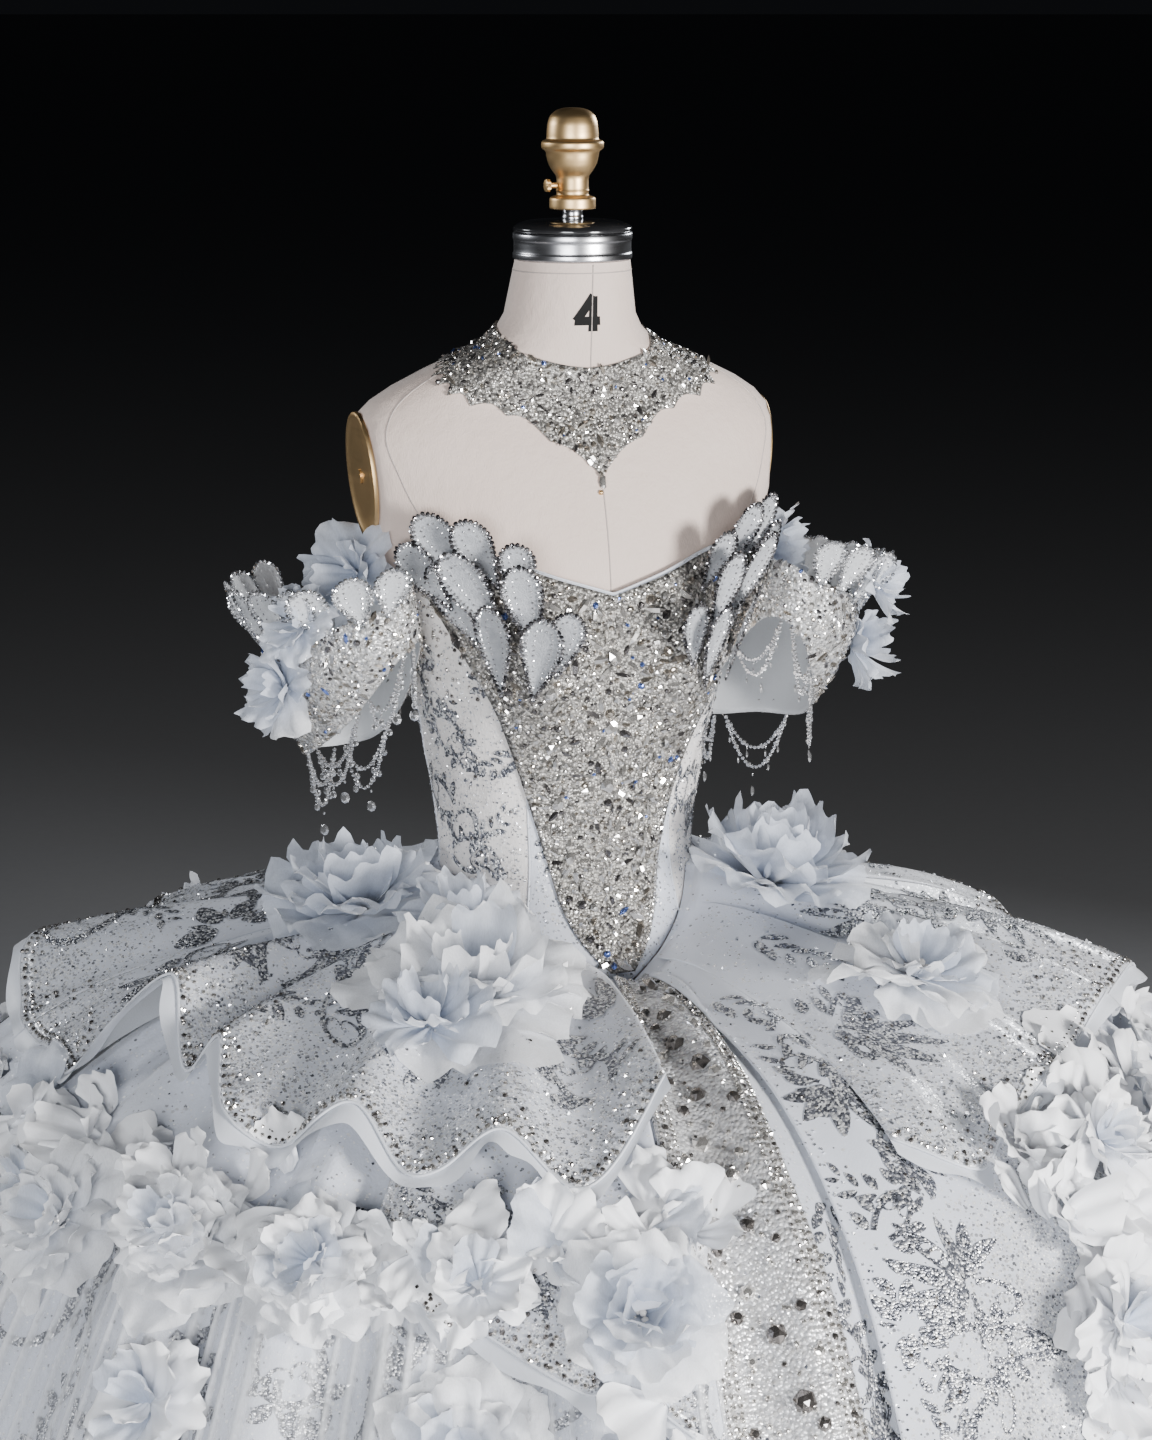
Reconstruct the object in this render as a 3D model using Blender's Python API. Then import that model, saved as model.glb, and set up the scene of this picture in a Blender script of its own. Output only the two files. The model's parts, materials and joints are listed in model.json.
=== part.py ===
"""Wedding gown with an off-the-shoulder bodice, a fluted peplum and a gathered floor-length skirt, on a
limbless dress form with its stand. Metres, +Z up, the gown's front towards -Y, the wearer's right at -X.
The origin is the centre of the stand's underside."""

import math

import bmesh
import bpy
import numpy as np
from mathutils import Vector
from mathutils.bvhtree import BVHTree

# Driving dimensions
CLOTH = 0.0015  # wall of a cloth panel
SEAM = 0.0003  # gap between neighbouring pieces
FORM_EASE = 0.0060  # outer face of the bodice above the form
BODICE_COLUMNS = 50
BODICE_ROWS = 8
PLACKET_BUTTON = 0.004  # how far the covered buttons stand out
WAIST_HEIGHT = 1.050
WAIST_HALF_WIDTH = 0.108
WAIST_HALF_DEPTH = 0.092
BASQUE_DROP = 0.072  # the front point below the waist
BASQUE_REACH = 0.050  # the front point ahead of the waist
BASQUE_HALF_ANGLE = 0.95
BASQUE_BLEND_RUN = 0.50
BASQUE_BLEND_HEIGHT = 0.13
BACK_SAG = 0.024  # the sides and back of the skirt's top below its front
BACK_SAG_FROM, BACK_SAG_FULL = 0.7, 1.6  # angles
BUST_SIDE = 0.068
BUST_HEIGHT = 1.235
BUST_REACH = 0.030
HEM_HEIGHT = 0.004
FOLD_COUNT = 32
COLUMNS_PER_FOLD = 3
GORE_COUNT = 8
SKIRT_CUTS = (0.0, 0.10, 0.26, 0.44, 0.75, 1.41)  # runs down from the waist seam
STRIP_CUTS = (0.014, 0.05, 0.10, 0.18, 0.26, 0.35, 0.44, 0.56, 0.68, 0.84, 1.00, 1.20, 1.395)
SHOULDER_PLANE = 0.169  # flat armhole face, from the middle plane
SHOULDER_PLANE_HEIGHT = 1.385
SHOULDER_PLANE_LEAN = 0.10
PETAL_FAN_FROM, PETAL_FAN_TO = 20.0, 56.0  # degrees from the front
ARM_PLATE_HALF = (0.036, 0.052)
ARM_PLATE_THICKNESS = 0.004
NECK_LEAN = 0.16
NECK_TOP = 1.553
NECK_TOP_RADIUS = 0.0465
NECK_RING_HEIGHT = 0.022
CAP_HEIGHT = 0.0095
ROD_HEIGHT = 0.007
ROD_RADIUS = 0.0085
FINIAL_NECK_RADIUS = 0.0128
POLE_RADIUS = 0.019
BASE_RADIUS = 0.210
BASE_THICKNESS = 0.026
FORM_FLOOR = 0.80
SAMPLE_SPACING = 0.008  # spacing of the points from which a bloom's room is measured
SETTLE_GAP = 0.0005
TIER_SPREAD = 0.5  # share of a raised place that its neighbours follow
SETTLE_PASSES = 8
SETTLE_STEPS = 6  # sampled points along a triangle's side
SLACK = 0.0001  # added to a measured gap, against the facets
ORGANZA = 0.0012  # wall of a petal
STONE_BED = 0.0008  # least height of the plastron's stones over its cloth
STONE_STEP = 0.0014
FLOWER_STEM = 0.13  # stem radius, as a share of the bloom's
FLOWER_SHEET = 0.0016  # wall of a bloom's petals
FLOWER_CLEAR = 0.0020  # petals above what lies under them
SWAG_STRIP_DEPTH = 0.0035
SWAG_CLEAR = 0.02  # where the strip starts before it is raised to the sleeve
SAG_START = 0.001  # how far a swag leaves its strip before it turns
SWAG_SHARES = (0.04, 0.22, 0.475, 0.525, 0.78, 0.96)  # sections along a swag
DROP_PROFILE = ((0.3, 1.0), (0.7, 1.9), (1.0, 0.6))  # share of the drop's length, width


class Table:
    """A short table of named columns, read between its rows along a smooth curve."""

    def __init__(self, columns, rows, period=None):
        values = np.array(rows, dtype=float)
        if period:
            ends = values[-2:].copy(), values[:2].copy()
            ends[0][:, 0] -= period
            ends[1][:, 0] += period
            values = np.vstack([ends[0], values, ends[1]])
        self.key = values[:, 0]
        self.columns = {name: values[:, k] for k, name in enumerate(columns)}

    def read(self, name, at):
        """The column's values at these keys, on a cubic curve through the rows."""
        key, column = self.key, self.columns[name]
        slopes = np.gradient(column, key)
        at = np.clip(at, key[0], key[-1])
        low = np.clip(np.searchsorted(key, at, side="right") - 1, 0, len(key) - 2)
        span = key[low + 1] - key[low]
        t = (at - key[low]) / span
        start = (1 + 2 * t) * (1 - t) ** 2 * column[low] + t * (1 - t) ** 2 * span * slopes[low]
        end = t**2 * (3 - 2 * t) * column[low + 1] + t**2 * (t - 1) * span * slopes[low + 1]
        return start + end


# The form's level sections from the hip to the root of the neck; metres.
FORM = Table(
    ("height", "half_width", "front", "back"),
    (
        (0.800, 0.160, 0.098, 0.112),
        (0.870, 0.163, 0.100, 0.116),
        (0.950, 0.143, 0.092, 0.104),
        (1.050, 0.102, 0.082, 0.083),
        (1.120, 0.110, 0.088, 0.086),
        (1.200, 0.122, 0.100, 0.094),
        (1.270, 0.140, 0.106, 0.100),
        (1.330, 0.170, 0.100, 0.104),
        (1.385, 0.186, 0.084, 0.098),
        (1.425, 0.182, 0.068, 0.086),
        (1.448, 0.158, 0.058, 0.076),
        (1.468, 0.118, 0.054, 0.068),
        (1.490, 0.068, 0.052, 0.058),
        (1.510, 0.0535, 0.0500, 0.0530),
    ),
)
FORM_CUTS = (0.80, 0.87, 0.95, 1.05, 1.12, 1.18, 1.235, 1.28, 1.33, 1.385, 1.425, 1.448, 1.468, 1.49, 1.51)
FORM_COLUMNS = 24

# The skirt's meridian, from the waist seam to the hem; metres.
SKIRT = Table(
    ("run", "radius", "height", "gather"),
    (
        (0.000, 0.108, 1.050, 0.0004),
        (0.070, 0.178, 1.041, 0.0020),
        (0.145, 0.252, 1.020, 0.0045),
        (0.305, 0.400, 0.962, 0.0080),
        (0.436, 0.503, 0.880, 0.0110),
        (0.589, 0.585, 0.752, 0.0140),
        (0.813, 0.682, 0.550, 0.0170),
        (1.090, 0.800, 0.300, 0.0200),
        (1.410, 0.920, 0.004, 0.0230),
    ),
)
# The bodice's top edge, by the angle from the front in degrees.
NECKLINE = Table(
    ("angle", "height"),
    (
        (0, 1.296),
        (14, 1.309),
        (32, 1.326),
        (52, 1.322),
        (75, 1.298),
        (105, 1.268),
        (140, 1.245),
        (180, 1.235),
    ),
)
# The jewelled plastron's half-angle in degrees, by its height.
PLASTRON = Table(
    ("height", "half_angle"),
    (
        (0.985, 2.5),
        (1.005, 10.0),
        (1.030, 17.0),
        (1.075, 25.0),
        (1.130, 33.0),
        (1.200, 45.0),
        (1.260, 56.0),
        (1.320, 62.0),
    ),
)
# The beaded collar's lower and upper edges on the form, by angle in degrees.
COLLAR = Table(
    ("angle", "low", "high"),
    (
        (0, 1.386, 1.470),
        (9, 1.408, 1.472),
        (20, 1.430, 1.476),
        (38, 1.444, 1.482),
        (65, 1.461, 1.492),
        (100, 1.473, 1.500),
        (140, 1.466, 1.502),
        (180, 1.458, 1.504),
    ),
)
# The peplum's hem on the wearer's right. Each row is one crest or trough of a flute: its angle, how far
# down the skirt it reaches, how high it stands off the skirt, and how far it swings sideways (degrees).
PEPLUM_RIGHT = Table(
    ("angle", "reach", "lift", "swing"),
    (
        (-180, 0.33, 0.016, 0),
        (-170, 0.35, 0.028, 2),
        (-158, 0.32, 0.015, -2),
        (-146, 0.34, 0.030, 2),
        (-134, 0.31, 0.015, -2),
        (-122, 0.30, 0.032, 0),
        (-111, 0.32, 0.062, 0),
        (-100, 0.35, 0.026, 0),
        (-90, 0.34, 0.016, 0),
        (-80, 0.335, 0.015, -1),
        (-72, 0.26, 0.060, 0),
        (-65, 0.31, 0.020, 1),
        (-59, 0.29, 0.042, -1),
        (-53, 0.35, 0.034, 0),
        (-47, 0.36, 0.017, 0),
        (-40, 0.33, 0.042, 0),
        (-34, 0.37, 0.017, 0),
        (-26, 0.34, 0.046, 0),
        (-19, 0.375, 0.018, 0),
        (-10, 0.28, 0.036, 0),
    ),
)
PEPLUM_LEFT = Table(
    ("angle", "reach", "lift", "swing"),
    (
        (11, 0.36, 0.020, -1),
        (15, 0.40, 0.030, 0),
        (22, 0.38, 0.017, 0),
        (30, 0.36, 0.044, 0),
        (40, 0.35, 0.017, 1),
        (50, 0.34, 0.048, 0),
        (60, 0.35, 0.017, 0),
        (70, 0.36, 0.046, -1),
        (79, 0.39, 0.036, 0),
        (90, 0.36, 0.016, 1),
        (102, 0.36, 0.038, 0),
        (115, 0.32, 0.015, 1),
        (128, 0.34, 0.030, -2),
        (141, 0.32, 0.017, 2),
        (154, 0.34, 0.029, -2),
        (167, 0.32, 0.018, 2),
        (180, 0.34, 0.026, 0),
    ),
)
# The short tier under the peplum beside the centre strip, wearer's right.
SHORT_TIER = Table(
    ("angle", "reach", "lift", "swing"),
    (
        (-36, 0.42, 0.020, 0),
        (-31, 0.48, 0.038, 2),
        (-26, 0.47, 0.019, -2),
        (-21, 0.52, 0.040, 2),
        (-16, 0.50, 0.019, -2),
        (-12, 0.55, 0.036, 0),
    ),
)
# The long overskirt panel beside the centre strip, wearer's left.
OVERSKIRT = Table(
    ("angle", "reach", "lift", "swing"),
    (
        (3, 0.90, 0.030, 0),
        (8, 0.78, 0.044, 1),
        (14, 0.64, 0.028, -1),
        (20, 0.58, 0.046, 2),
        (27, 0.50, 0.028, -2),
        (36, 0.46, 0.040, 0),
    ),
)
# The beaded strip down the skirt's centre front.
STRIP = Table(
    ("run", "angle", "half_width"),
    (
        (0.012, 0.0, 0.010),
        (0.080, -1.5, 0.022),
        (0.200, -4.5, 0.034),
        (0.340, -6.0, 0.042),
        (0.480, -5.0, 0.046),
        (0.800, -3.5, 0.054),
        (1.405, -3.0, 0.062),
    ),
)
# A sleeve band round the arm, wearer's right: turn is 0 at the outside, 90 in front, 180 beside the body.
SLEEVE = Table(
    ("turn", "top_x", "top_y", "top_z", "low_x", "low_y", "low_z"),
    (
        (0, -0.262, 0.002, 1.262, -0.226, 0.004, 1.158),
        (45, -0.242, -0.062, 1.270, -0.208, -0.054, 1.196),
        (90, -0.190, -0.098, 1.294, -0.178, -0.086, 1.248),
        (135, -0.164, -0.078, 1.308, -0.153, -0.068, 1.258),
        (180, -0.162, 0.004, 1.292, -0.144, 0.006, 1.196),
        (225, -0.166, 0.072, 1.290, -0.150, 0.062, 1.156),
        (270, -0.192, 0.092, 1.284, -0.176, 0.078, 1.146),
        (315, -0.240, 0.064, 1.270, -0.206, 0.056, 1.150),
    ),
    period=360,
)
SLEEVE_COLUMNS = 20
SLEEVE_BULGE = 0.010
# Bead swags under a sleeve: the turns of their two ends, how deep they sag, and how long their drop is.
SWAGS = (
    (12, 52, 0.042, 0.020),
    (62, 98, 0.038, 0.016),
    (112, 158, 0.034, 0.014),
    (210, 268, 0.044, 0.020),
    (282, 342, 0.046, 0.022),
)
SWAG_SECTION = (0.0034, 0.0022)

FINISHES = {
    "satin": ((0.80, 0.83, 0.87), 0.45, 0.0),
    "tulle": ((0.76, 0.79, 0.84), 0.60, 0.0),
    "organza": ((0.62, 0.68, 0.78), 0.50, 0.0),
    "bead": ((0.78, 0.77, 0.74), 0.20, 0.6),
    "linen": ((0.72, 0.66, 0.62), 0.85, 0.0),
    "steel": ((0.55, 0.55, 0.57), 0.25, 1.0),
    "brass": ((0.62, 0.44, 0.22), 0.35, 1.0),
    "black": ((0.02, 0.02, 0.02), 0.30, 0.0),
}

seating = []  # sampled points of the walls made so far
made = {}  # name: (points, faces) of the walls made so far


def finish(name):
    """The material of this finish, made on first use."""
    found = bpy.data.materials.get(name)
    if found:
        return found
    colour, roughness, metallic = FINISHES[name]
    material = bpy.data.materials.new(name)
    material.use_nodes = True
    shader = material.node_tree.nodes["Principled BSDF"]
    shader.inputs["Base Color"].default_value = (*colour, 1.0)
    shader.inputs["Roughness"].default_value = roughness
    shader.inputs["Metallic"].default_value = metallic
    return material


def spread_points(points, faces):
    """Points spread evenly over these triangles."""
    corners = np.asarray(points)[np.array(faces)]
    longest = np.linalg.norm(corners - np.roll(corners, 1, axis=1), axis=2).max(axis=1)
    steps = np.clip(np.ceil(longest / SAMPLE_SPACING), 1, 16).astype(int)
    found = []
    for count in np.unique(steps):
        some = corners[steps == count]
        for a in range(count + 1):
            for b in range(count + 1 - a):
                u, v = a / count, b / count
                found.append(some[:, 0] * (1 - u - v) + some[:, 1] * u + some[:, 2] * v)
    return np.vstack(found)


def make_object(name, points, faces, finish_name, smooth_angle=50):
    """One closed body from its points and faces, turned outwards and shaded."""
    points = np.asarray(points, dtype=float)
    mesh = bpy.data.meshes.new(name)
    mesh.from_pydata([tuple(p) for p in points], [], [tuple(int(i) for i in f) for f in faces])
    body = bmesh.new()
    body.from_mesh(mesh)
    bmesh.ops.recalc_face_normals(body, faces=body.faces)
    if body.calc_volume(signed=True) < 0:
        bmesh.ops.reverse_faces(body, faces=body.faces)
    bmesh.ops.triangulate(body, faces=[face for face in body.faces if len(face.verts) > 4])
    body.to_mesh(mesh)
    body.free()
    mesh.shade_smooth()
    mesh.set_sharp_from_angle(angle=math.radians(smooth_angle))
    thing = bpy.data.objects.new(name, mesh)
    bpy.context.scene.collection.objects.link(thing)
    mesh.materials.append(finish(finish_name))
    made[name] = (points, faces)
    return thing


def grid_normals(grid, side, wrap=False):
    """Unit normals of a grid of points; side is +1 where its rows run up, -1 where they run out or down."""
    if wrap:
        along = np.roll(grid, -1, axis=1) - np.roll(grid, 1, axis=1)
    else:
        along = np.gradient(grid, axis=1)
    across = np.gradient(grid, axis=0)
    normal = side * np.cross(along, across)
    return normal / np.maximum(np.linalg.norm(normal, axis=2, keepdims=True), 1e-12)


def grid_triangles(rows, columns, wrap, offset):
    """Two triangles for each cell of a grid whose points start at this offset."""
    found = []
    for row in range(rows - 1):
        for column in range(columns if wrap else columns - 1):
            after = (column + 1) % columns
            a, b = offset + row * columns + column, offset + row * columns + after
            c, d = a + columns, b + columns
            found += [(a, b, d), (a, d, c)]
    return found


def rim_loop(rows, columns):
    """The indices round a grid's edge, in order."""
    top = [column for column in range(columns)]
    right = [row * columns + columns - 1 for row in range(1, rows)]
    low = [(rows - 1) * columns + column for column in range(columns - 2, -1, -1)]
    left = [row * columns for row in range(rows - 2, 0, -1)]
    return top + right + low + left


def wall(name, outer, finish_name, side=1, thickness=CLOTH, wrap=False, inner=None):
    """A cloth wall: its outer points, and the same points moved in by the cloth's thickness."""
    if inner is None:
        inner = outer - thickness * grid_normals(outer, side, wrap)
    rows, columns = outer.shape[:2]
    count = rows * columns
    points = np.vstack([outer.reshape(-1, 3), inner.reshape(-1, 3)])
    faces = grid_triangles(rows, columns, wrap, 0)
    seating.append(spread_points(points, faces))
    faces += [tuple(reversed(face)) for face in grid_triangles(rows, columns, wrap, count)]
    if wrap:
        loops = [list(range(columns)), list(range((rows - 1) * columns, count))]
    else:
        loops = [rim_loop(rows, columns)]
    for loop in loops:
        for here, after in zip(loop, loop[1:] + loop[:1]):
            if here < after:
                faces += [(here, after, after + count), (here, after + count, here + count)]
            else:
                faces += [(here, after, here + count), (after, after + count, here + count)]
    return make_object(name, points, faces, finish_name)


def host_mesh(names):
    """Points and faces of the pieces whose names start with any of these words."""
    points, faces = [], []
    for name, (own_points, own_faces) in made.items():
        if name.startswith(names):
            offset = len(points)
            points += [tuple(p) for p in own_points]
            faces += [tuple(int(k) + offset for k in face) for face in own_faces]
    return points, faces


def host_tree(names):
    """A search tree over the faces of the pieces whose names start with any of these words."""
    return BVHTree.FromPolygons(*host_mesh(names))


def free_travel(points, faces, hosts, direction, reach):
    """How far these triangles can move along a direction before they meet the hosts."""
    host_points, host_faces = host_mesh(hosts)
    pairs = (
        (points, faces, host_points, host_faces, direction),
        (host_points, host_faces, points, faces, -direction),
    )
    travel = reach
    for from_points, from_faces, to_points, to_faces, line in pairs:
        tree = BVHTree.FromPolygons([tuple(p) for p in to_points], to_faces)
        for place in spread_points(from_points, from_faces):
            hit = tree.ray_cast(Vector(place), Vector(line), travel)
            if hit[0] is not None:
                travel = hit[3]
    return travel


def settled(outer, inner, hosts, reach=0.03, wrap=False, spread=0.0):
    """A wall's outer and inner points, raised along its own thickness until it clears its hosts by a gap."""
    rows, columns = inner.shape[:2]
    tree = host_tree(hosts)
    direction = (outer - inner).reshape(-1, 3)
    direction = direction / np.linalg.norm(direction, axis=1, keepdims=True)
    cells = np.array(grid_triangles(rows, columns, wrap, 0))
    steps = range(SETTLE_STEPS + 1)
    weights = [(a, b, SETTLE_STEPS - a - b) for a in steps for b in steps if a + b <= SETTLE_STEPS]
    weights = np.array(weights) / SETTLE_STEPS
    rise = np.zeros(rows * columns)
    for _ in range(SETTLE_PASSES):
        base = inner.reshape(-1, 3) + direction * rise[:, None]
        need = np.zeros(rows * columns)
        for cell in cells:
            for place, line in zip(weights @ base[cell], weights @ direction[cell]):
                hit = tree.ray_cast(Vector(place + line * reach), Vector(-line), reach + SETTLE_GAP)
                if hit[0] is not None:
                    short = reach + SETTLE_GAP - hit[3]
                    need[cell] = np.maximum(need[cell], short)
        if need.max() < 1e-5:
            break
        rise += need * 1.02
        if spread:
            field = rise.reshape(rows, columns)
            beside = np.maximum(field[:, np.r_[1:columns, -1]], field[:, np.r_[0, 0 : columns - 1]])
            above = np.maximum(field[np.r_[1:rows, -1]], field[np.r_[0, 0 : rows - 1]])
            rise = np.maximum(field, spread * np.maximum(beside, above)).reshape(-1)
    lifted = (direction * rise[:, None]).reshape(inner.shape)
    return outer + lifted, inner + lifted


def parted(outer, inner, columns):
    """These columns of a ring of points, with the two side edges drawn in to leave the seam's gap."""
    tangent = np.roll(outer, -1, axis=1) - np.roll(outer, 1, axis=1)
    tangent *= (SEAM / 2 + 0.00005) / np.linalg.norm(tangent, axis=2, keepdims=True)
    outer, inner, tangent = outer[:, columns], inner[:, columns], tangent[:, columns]
    for edge, inward in ((0, 1), (-1, -1)):
        outer[:, edge] += inward * tangent[:, edge]
        inner[:, edge] += inward * tangent[:, edge]
    return outer, inner


def turned(name, profile, finish_name, centre=(0.0, 0.0), segments=24, lean=0.0, lean_from=0.0):
    """A turned solid from its profile of (radius, height), leaning forward above lean_from."""
    points, faces = [], []
    angles = np.arange(segments) * 2 * math.pi / segments
    for radius, height in profile:
        shift = -lean * max(0.0, height - lean_from)
        for angle in angles:
            tilt = lean * radius * math.cos(angle) if height > lean_from else 0.0
            points.append(
                (
                    centre[0] + radius * math.sin(angle),
                    centre[1] + shift - radius * math.cos(angle),
                    height - tilt,
                )
            )
    for row in range(len(profile) - 1):
        for column in range(segments):
            after = (column + 1) % segments
            a, b = row * segments + column, row * segments + after
            faces.append((a, b, b + segments, a + segments))
    faces.append(tuple(range(segments)))
    faces.append(tuple(range((len(profile) - 1) * segments, len(profile) * segments)))
    return make_object(name, points, faces, finish_name, smooth_angle=35)


def around(radius_x, radius_y, angle, height):
    """Points at these angles from the front, towards the wearer's left."""
    return np.stack(np.broadcast_arrays(radius_x * np.sin(angle), -radius_y * np.cos(angle), height), axis=-1)


def basque(angle):
    """How much of the front point is felt at this angle, from 1 in front to 0 at the side."""
    turn = (np.asarray(angle) + math.pi) % (2 * math.pi) - math.pi
    return np.clip(1 - np.abs(turn) / BASQUE_HALF_ANGLE, 0, 1)


def form_point(angle, height, ease=0.0, clip_armhole=True):
    """A point of the form at this angle and height, moved out by ease."""
    angle, height = np.broadcast_arrays(np.asarray(angle, float), np.asarray(height, float))
    half_width = FORM.read("half_width", height) + ease
    depth = np.where(np.cos(angle) > 0, FORM.read("front", height), FORM.read("back", height)) + ease
    point = around(half_width, depth, angle, height)
    side = (np.abs(point[..., 0]) - BUST_SIDE) / 0.040
    level = (height - BUST_HEIGHT) / 0.052
    point[..., 1] -= BUST_REACH * np.exp(-(side**2) - level**2) * (np.cos(angle) > 0)
    point[..., 1] -= NECK_LEAN * np.clip(height - 1.44, 0, None)
    if clip_armhole:
        plane = SHOULDER_PLANE + ease + SHOULDER_PLANE_LEAN * (height - SHOULDER_PLANE_HEIGHT)
        point[..., 0] = np.clip(point[..., 0], -plane, plane)
    return point


def waist_seam(angle):
    """(radius x, radius y, height) of the seam between bodice and skirt."""
    front = basque(angle)
    reach = BASQUE_REACH * front**1.3
    return WAIST_HALF_WIDTH + reach, WAIST_HALF_DEPTH + reach, WAIST_HEIGHT - BASQUE_DROP * front


def eased(value):
    """A smooth step from 0 to 1."""
    value = np.clip(value, 0, 1)
    return value * value * (3 - 2 * value)


def back_sag(angle, run):
    """How far the skirt's top sinks at this angle and run."""
    turn = np.abs((angle + math.pi) % (2 * math.pi) - math.pi)
    beside = eased((turn - BACK_SAG_FROM) / (BACK_SAG_FULL - BACK_SAG_FROM))
    return BACK_SAG * beside * eased(run / 0.11) * (1 - eased((run - 0.35) / 0.5))


def skirt_point(angle, run, lift=0.0):
    """A point over the skirt's smooth form, lift above it."""
    angle, run = np.broadcast_arrays(np.asarray(angle, float), np.asarray(run, float))
    fade = np.clip(1 - run / BASQUE_BLEND_RUN, 0, 1) ** 2
    seam_x, seam_y, _ = waist_seam(angle)
    radius, height = SKIRT.read("radius", run), SKIRT.read("height", run)
    step = 0.004
    rise_r = SKIRT.read("radius", run + step) - SKIRT.read("radius", run - step)
    rise_h = SKIRT.read("height", run + step) - SKIRT.read("height", run - step)
    length = np.hypot(rise_r, rise_h)
    out, up = -rise_h / length * lift, rise_r / length * lift
    return around(
        radius + (seam_x - WAIST_HALF_WIDTH) * fade + out,
        radius + (seam_y - WAIST_HALF_WIDTH) * fade + out,
        angle,
        height - BASQUE_DROP * basque(angle) * fade - back_sag(angle, run) + up,
    )


def fold_phase(angle):
    """The phase of the uneven gathers at this angle."""
    return FOLD_COUNT * angle + 0.9 * np.sin(3 * angle + 0.7) + 0.6 * np.sin(5 * angle + 2.1)


def gather_lift(angle, run):
    """Height of the skirt's gathers over its smooth form."""
    uneven = 0.78 + 0.22 * np.sin(7 * angle + 1.3)
    return SKIRT.read("gather", run) * uneven * (1 + np.cos(fold_phase(angle)))


def fold_angles():
    """Angles of the skirt's columns, a fixed number to each fold, from the back seam round."""
    dense = np.linspace(-math.pi, math.pi, 20001)
    phase = fold_phase(dense)
    wanted = phase[0] + 2 * math.pi * np.arange(FOLD_COUNT * COLUMNS_PER_FOLD + 1) / COLUMNS_PER_FOLD
    return np.interp(wanted, phase, dense)


def make_skirt():
    """The gathered skirt: eight gores from the waist seam to the hem."""
    angles = fold_angles()[:-1]
    runs = np.array(SKIRT_CUTS)[:, None]
    outer = skirt_point(angles[None, :], runs, gather_lift(angles[None, :], runs) + CLOTH)
    outer[-1, :, 2] = HEM_HEIGHT
    inner = outer - CLOTH * grid_normals(outer, -1, wrap=True)
    inner[-1, :, 2] = HEM_HEIGHT
    inner[0, :, 2] = outer[0, :, 2]
    each = FOLD_COUNT * COLUMNS_PER_FOLD // GORE_COUNT
    names = ("back_right", "side_back_right", "side_front_right", "front_right")
    names += ("front_left", "side_front_left", "side_back_left", "back_left")
    for gore, name in enumerate(names):
        mine = np.arange(gore * each, (gore + 1) * each + 1) % len(angles)
        edged_outer, edged_inner = parted(outer, inner, mine)
        wall("skirt_gore_" + name, edged_outer, "tulle", inner=edged_inner)


def tier_grid(table, first, last, columns, rows, start, power=1.5):
    """Outer and inner points of a tier between two angles in degrees, from start to its hem."""
    degrees = np.linspace(first, last, columns)
    reach = table.read("reach", degrees)
    lift = table.read("lift", degrees)
    swing = table.read("swing", degrees)
    share = np.linspace(0, 1, rows)[:, None]
    run = start + (reach[None, :] - start) * share
    swing_in = np.radians(swing[None, :]) * share**2
    height = CLOTH + 2 * SETTLE_GAP + lift[None, :] * share**power
    outer = skirt_point(np.radians(degrees)[None, :] + swing_in, run, height)
    return outer, outer - CLOTH * grid_normals(outer, -1)


def make_tiers():
    """The overskirt panel and short tier under the peplum, then the peplum's four parts."""
    under = ("skirt_gore", "skirt_centre", "overskirt", "short_tier")
    # name, table, first and last angle in degrees, columns, rows, start down the skirt
    tiers = (
        ("overskirt_panel_left", OVERSKIRT, 3, 36, 12, 7, 0.030),
        ("short_tier_right", SHORT_TIER, -36, -12, 16, 5, 0.200),
        ("peplum_back_right", PEPLUM_RIGHT, -179.9, -98.1, 19, 5, 0.008),
        ("peplum_front_right", PEPLUM_RIGHT, -97.9, -10, 31, 5, 0.008),
        ("peplum_front_left", PEPLUM_LEFT, 11, 97.9, 29, 5, 0.008),
        ("peplum_back_left", PEPLUM_LEFT, 98.1, 179.9, 19, 5, 0.008),
    )
    for name, table, first, last, columns, rows, start in tiers:
        outer, inner = tier_grid(table, first, last, columns, rows, start)
        outer, inner = settled(outer, inner, under, reach=0.08, spread=TIER_SPREAD)
        wall(name, outer, "satin", inner=inner)


def make_strip():
    """The beaded strip down the centre front of the skirt."""
    runs = np.array(STRIP_CUTS)[:, None]
    across = np.linspace(-1, 1, 5)[None, :]
    radius = SKIRT.read("radius", runs)
    angle = np.radians(STRIP.read("angle", runs)) + across * STRIP.read("half_width", runs) / radius
    inner = skirt_point(angle, runs, SETTLE_GAP + 0.0 * across)
    outer = inner + grid_normals(inner, -1) * (CLOTH + 0.0012 * (1 - across**2))[..., None]
    outer, inner = settled(outer, inner, "skirt_gore", reach=0.06, spread=TIER_SPREAD)
    wall("skirt_centre_strip", outer, "bead", inner=inner)


def bodice_point(angle, share, lift=0.0):
    """A point of the bodice's outer face; share runs from 0 at the seam to 1 at the neckline."""
    angle, share = np.broadcast_arrays(np.asarray(angle, float), np.asarray(share, float))
    seam_x, seam_y, seam_z = waist_seam(angle)
    top = NECKLINE.read("height", np.degrees(np.abs(angle)))
    low = seam_z + CLOTH + 2 * SEAM
    height = low + (top - low) * share
    point = form_point(angle, height, FORM_EASE + lift, clip_armhole=False)
    seam = around(seam_x + lift, seam_y + lift, angle, height)
    above = (height - seam_z) / BASQUE_BLEND_HEIGHT
    hold = np.clip(1 - above, 0, 1)[..., None] ** 2
    return point * (1 - hold) + seam * hold


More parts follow.
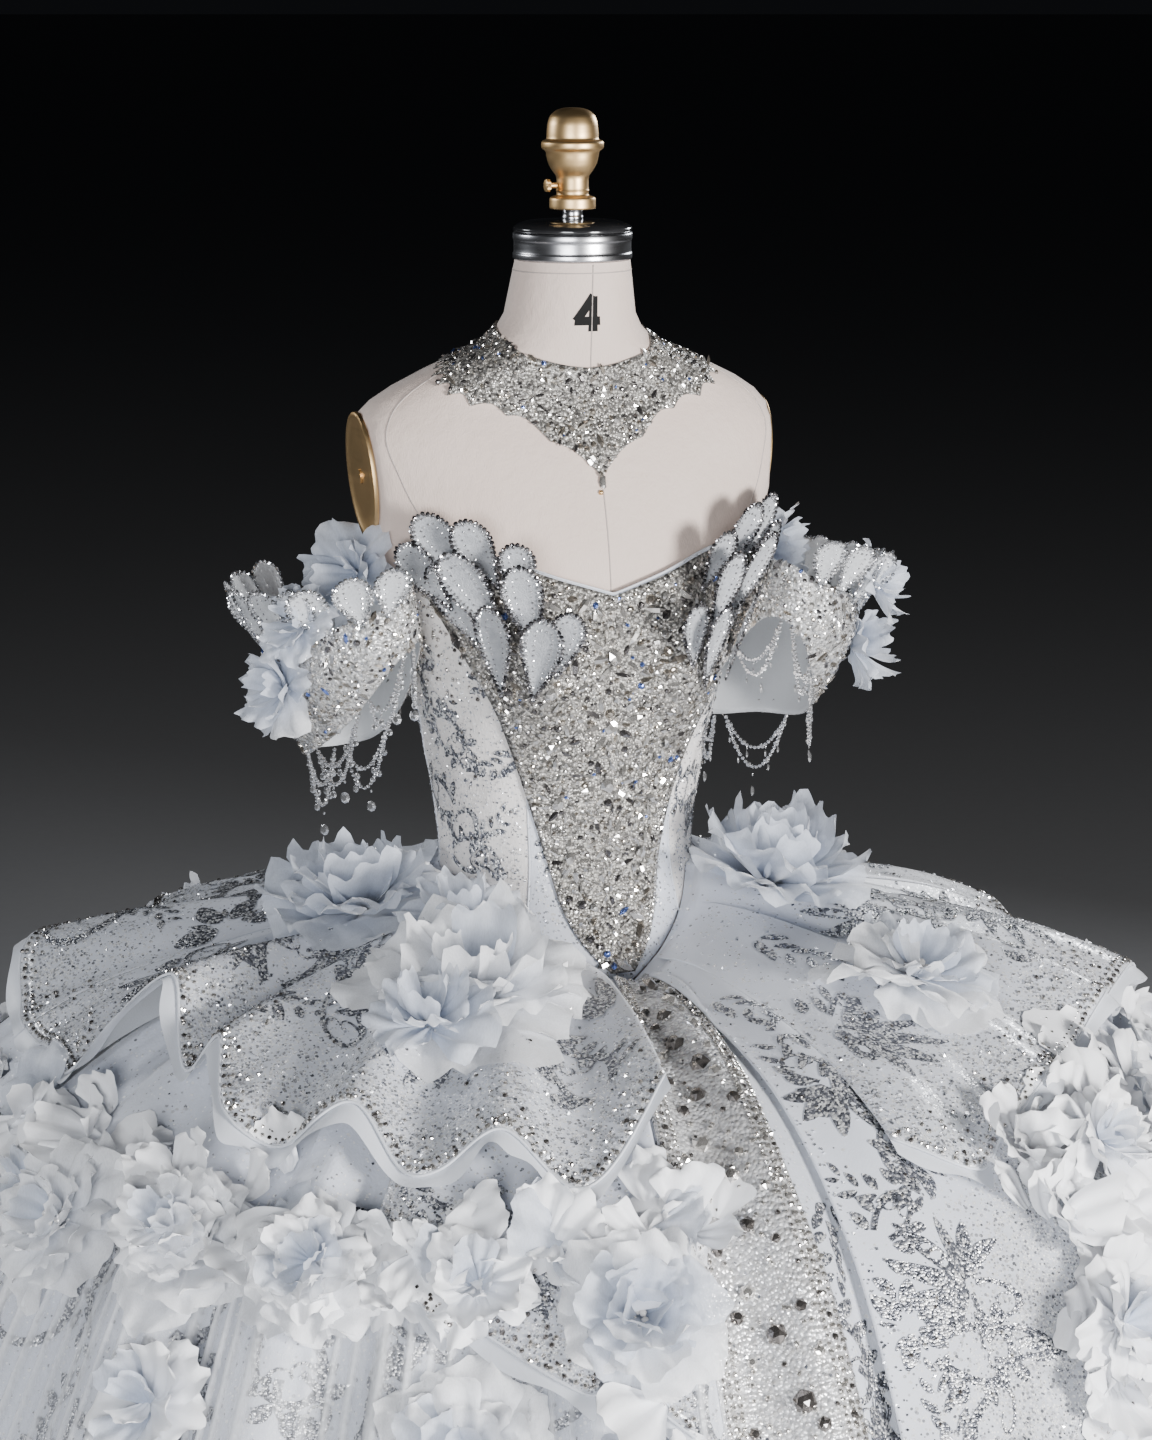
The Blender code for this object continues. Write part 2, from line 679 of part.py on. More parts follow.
def make_bodice():
    """Front, two sides, two backs and the centre-back placket."""
    share = np.linspace(0, 1, BODICE_ROWS)[:, None]
    angles = (np.arange(BODICE_COLUMNS) - (BODICE_COLUMNS - 1) / 2) * 2 * math.pi / BODICE_COLUMNS
    outer = bodice_point(angles[None, :], share)
    inner = outer - CLOTH * grid_normals(outer, 1, wrap=True)
    inner[0, :, 2] = outer[0, :, 2]
    panels = (
        ("bodice_back_right", 0, 11),
        ("bodice_side_right", 11, 20),
        ("bodice_front", 20, 29),
        ("bodice_side_left", 29, 38),
        ("bodice_back_left", 38, 49),
    )
    for name, first, last in panels:
        edged_outer, edged_inner = parted(outer, inner, np.arange(first, last + 1))
        wall(name, edged_outer, "satin", inner=edged_inner)
    edged_outer, edged_inner = parted(outer, inner, np.array([BODICE_COLUMNS - 1, 0]))
    button = PLACKET_BUTTON * (np.arange(BODICE_ROWS) % 2)[:, None, None]
    middle = edged_outer.mean(axis=1, keepdims=True) + np.array([0.0, 1.0, 0.0]) * button
    edged_outer = np.concatenate([edged_outer[:, :1], middle, edged_outer[:, 1:]], axis=1)
    middle = edged_inner.mean(axis=1, keepdims=True)
    edged_inner = np.concatenate([edged_inner[:, :1], middle, edged_inner[:, 1:]], axis=1)
    wall("bodice_back_placket", edged_outer, "satin", inner=edged_inner)


def make_plastron():
    """The stone-set panel over the bodice front, its stones raised over a plain inside."""
    rows, columns = 15, 11
    top_share, low_share = 0.965, 0.030
    share = np.linspace(low_share, top_share, rows)[:, None]
    across = np.linspace(-1, 1, columns)[None, :]
    height = WAIST_HEIGHT - BASQUE_DROP + share * (1.31 - WAIST_HEIGHT + BASQUE_DROP)
    angle = across * np.radians(PLASTRON.read("half_angle", height))
    seam_height = waist_seam(angle)[2]
    top = NECKLINE.read("height", np.degrees(np.abs(angle)))
    level = np.clip(height, None, top - 0.004)
    bodice_share = np.clip((level - seam_height) / (top - seam_height), 0.012, 0.985)
    inner = bodice_point(angle, bodice_share, SETTLE_GAP)
    row, column = np.indices(inner.shape[:2])
    stones = STONE_BED + STONE_STEP * ((row + column) % 2) + 0.4 * STONE_STEP * ((row * 2 + column) % 3 == 0)
    outer = inner + grid_normals(inner, 1) * (CLOTH + stones)[..., None]
    outer, inner = settled(outer, inner, "bodice")
    wall("jewel_plastron", outer, "bead", inner=inner)


def make_collar():
    """The beaded collar round the neck, lying on the form's shoulders."""
    columns = 30
    angles = np.arange(columns) * 2 * math.pi / columns
    turn = np.degrees(np.minimum(angles, 2 * math.pi - angles))
    share = np.array([0.0, 0.3, 0.62, 1.0])[:, None]
    low, high = COLLAR.read("low", turn), COLLAR.read("high", turn)
    scallop = 0.006 * (np.arange(columns) % 2) * (np.arange(columns) != 0)
    height = (low + scallop)[None, :] * (1 - share) + high[None, :] * share
    smooth = form_point(angles[None, :], height, 0.0, clip_armhole=False)
    normal = grid_normals(smooth, 1, wrap=True)
    row, column = np.indices(smooth.shape[:2])
    stones = STONE_BED / 2 + STONE_STEP * ((row + column) % 2)
    inner = smooth + normal * SETTLE_GAP
    outer = inner + normal * (CLOTH + stones)[..., None]
    outer, inner = settled(outer, inner, "form_torso", wrap=True)
    wall("beaded_collar", outer, "bead", wrap=True, inner=inner)


def make_petal_fans():
    """The spray of wired petals at each bust, standing out of the bodice's top edge."""
    petals, per_petal = 5, 4
    columns = petals * per_petal + 1
    across = np.linspace(0, 1, columns)[None, :]
    share = np.array([0.0, 0.38, 0.72, 1.0])[:, None]
    bulge = np.abs(np.sin(across * petals * math.pi))
    for side, name in ((-1, "right"), (1, "left")):
        angle = side * np.radians(PETAL_FAN_FROM + (PETAL_FAN_TO - PETAL_FAN_FROM) * across)
        low = 0.77 + 0.05 * np.cos(across * 2 * math.pi)
        tall = 0.02 + 0.05 * np.sin(across * math.pi) + 0.06 * bulge
        height_share = low + (1.0 + tall - low) * share
        grown = np.clip(height_share, 0, 1)
        outer = bodice_point(angle, grown, 0.0030 + 0.006 * share + 0.016 * share**2 + 0.004 * bulge * share)
        outer[..., 2] += (height_share - grown) * 0.26
        inner = outer - ORGANZA * grid_normals(outer, side)
        outer, inner = settled(outer, inner, ("bodice", "jewel"))
        wall("petal_fan_" + name, outer, "organza", inner=inner)


def mirrored(points, side):
    """Points of the wearer's right, or their mirror image for the left."""
    return points * np.array([-side, 1.0, 1.0])


def sleeve_point(turn, share, lift=0.0):
    """A point of the right sleeve's outer face: turn in degrees, share 0 at the lower edge, 1 at the top."""
    turn, share, lift = np.broadcast_arrays(*(np.asarray(value, float) for value in (turn, share, lift)))
    top = np.stack([SLEEVE.read("top_" + axis, turn % 360) for axis in "xyz"], axis=-1)
    low = np.stack([SLEEVE.read("low_" + axis, turn % 360) for axis in "xyz"], axis=-1)
    radians = np.radians(turn)
    out = np.stack([-np.cos(radians), -np.sin(radians), np.zeros_like(radians)], axis=-1)
    free = np.clip(np.cos(radians) + 0.55, 0, 1)[..., None]
    swell = SLEEVE_BULGE * np.sin(math.pi * share)[..., None] * free
    return low * (1 - share[..., None]) + top * share[..., None] + out * (swell + lift[..., None])


class Sleeve:
    """An off-the-shoulder band on one side, drawn in until it lies a seam's gap from the bodice."""

    def __init__(self, side, word):
        self.side = side
        self.word = word
        self.draw_in = 0.0
        turns = np.arange(SLEEVE_COLUMNS) * 360 / SLEEVE_COLUMNS
        outer = self.point(turns[None, :], np.linspace(0, 1, 5)[:, None])
        faces = grid_triangles(*outer.shape[:2], True, 0)
        towards = np.array([-side, 0.0, 0.0])
        travel = free_travel(outer.reshape(-1, 3), faces, ("bodice", "petal_fan"), towards, 0.1)
        self.draw_in = travel - SEAM - SLACK
        outer = outer + towards * self.draw_in
        inner = outer - CLOTH * grid_normals(outer, -side, wrap=True)
        self.rim = np.minimum(outer[0, :, 2], inner[0, :, 2])
        wall("sleeve_" + word, outer, "satin", wrap=True, inner=inner)

    def place(self, points):
        """Points of the right-hand sleeve's table, moved to this sleeve's place and side."""
        return mirrored(points + np.array([self.draw_in, 0.0, 0.0]), self.side)

    def point(self, turn, share, lift=0.0):
        """A point of this sleeve's outer face."""
        return self.place(sleeve_point(turn, share, lift))

    def make_petals(self):
        """The row of loop petals along the upper edge."""
        petals, per_petal = 6, 3
        across = np.linspace(0, 1, petals * per_petal + 1)[None, :]
        rise = np.array([0.0, 0.55, 1.0])[:, None]
        bulge = np.abs(np.sin(across * petals * math.pi))
        outer = self.point(-62 + 150 * across, 0.80 + 0.17 * rise, ORGANZA + SETTLE_GAP + 0.016 * rise**2)
        outer[..., 2] += (0.012 + 0.016 * bulge) * rise
        inner = outer - ORGANZA * grid_normals(outer, -self.side)
        outer, inner = settled(outer, inner, "sleeve_" + self.word)
        wall("sleeve_petals_" + self.word, outer, "organza", inner=inner)

    def make_swags(self):
        """Bead swags and their drops, rooted in a narrow strip under the lower edge."""
        roots = sorted(turn for swag in SWAGS for turn in swag[:2])
        half_wide, half_deep = SWAG_SECTION[0] / 2, SWAG_SECTION[1] / 2
        step = math.degrees(half_wide / 0.062)
        rim_turns = np.arange(SLEEVE_COLUMNS) * 360 / SLEEVE_COLUMNS
        apart = [turn for turn in rim_turns if min(abs(turn - root) for root in roots) > 3 * step]
        turns = np.sort([turn + away for turn in roots for away in (-step, step)] + apart)
        column = {root: int(np.searchsorted(turns, root)) - 1 for root in roots}
        middle = sleeve_point(turns, 0.0, -CLOTH / 2)
        middle[:, 2] = np.interp(turns, rim_turns, self.rim, period=360) - SWAG_CLEAR
        out = sleeve_point(turns, 0.0, 0.01) - sleeve_point(turns, 0.0)
        out *= half_deep / np.linalg.norm(out, axis=1, keepdims=True)
        down = np.array([0.0, 0.0, -SWAG_STRIP_DEPTH])
        rings = np.array((middle + out, middle + out + down, middle - out + down, middle - out))
        top_first = self.place(np.roll(rings, 1, axis=0).reshape(-1, 3))
        faces = grid_triangles(4, len(turns), True, 0)
        upwards = np.array([0.0, 0.0, 1.0])
        travel = free_travel(top_first, faces, "sleeve_" + self.word, upwards, 2 * SWAG_CLEAR)
        strands = Strands(rings + upwards * (travel - SEAM - SLACK))
        for first, last, sag, drop in SWAGS:
            strands.hang(column[first], column[last], sag, drop)
        strands.close_strip()
        make_object("sleeve_swags_" + self.word, self.place(np.array(strands.points)), strands.faces, "bead")


class Strands:
    """Four-sided strands that hang from a closed strip, as one body's points and faces.

    The strip has four rings of points; the second and third bound its underside, where strands are rooted."""

    def __init__(self, rings):
        self.count = len(rings[0])
        self.points = [tuple(p) for ring in rings for p in ring]
        self.faces = []
        self.rooted = set()

    def middle(self, ring):
        return np.mean([self.points[k] for k in ring], axis=0)

    def underside(self, column):
        """The strip's lower face from this column to the next."""
        after = (column + 1) % self.count
        return [self.count + column, self.count + after, 2 * self.count + after, 2 * self.count + column]

    def section(self, centre, along, wide):
        """Four new points across a strand at this place; returns their indices."""
        along = along / np.linalg.norm(along)
        deep = np.cross(along, wide)
        deep = deep / np.linalg.norm(deep) * SWAG_SECTION[1] / 2
        wide = np.cross(deep, along)
        wide = wide / np.linalg.norm(wide) * SWAG_SECTION[0] / 2
        start = len(self.points)
        self.points += [tuple(centre + wide * a + deep * b) for a, b in ((-1, 1), (1, 1), (1, -1), (-1, -1))]
        return list(range(start, start + 4))

    def bridged(self, first, second):
        """The four faces between two rings, twisted least, and the second ring's points in step."""
        one = np.array([self.points[k] for k in first])
        turns = [(flip, shift) for flip in (1, -1) for shift in range(4)]
        orders = [[second[(shift + flip * k) % 4] for k in range(4)] for flip, shift in turns]
        costs = [np.linalg.norm(one - [self.points[k] for k in order], axis=1).sum() for order in orders]
        order = orders[int(np.argmin(costs))]
        return [(first[k], first[(k + 1) % 4], order[(k + 1) % 4], order[k]) for k in range(4)], order

    def hang(self, first_column, last_column, sag, drop):
        """A swag between two root faces of the strip, with a drop at its lowest place."""
        self.rooted |= {first_column, last_column}
        previous, end_ring = self.underside(first_column), self.underside(last_column)
        start, end = self.middle(previous), self.middle(end_ring)
        shares = np.array(SWAG_SHARES)
        path = start + (end - start) * shares[:, None]
        path[:, 2] -= 4 * sag * shares * (1 - shares) + SAG_START
        wide = np.cross(end - start, (0.0, 0.0, 1.0))
        slopes = np.gradient(path, axis=0)
        for step, centre in enumerate(path):
            faces, ring = self.bridged(previous, self.section(centre, slopes[step], wide))
            if step == len(path) // 2:
                faces.sort(key=lambda face: self.middle(face)[2])
                self.drop_from(list(faces.pop(0)), drop)
            self.faces += faces
            previous = ring
        self.faces += self.bridged(previous, end_ring)[0]

    def drop_from(self, ring, length):
        """A bead drop that hangs from a face of a strand."""
        centre = self.middle(ring)
        flat = (np.array([self.points[k] for k in ring]) - centre) * np.array([1.0, 1.0, 0.0])
        for depth, size in DROP_PROFILE:
            start = len(self.points)
            low = centre - np.array([0.0, 0.0, length * depth])
            self.points += [tuple(low + offset * size) for offset in flat]
            below = list(range(start, start + 4))
            self.faces += [(ring[k], ring[(k + 1) % 4], below[(k + 1) % 4], below[k]) for k in range(4)]
            ring = below
        self.faces.append(tuple(ring))

    def close_strip(self):
        """The strip's own faces, but for those in which a strand is rooted."""
        for column in range(self.count):
            after = (column + 1) % self.count
            for level in range(4):
                low, high = level * self.count, (level + 1) % 4 * self.count
                if level != 1 or column not in self.rooted:
                    self.faces.append((low + column, low + after, high + after, high + column))


def make_sleeves():
    """Both off-the-shoulder bands, their rows of loop petals, and the bead swags under them."""
    sleeves = [Sleeve(-1, "right"), Sleeve(1, "left")]
    for sleeve in sleeves:
        sleeve.make_petals()
        sleeve.make_swags()
    return sleeves


def top_under(tree, centre, normal, across, radius, reach):
    """The highest place under a disc, along its normal from its centre; zero where nothing lies there."""
    tops = []
    for share in (0.0, 0.5, 1.0):
        for angle in np.arange(24) * math.pi / 12:
            flat = across[0] * math.cos(angle) + across[1] * math.sin(angle)
            start = centre + flat * radius * share + normal * reach
            hit = tree.ray_cast(Vector(start), Vector(-normal), 2 * reach)
            if hit[0] is not None:
                tops.append(reach - hit[3])
    return max(tops, default=0.0)


def make_flower(name, tree, centre, normal, radius, petals=5, turn=0.0, cup=0.30, layers=2):
    """One organza bloom: lobed layers on a short stem that is seated on the cloth below it."""
    stem = FLOWER_STEM * radius
    normal = np.asarray(normal, float) / np.linalg.norm(normal)
    side_axis = np.cross(normal, (0.0, 0.0, 1.0) if abs(normal[2]) < 0.9 else (0.0, 1.0, 0.0))
    side_axis /= np.linalg.norm(side_axis)
    up_axis = np.cross(normal, side_axis)
    near = np.vstack(seating) - centre
    near = near[np.linalg.norm(near, axis=1) < 1.5 * radius]
    height = near @ normal
    flat_u, flat_v = near @ side_axis, near @ up_axis
    reach, heading = np.hypot(flat_u, flat_v), np.arctan2(flat_v, flat_u)
    columns = petals * 3
    angles = turn + np.arange(columns) * 2 * math.pi / columns
    margin = SAMPLE_SPACING * 0.8
    seat = top_under(tree, centre, normal, (side_axis, up_axis), stem, 0.6 * radius) + SEAM + SLACK
    rise = np.zeros((2, columns))
    limit = np.full(columns, radius)
    for column, angle in enumerate(angles):
        away = np.abs((heading - angle + math.pi) % (2 * math.pi) - math.pi)
        sector = (away * np.maximum(reach, 0.2 * radius) < 0.22 * radius + margin) & (height > -0.5 * radius)
        steep = sector & (height > 0.10 * radius + 0.62 * reach) & (reach > stem)
        if steep.any():
            limit[column] = max(0.40 * radius, reach[steep].min() - 0.012)
        low = sector & (reach < 0.62 * limit[column] + margin) & ~steep
        far = sector & (reach < limit[column] + margin) & ~steep
        rise[0, column] = height[low].max() if low.any() else 0.0
        rise[1, column] = height[far].max() if far.any() else 0.0
    lobe = np.where(np.arange(columns) % 3 == 0, 0.66, 1.0)
    lobe_above = np.where(np.arange(columns) % 3 == 1, 0.62, 1.0)
    curl = 0.05 * radius * np.where(np.arange(columns) % 3 == 2, 1.0, -0.6)
    under_mid = np.maximum(rise[0] + FLOWER_CLEAR, seat + 0.10 * radius)
    under_rim = np.maximum(rise[1] + FLOWER_CLEAR + 0.05 * radius, under_mid + cup * 0.5 * radius)
    under_rim += curl.clip(0)
    stem_top = np.maximum(rise[0] + FLOWER_CLEAR, seat + FLOWER_SHEET)
    neck = stem_top + 2 * FLOWER_SHEET
    rings = [
        (np.full(columns, stem), np.full(columns, seat)),
        (np.full(columns, stem), stem_top),
        (0.60 * limit * (0.5 + 0.5 * lobe), under_mid),
        (limit * lobe, under_rim),
        (0.985 * limit * lobe, under_rim + FLOWER_SHEET),
        (0.58 * limit * (0.5 + 0.5 * lobe), under_mid + FLOWER_SHEET),
        (np.full(columns, 1.2 * stem), neck),
    ]
    if layers > 1:
        above = under_mid + 3 * FLOWER_SHEET + (0.16 + 0.30 * cup) * radius
        rings.append((0.62 * limit * lobe_above, above))
        rings.append((0.60 * limit * lobe_above, above + FLOWER_SHEET))
        rings.append((np.full(columns, stem), neck + 4 * FLOWER_SHEET))
    points, faces = [], []
    for ring_radius, ring_height in rings:
        for column, angle in enumerate(angles):
            flat = side_axis * math.cos(angle) + up_axis * math.sin(angle)
            points.append(centre + flat * ring_radius[column] + normal * ring_height[column])
    for row in range(len(rings) - 1):
        for column in range(columns):
            after = (column + 1) % columns
            a, b = row * columns + column, row * columns + after
            faces += [(a, b, b + columns), (a, b + columns, a + columns)]
    bottom, top = len(points), len(points) + 1
    points.append(centre + normal * seat)
    last = (len(rings) - 1) * columns
    points.append(centre + normal * (rings[-1][1].mean() + FLOWER_SHEET))
    for column in range(columns):
        after = (column + 1) % columns
        faces += [(column, bottom, after), (last + column, last + after, top)]
    points = np.array(points)
    seating.append(spread_points(points, faces))
    return make_object(name, points, faces, "organza")


def skirt_seat(angle, run, lift_guess):
    """Centre and normal of a flower on whatever lies highest over the skirt here."""
    base = skirt_point(math.radians(angle), run)
    above = skirt_point(math.radians(angle), run, 0.1)
    normal = (above - base) / np.linalg.norm(above - base)
    near = np.vstack(seating) - base
    height = near @ normal
    flat = np.linalg.norm(near - height[:, None] * normal, axis=1)
    here = height[(flat < SAMPLE_SPACING * 1.2) & (height < lift_guess)]
    return base + normal * here.max(), normal


def make_flowers(sleeves):
    """Organza blooms on the waist, hips, skirt and sleeves."""
    tree = host_tree(("bodice", "jewel", "skirt", "peplum", "overskirt", "short_tier", "sleeve"))
    # name, angle in degrees, run down the skirt, radius, petals, turn
    blooms = (
        ("flower_waist_front_right", -36, 0.150, 0.080, 5, 0.3),
        ("flower_hip_right", -80, 0.085, 0.064, 5, 0.9),
        ("flower_hip_left", 48, 0.085, 0.066, 5, 0.5),
        ("flower_peplum_left", 33, 0.235, 0.060, 5, 1.1),
        ("flower_short_tier", -15, 0.470, 0.046, 5, 0.2),
        ("flower_skirt_01", -66, 0.450, 0.052, 5, 0.6),
        ("flower_skirt_02", -51, 0.445, 0.050, 5, 0.2),
        ("flower_skirt_03", -40, 0.450, 0.048, 5, 1.0),
        ("flower_skirt_04", -27, 0.560, 0.050, 5, 0.4),
        ("flower_skirt_05", 38, 0.480, 0.052, 5, 0.8),
        ("flower_skirt_06", 27, 0.590, 0.052, 5, 0.1),
        ("flower_skirt_07", 62, 0.500, 0.052, 5, 0.7),
        ("flower_skirt_08", -105, 0.500, 0.052, 5, 0.3),
        ("flower_skirt_09", 118, 0.500, 0.052, 5, 1.0),
        ("flower_skirt_10", 172, 0.500, 0.052, 5, 0.5),
    )
    for name, angle, run, radius, petals, turn in blooms:
        centre, normal = skirt_seat(angle, run, 0.10)
        make_flower(name, tree, centre, normal, radius, petals, turn, layers=1 if "skirt_" in name else 2)
    for sleeve in sleeves:
        centre = sleeve.point(20.0, 0.55)
        outward = sleeve.point(20.0, 0.55, 0.01) - centre
        make_flower("flower_sleeve_" + sleeve.word, tree, centre, outward, 0.046, 5, 0.4, layers=1)


def make_form():
    """The limbless form, its neck ring, cap, finial, arm plates, pole and base."""
    heights = np.array(FORM_CUTS)[:, None]
    angles = (np.arange(FORM_COLUMNS) * 2 * math.pi / FORM_COLUMNS)[None, :]
    grid = form_point(angles, heights)
    lean = grid[-1, :, 1].mean()
    shift = lean - NECK_LEAN * (NECK_TOP - FORM_CUTS[-1])
    ring = around(NECK_TOP_RADIUS, NECK_TOP_RADIUS, angles, NECK_TOP) + np.array([0.0, shift, 0.0])
    grid = np.concatenate([grid, ring], axis=0)
    rows, columns = grid.shape[:2]
    points = grid.reshape(-1, 3)
    faces = grid_triangles(rows, columns, True, 0)
    seating.append(spread_points(points, faces))
    faces += [tuple(range(columns)), tuple(range((rows - 1) * columns, rows * columns))]
    make_object("form_torso", points, faces, "linen")
    top_y = float(grid[-1, :, 1].mean())
    ring_foot = NECK_TOP + SEAM
    plate = ring_foot + NECK_RING_HEIGHT + SEAM
    rod = plate + CAP_HEIGHT + SEAM
    foot = rod + ROD_HEIGHT + SEAM
    radius = NECK_TOP_RADIUS + 0.0015
    ring = ((NECK_TOP_RADIUS, ring_foot), (radius, ring_foot + 0.002), (radius, ring_foot + NECK_RING_HEIGHT))
    cap = ((radius, plate), (radius, plate + 0.003), (0.041, plate + 0.008), (0.016, plate + CAP_HEIGHT))
    turned("form_neck_ring", ring, "steel", (0, top_y))
    turned("form_cap_plate", cap, "black", (0, top_y))
    turned("finial_rod", ((ROD_RADIUS, rod), (ROD_RADIUS, rod + ROD_HEIGHT)), "steel", (0, top_y), 16)
    # radius, height above the foot
    finial = (
        (0.0160, 0.0000),
        (0.0185, 0.0015),
        (0.0185, 0.0090),
        (FINIAL_NECK_RADIUS, 0.0110),
        (FINIAL_NECK_RADIUS, 0.0260),
        (0.0160, 0.0300),
        (0.0190, 0.0350),
        (0.0215, 0.0460),
        (0.0250, 0.0490),
        (0.0250, 0.0530),
        (0.0205, 0.0550),
        (0.0200, 0.0690),
        (0.0170, 0.0770),
        (0.0080, 0.0800),
    )
    turned("finial", [(radius, foot + height) for radius, height in finial], "brass", (0, top_y), 16)
    screw_profile = ((0.0022, 0.0), (0.0022, 0.006), (0.0050, 0.006), (0.0050, 0.010))
    screw = turned("finial_thumb_screw", screw_profile, "brass", segments=10)
    screw.rotation_euler = (0.0, -math.pi / 2, 0.0)
    screw.location = (-FINIAL_NECK_RADIUS - SEAM, top_y, foot + 0.019)
    for side, word in ((-1, "right"), (1, "left")):
        make_arm_plate("arm_plate_" + word, side)
    pole = ((POLE_RADIUS, BASE_THICKNESS + SEAM), (POLE_RADIUS, FORM_FLOOR - SEAM))
    turned("stand_pole", pole, "steel", segments=16)
    base = (
        (BASE_RADIUS, 0.0),
        (BASE_RADIUS, 0.012),
        (BASE_RADIUS - 0.012, 0.018),
        (0.050, BASE_THICKNESS - 0.002),
        (0.040, BASE_THICKNESS),
    )
    turned("stand_base", base, "black", segments=32)


def make_arm_plate(name, side):
    """A flat oval plate on the form's armhole face."""
    segments = 20
    lean = SHOULDER_PLANE_LEAN
    points = []
    normal = np.array([1.0, 0.0, -lean]) / math.hypot(1.0, lean)
    up = np.array([lean, 0.0, 1.0]) / math.hypot(1.0, lean)
    centre = np.array([SHOULDER_PLANE, 0.008, SHOULDER_PLANE_HEIGHT - 0.002])
    for depth, shrink in ((SEAM, 1.0), (ARM_PLATE_THICKNESS - 0.001, 1.0), (ARM_PLATE_THICKNESS, 0.96)):
        for k in range(segments):
            angle = 2 * math.pi * k / segments
            across = ARM_PLATE_HALF[0] * shrink * math.cos(angle)
            tall = ARM_PLATE_HALF[1] * shrink * math.sin(angle)
            points.append(centre + normal * depth + np.array([0.0, across, 0.0]) + up * tall)
    faces = []
    for row in range(2):
        for column in range(segments):
            after = (column + 1) % segments
            a, b = row * segments + column, row * segments + after
            faces.append((a, b, b + segments, a + segments))
    faces += [tuple(range(segments)), tuple(range(2 * segments, 3 * segments))]
    make_object(name, mirrored(np.array(points), -side), faces, "brass")


def main():
    for thing in list(bpy.data.objects):
        bpy.data.objects.remove(thing, do_unlink=True)
    make_form()
    make_skirt()
    make_bodice()
    make_plastron()
    make_collar()
    make_petal_fans()
    sleeves = make_sleeves()
    make_strip()
    make_tiers()
    make_flowers(sleeves)


main()
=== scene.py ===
"""The wedding gown on its dress form as it looks: fine cloth, stones, glitter, flowers and finishes.

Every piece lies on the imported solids, in metres, +Z up, the gown's front towards -Y and the wearer's right at -X."""

from __future__ import annotations

import json
import logging
import math
from collections.abc import Callable, Sequence
from dataclasses import dataclass, field
from enum import Enum

import bpy
import numpy as np
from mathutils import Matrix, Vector

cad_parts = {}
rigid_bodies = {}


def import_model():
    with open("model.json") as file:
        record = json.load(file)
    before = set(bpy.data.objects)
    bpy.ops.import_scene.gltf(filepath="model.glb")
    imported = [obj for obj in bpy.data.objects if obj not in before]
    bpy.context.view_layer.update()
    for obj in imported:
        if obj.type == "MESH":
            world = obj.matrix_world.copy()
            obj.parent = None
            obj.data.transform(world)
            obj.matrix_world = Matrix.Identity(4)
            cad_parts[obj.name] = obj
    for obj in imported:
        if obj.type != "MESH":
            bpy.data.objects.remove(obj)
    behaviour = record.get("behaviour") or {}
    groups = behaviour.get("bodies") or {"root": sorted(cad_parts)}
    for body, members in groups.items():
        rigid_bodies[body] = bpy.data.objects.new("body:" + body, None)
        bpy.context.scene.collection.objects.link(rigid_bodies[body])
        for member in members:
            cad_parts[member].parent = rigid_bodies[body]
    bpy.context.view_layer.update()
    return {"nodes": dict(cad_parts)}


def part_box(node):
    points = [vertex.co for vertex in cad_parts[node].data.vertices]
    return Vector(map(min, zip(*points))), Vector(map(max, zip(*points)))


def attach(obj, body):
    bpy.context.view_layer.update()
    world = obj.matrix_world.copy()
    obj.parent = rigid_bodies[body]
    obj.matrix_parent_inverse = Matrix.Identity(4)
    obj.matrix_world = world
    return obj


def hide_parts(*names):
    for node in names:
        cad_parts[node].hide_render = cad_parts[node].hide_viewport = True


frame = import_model()

Array = np.ndarray
LOG = logging.getLogger("gown")

# The cut, as in the solids
CLOTH = 0.0015
SEAM = 0.0003
FORM_EASE = 0.0060
WAIST_HEIGHT = 1.050
WAIST_HALF_WIDTH = 0.108
WAIST_HALF_DEPTH = 0.092
BASQUE_DROP = 0.072
BASQUE_REACH = 0.050
BASQUE_HALF_ANGLE = 0.95
BASQUE_BLEND_RUN = 0.50
BASQUE_BLEND_HEIGHT = 0.13
BACK_SAG = 0.024
BACK_SAG_FROM, BACK_SAG_FULL = 0.7, 1.6
BUST_SIDE = 0.068
BUST_HEIGHT = 1.235
BUST_REACH = 0.030
HEM_HEIGHT = 0.004
FOLD_COUNT = 32
GORE_COUNT = 8
SHOULDER_PLANE = 0.169
SHOULDER_PLANE_HEIGHT = 1.385
SHOULDER_PLANE_LEAN = 0.10
NECK_LEAN = 0.16
NECK_TOP = 1.553
NECK_TOP_RADIUS = 0.0465
NECK_ROOT = 1.51
SLEEVE_BULGE = 0.010
TIER_POWER = 1.5


class Table:
    """A short table of named columns, read between its rows along a smooth curve."""

    def __init__(self, columns: Sequence[str], rows: Sequence[Sequence[float]], period: float | None = None) -> None:
        """Keep the rows.

        Args:
            columns: The columns' names; the first is the key.
            rows: One row of numbers for each key, in rising order.
            period: Where given, the rows repeat after this much of the key.
        """
        values = np.array(rows, dtype=float)
        if period:
            before, after = values[-2:].copy(), values[:2].copy()
            before[:, 0] -= period
            after[:, 0] += period
            values = np.vstack([before, values, after])
        self.key = values[:, 0]
        self.columns = {name: values[:, k] for k, name in enumerate(columns)}

    def read(self, name: str, at: Array | float) -> Array:
        """The column's values at these keys, on a cubic curve through the rows."""
        key, column = self.key, self.columns[name]
        slopes = np.gradient(column, key)
        at = np.clip(at, key[0], key[-1])
        low = np.clip(np.searchsorted(key, at, side="right") - 1, 0, len(key) - 2)
        span = key[low + 1] - key[low]
        t = (at - key[low]) / span
        start = (1 + 2 * t) * (1 - t) ** 2 * column[low] + t * (1 - t) ** 2 * span * slopes[low]
        end = t**2 * (3 - 2 * t) * column[low + 1] + t**2 * (t - 1) * span * slopes[low + 1]
        return start + end


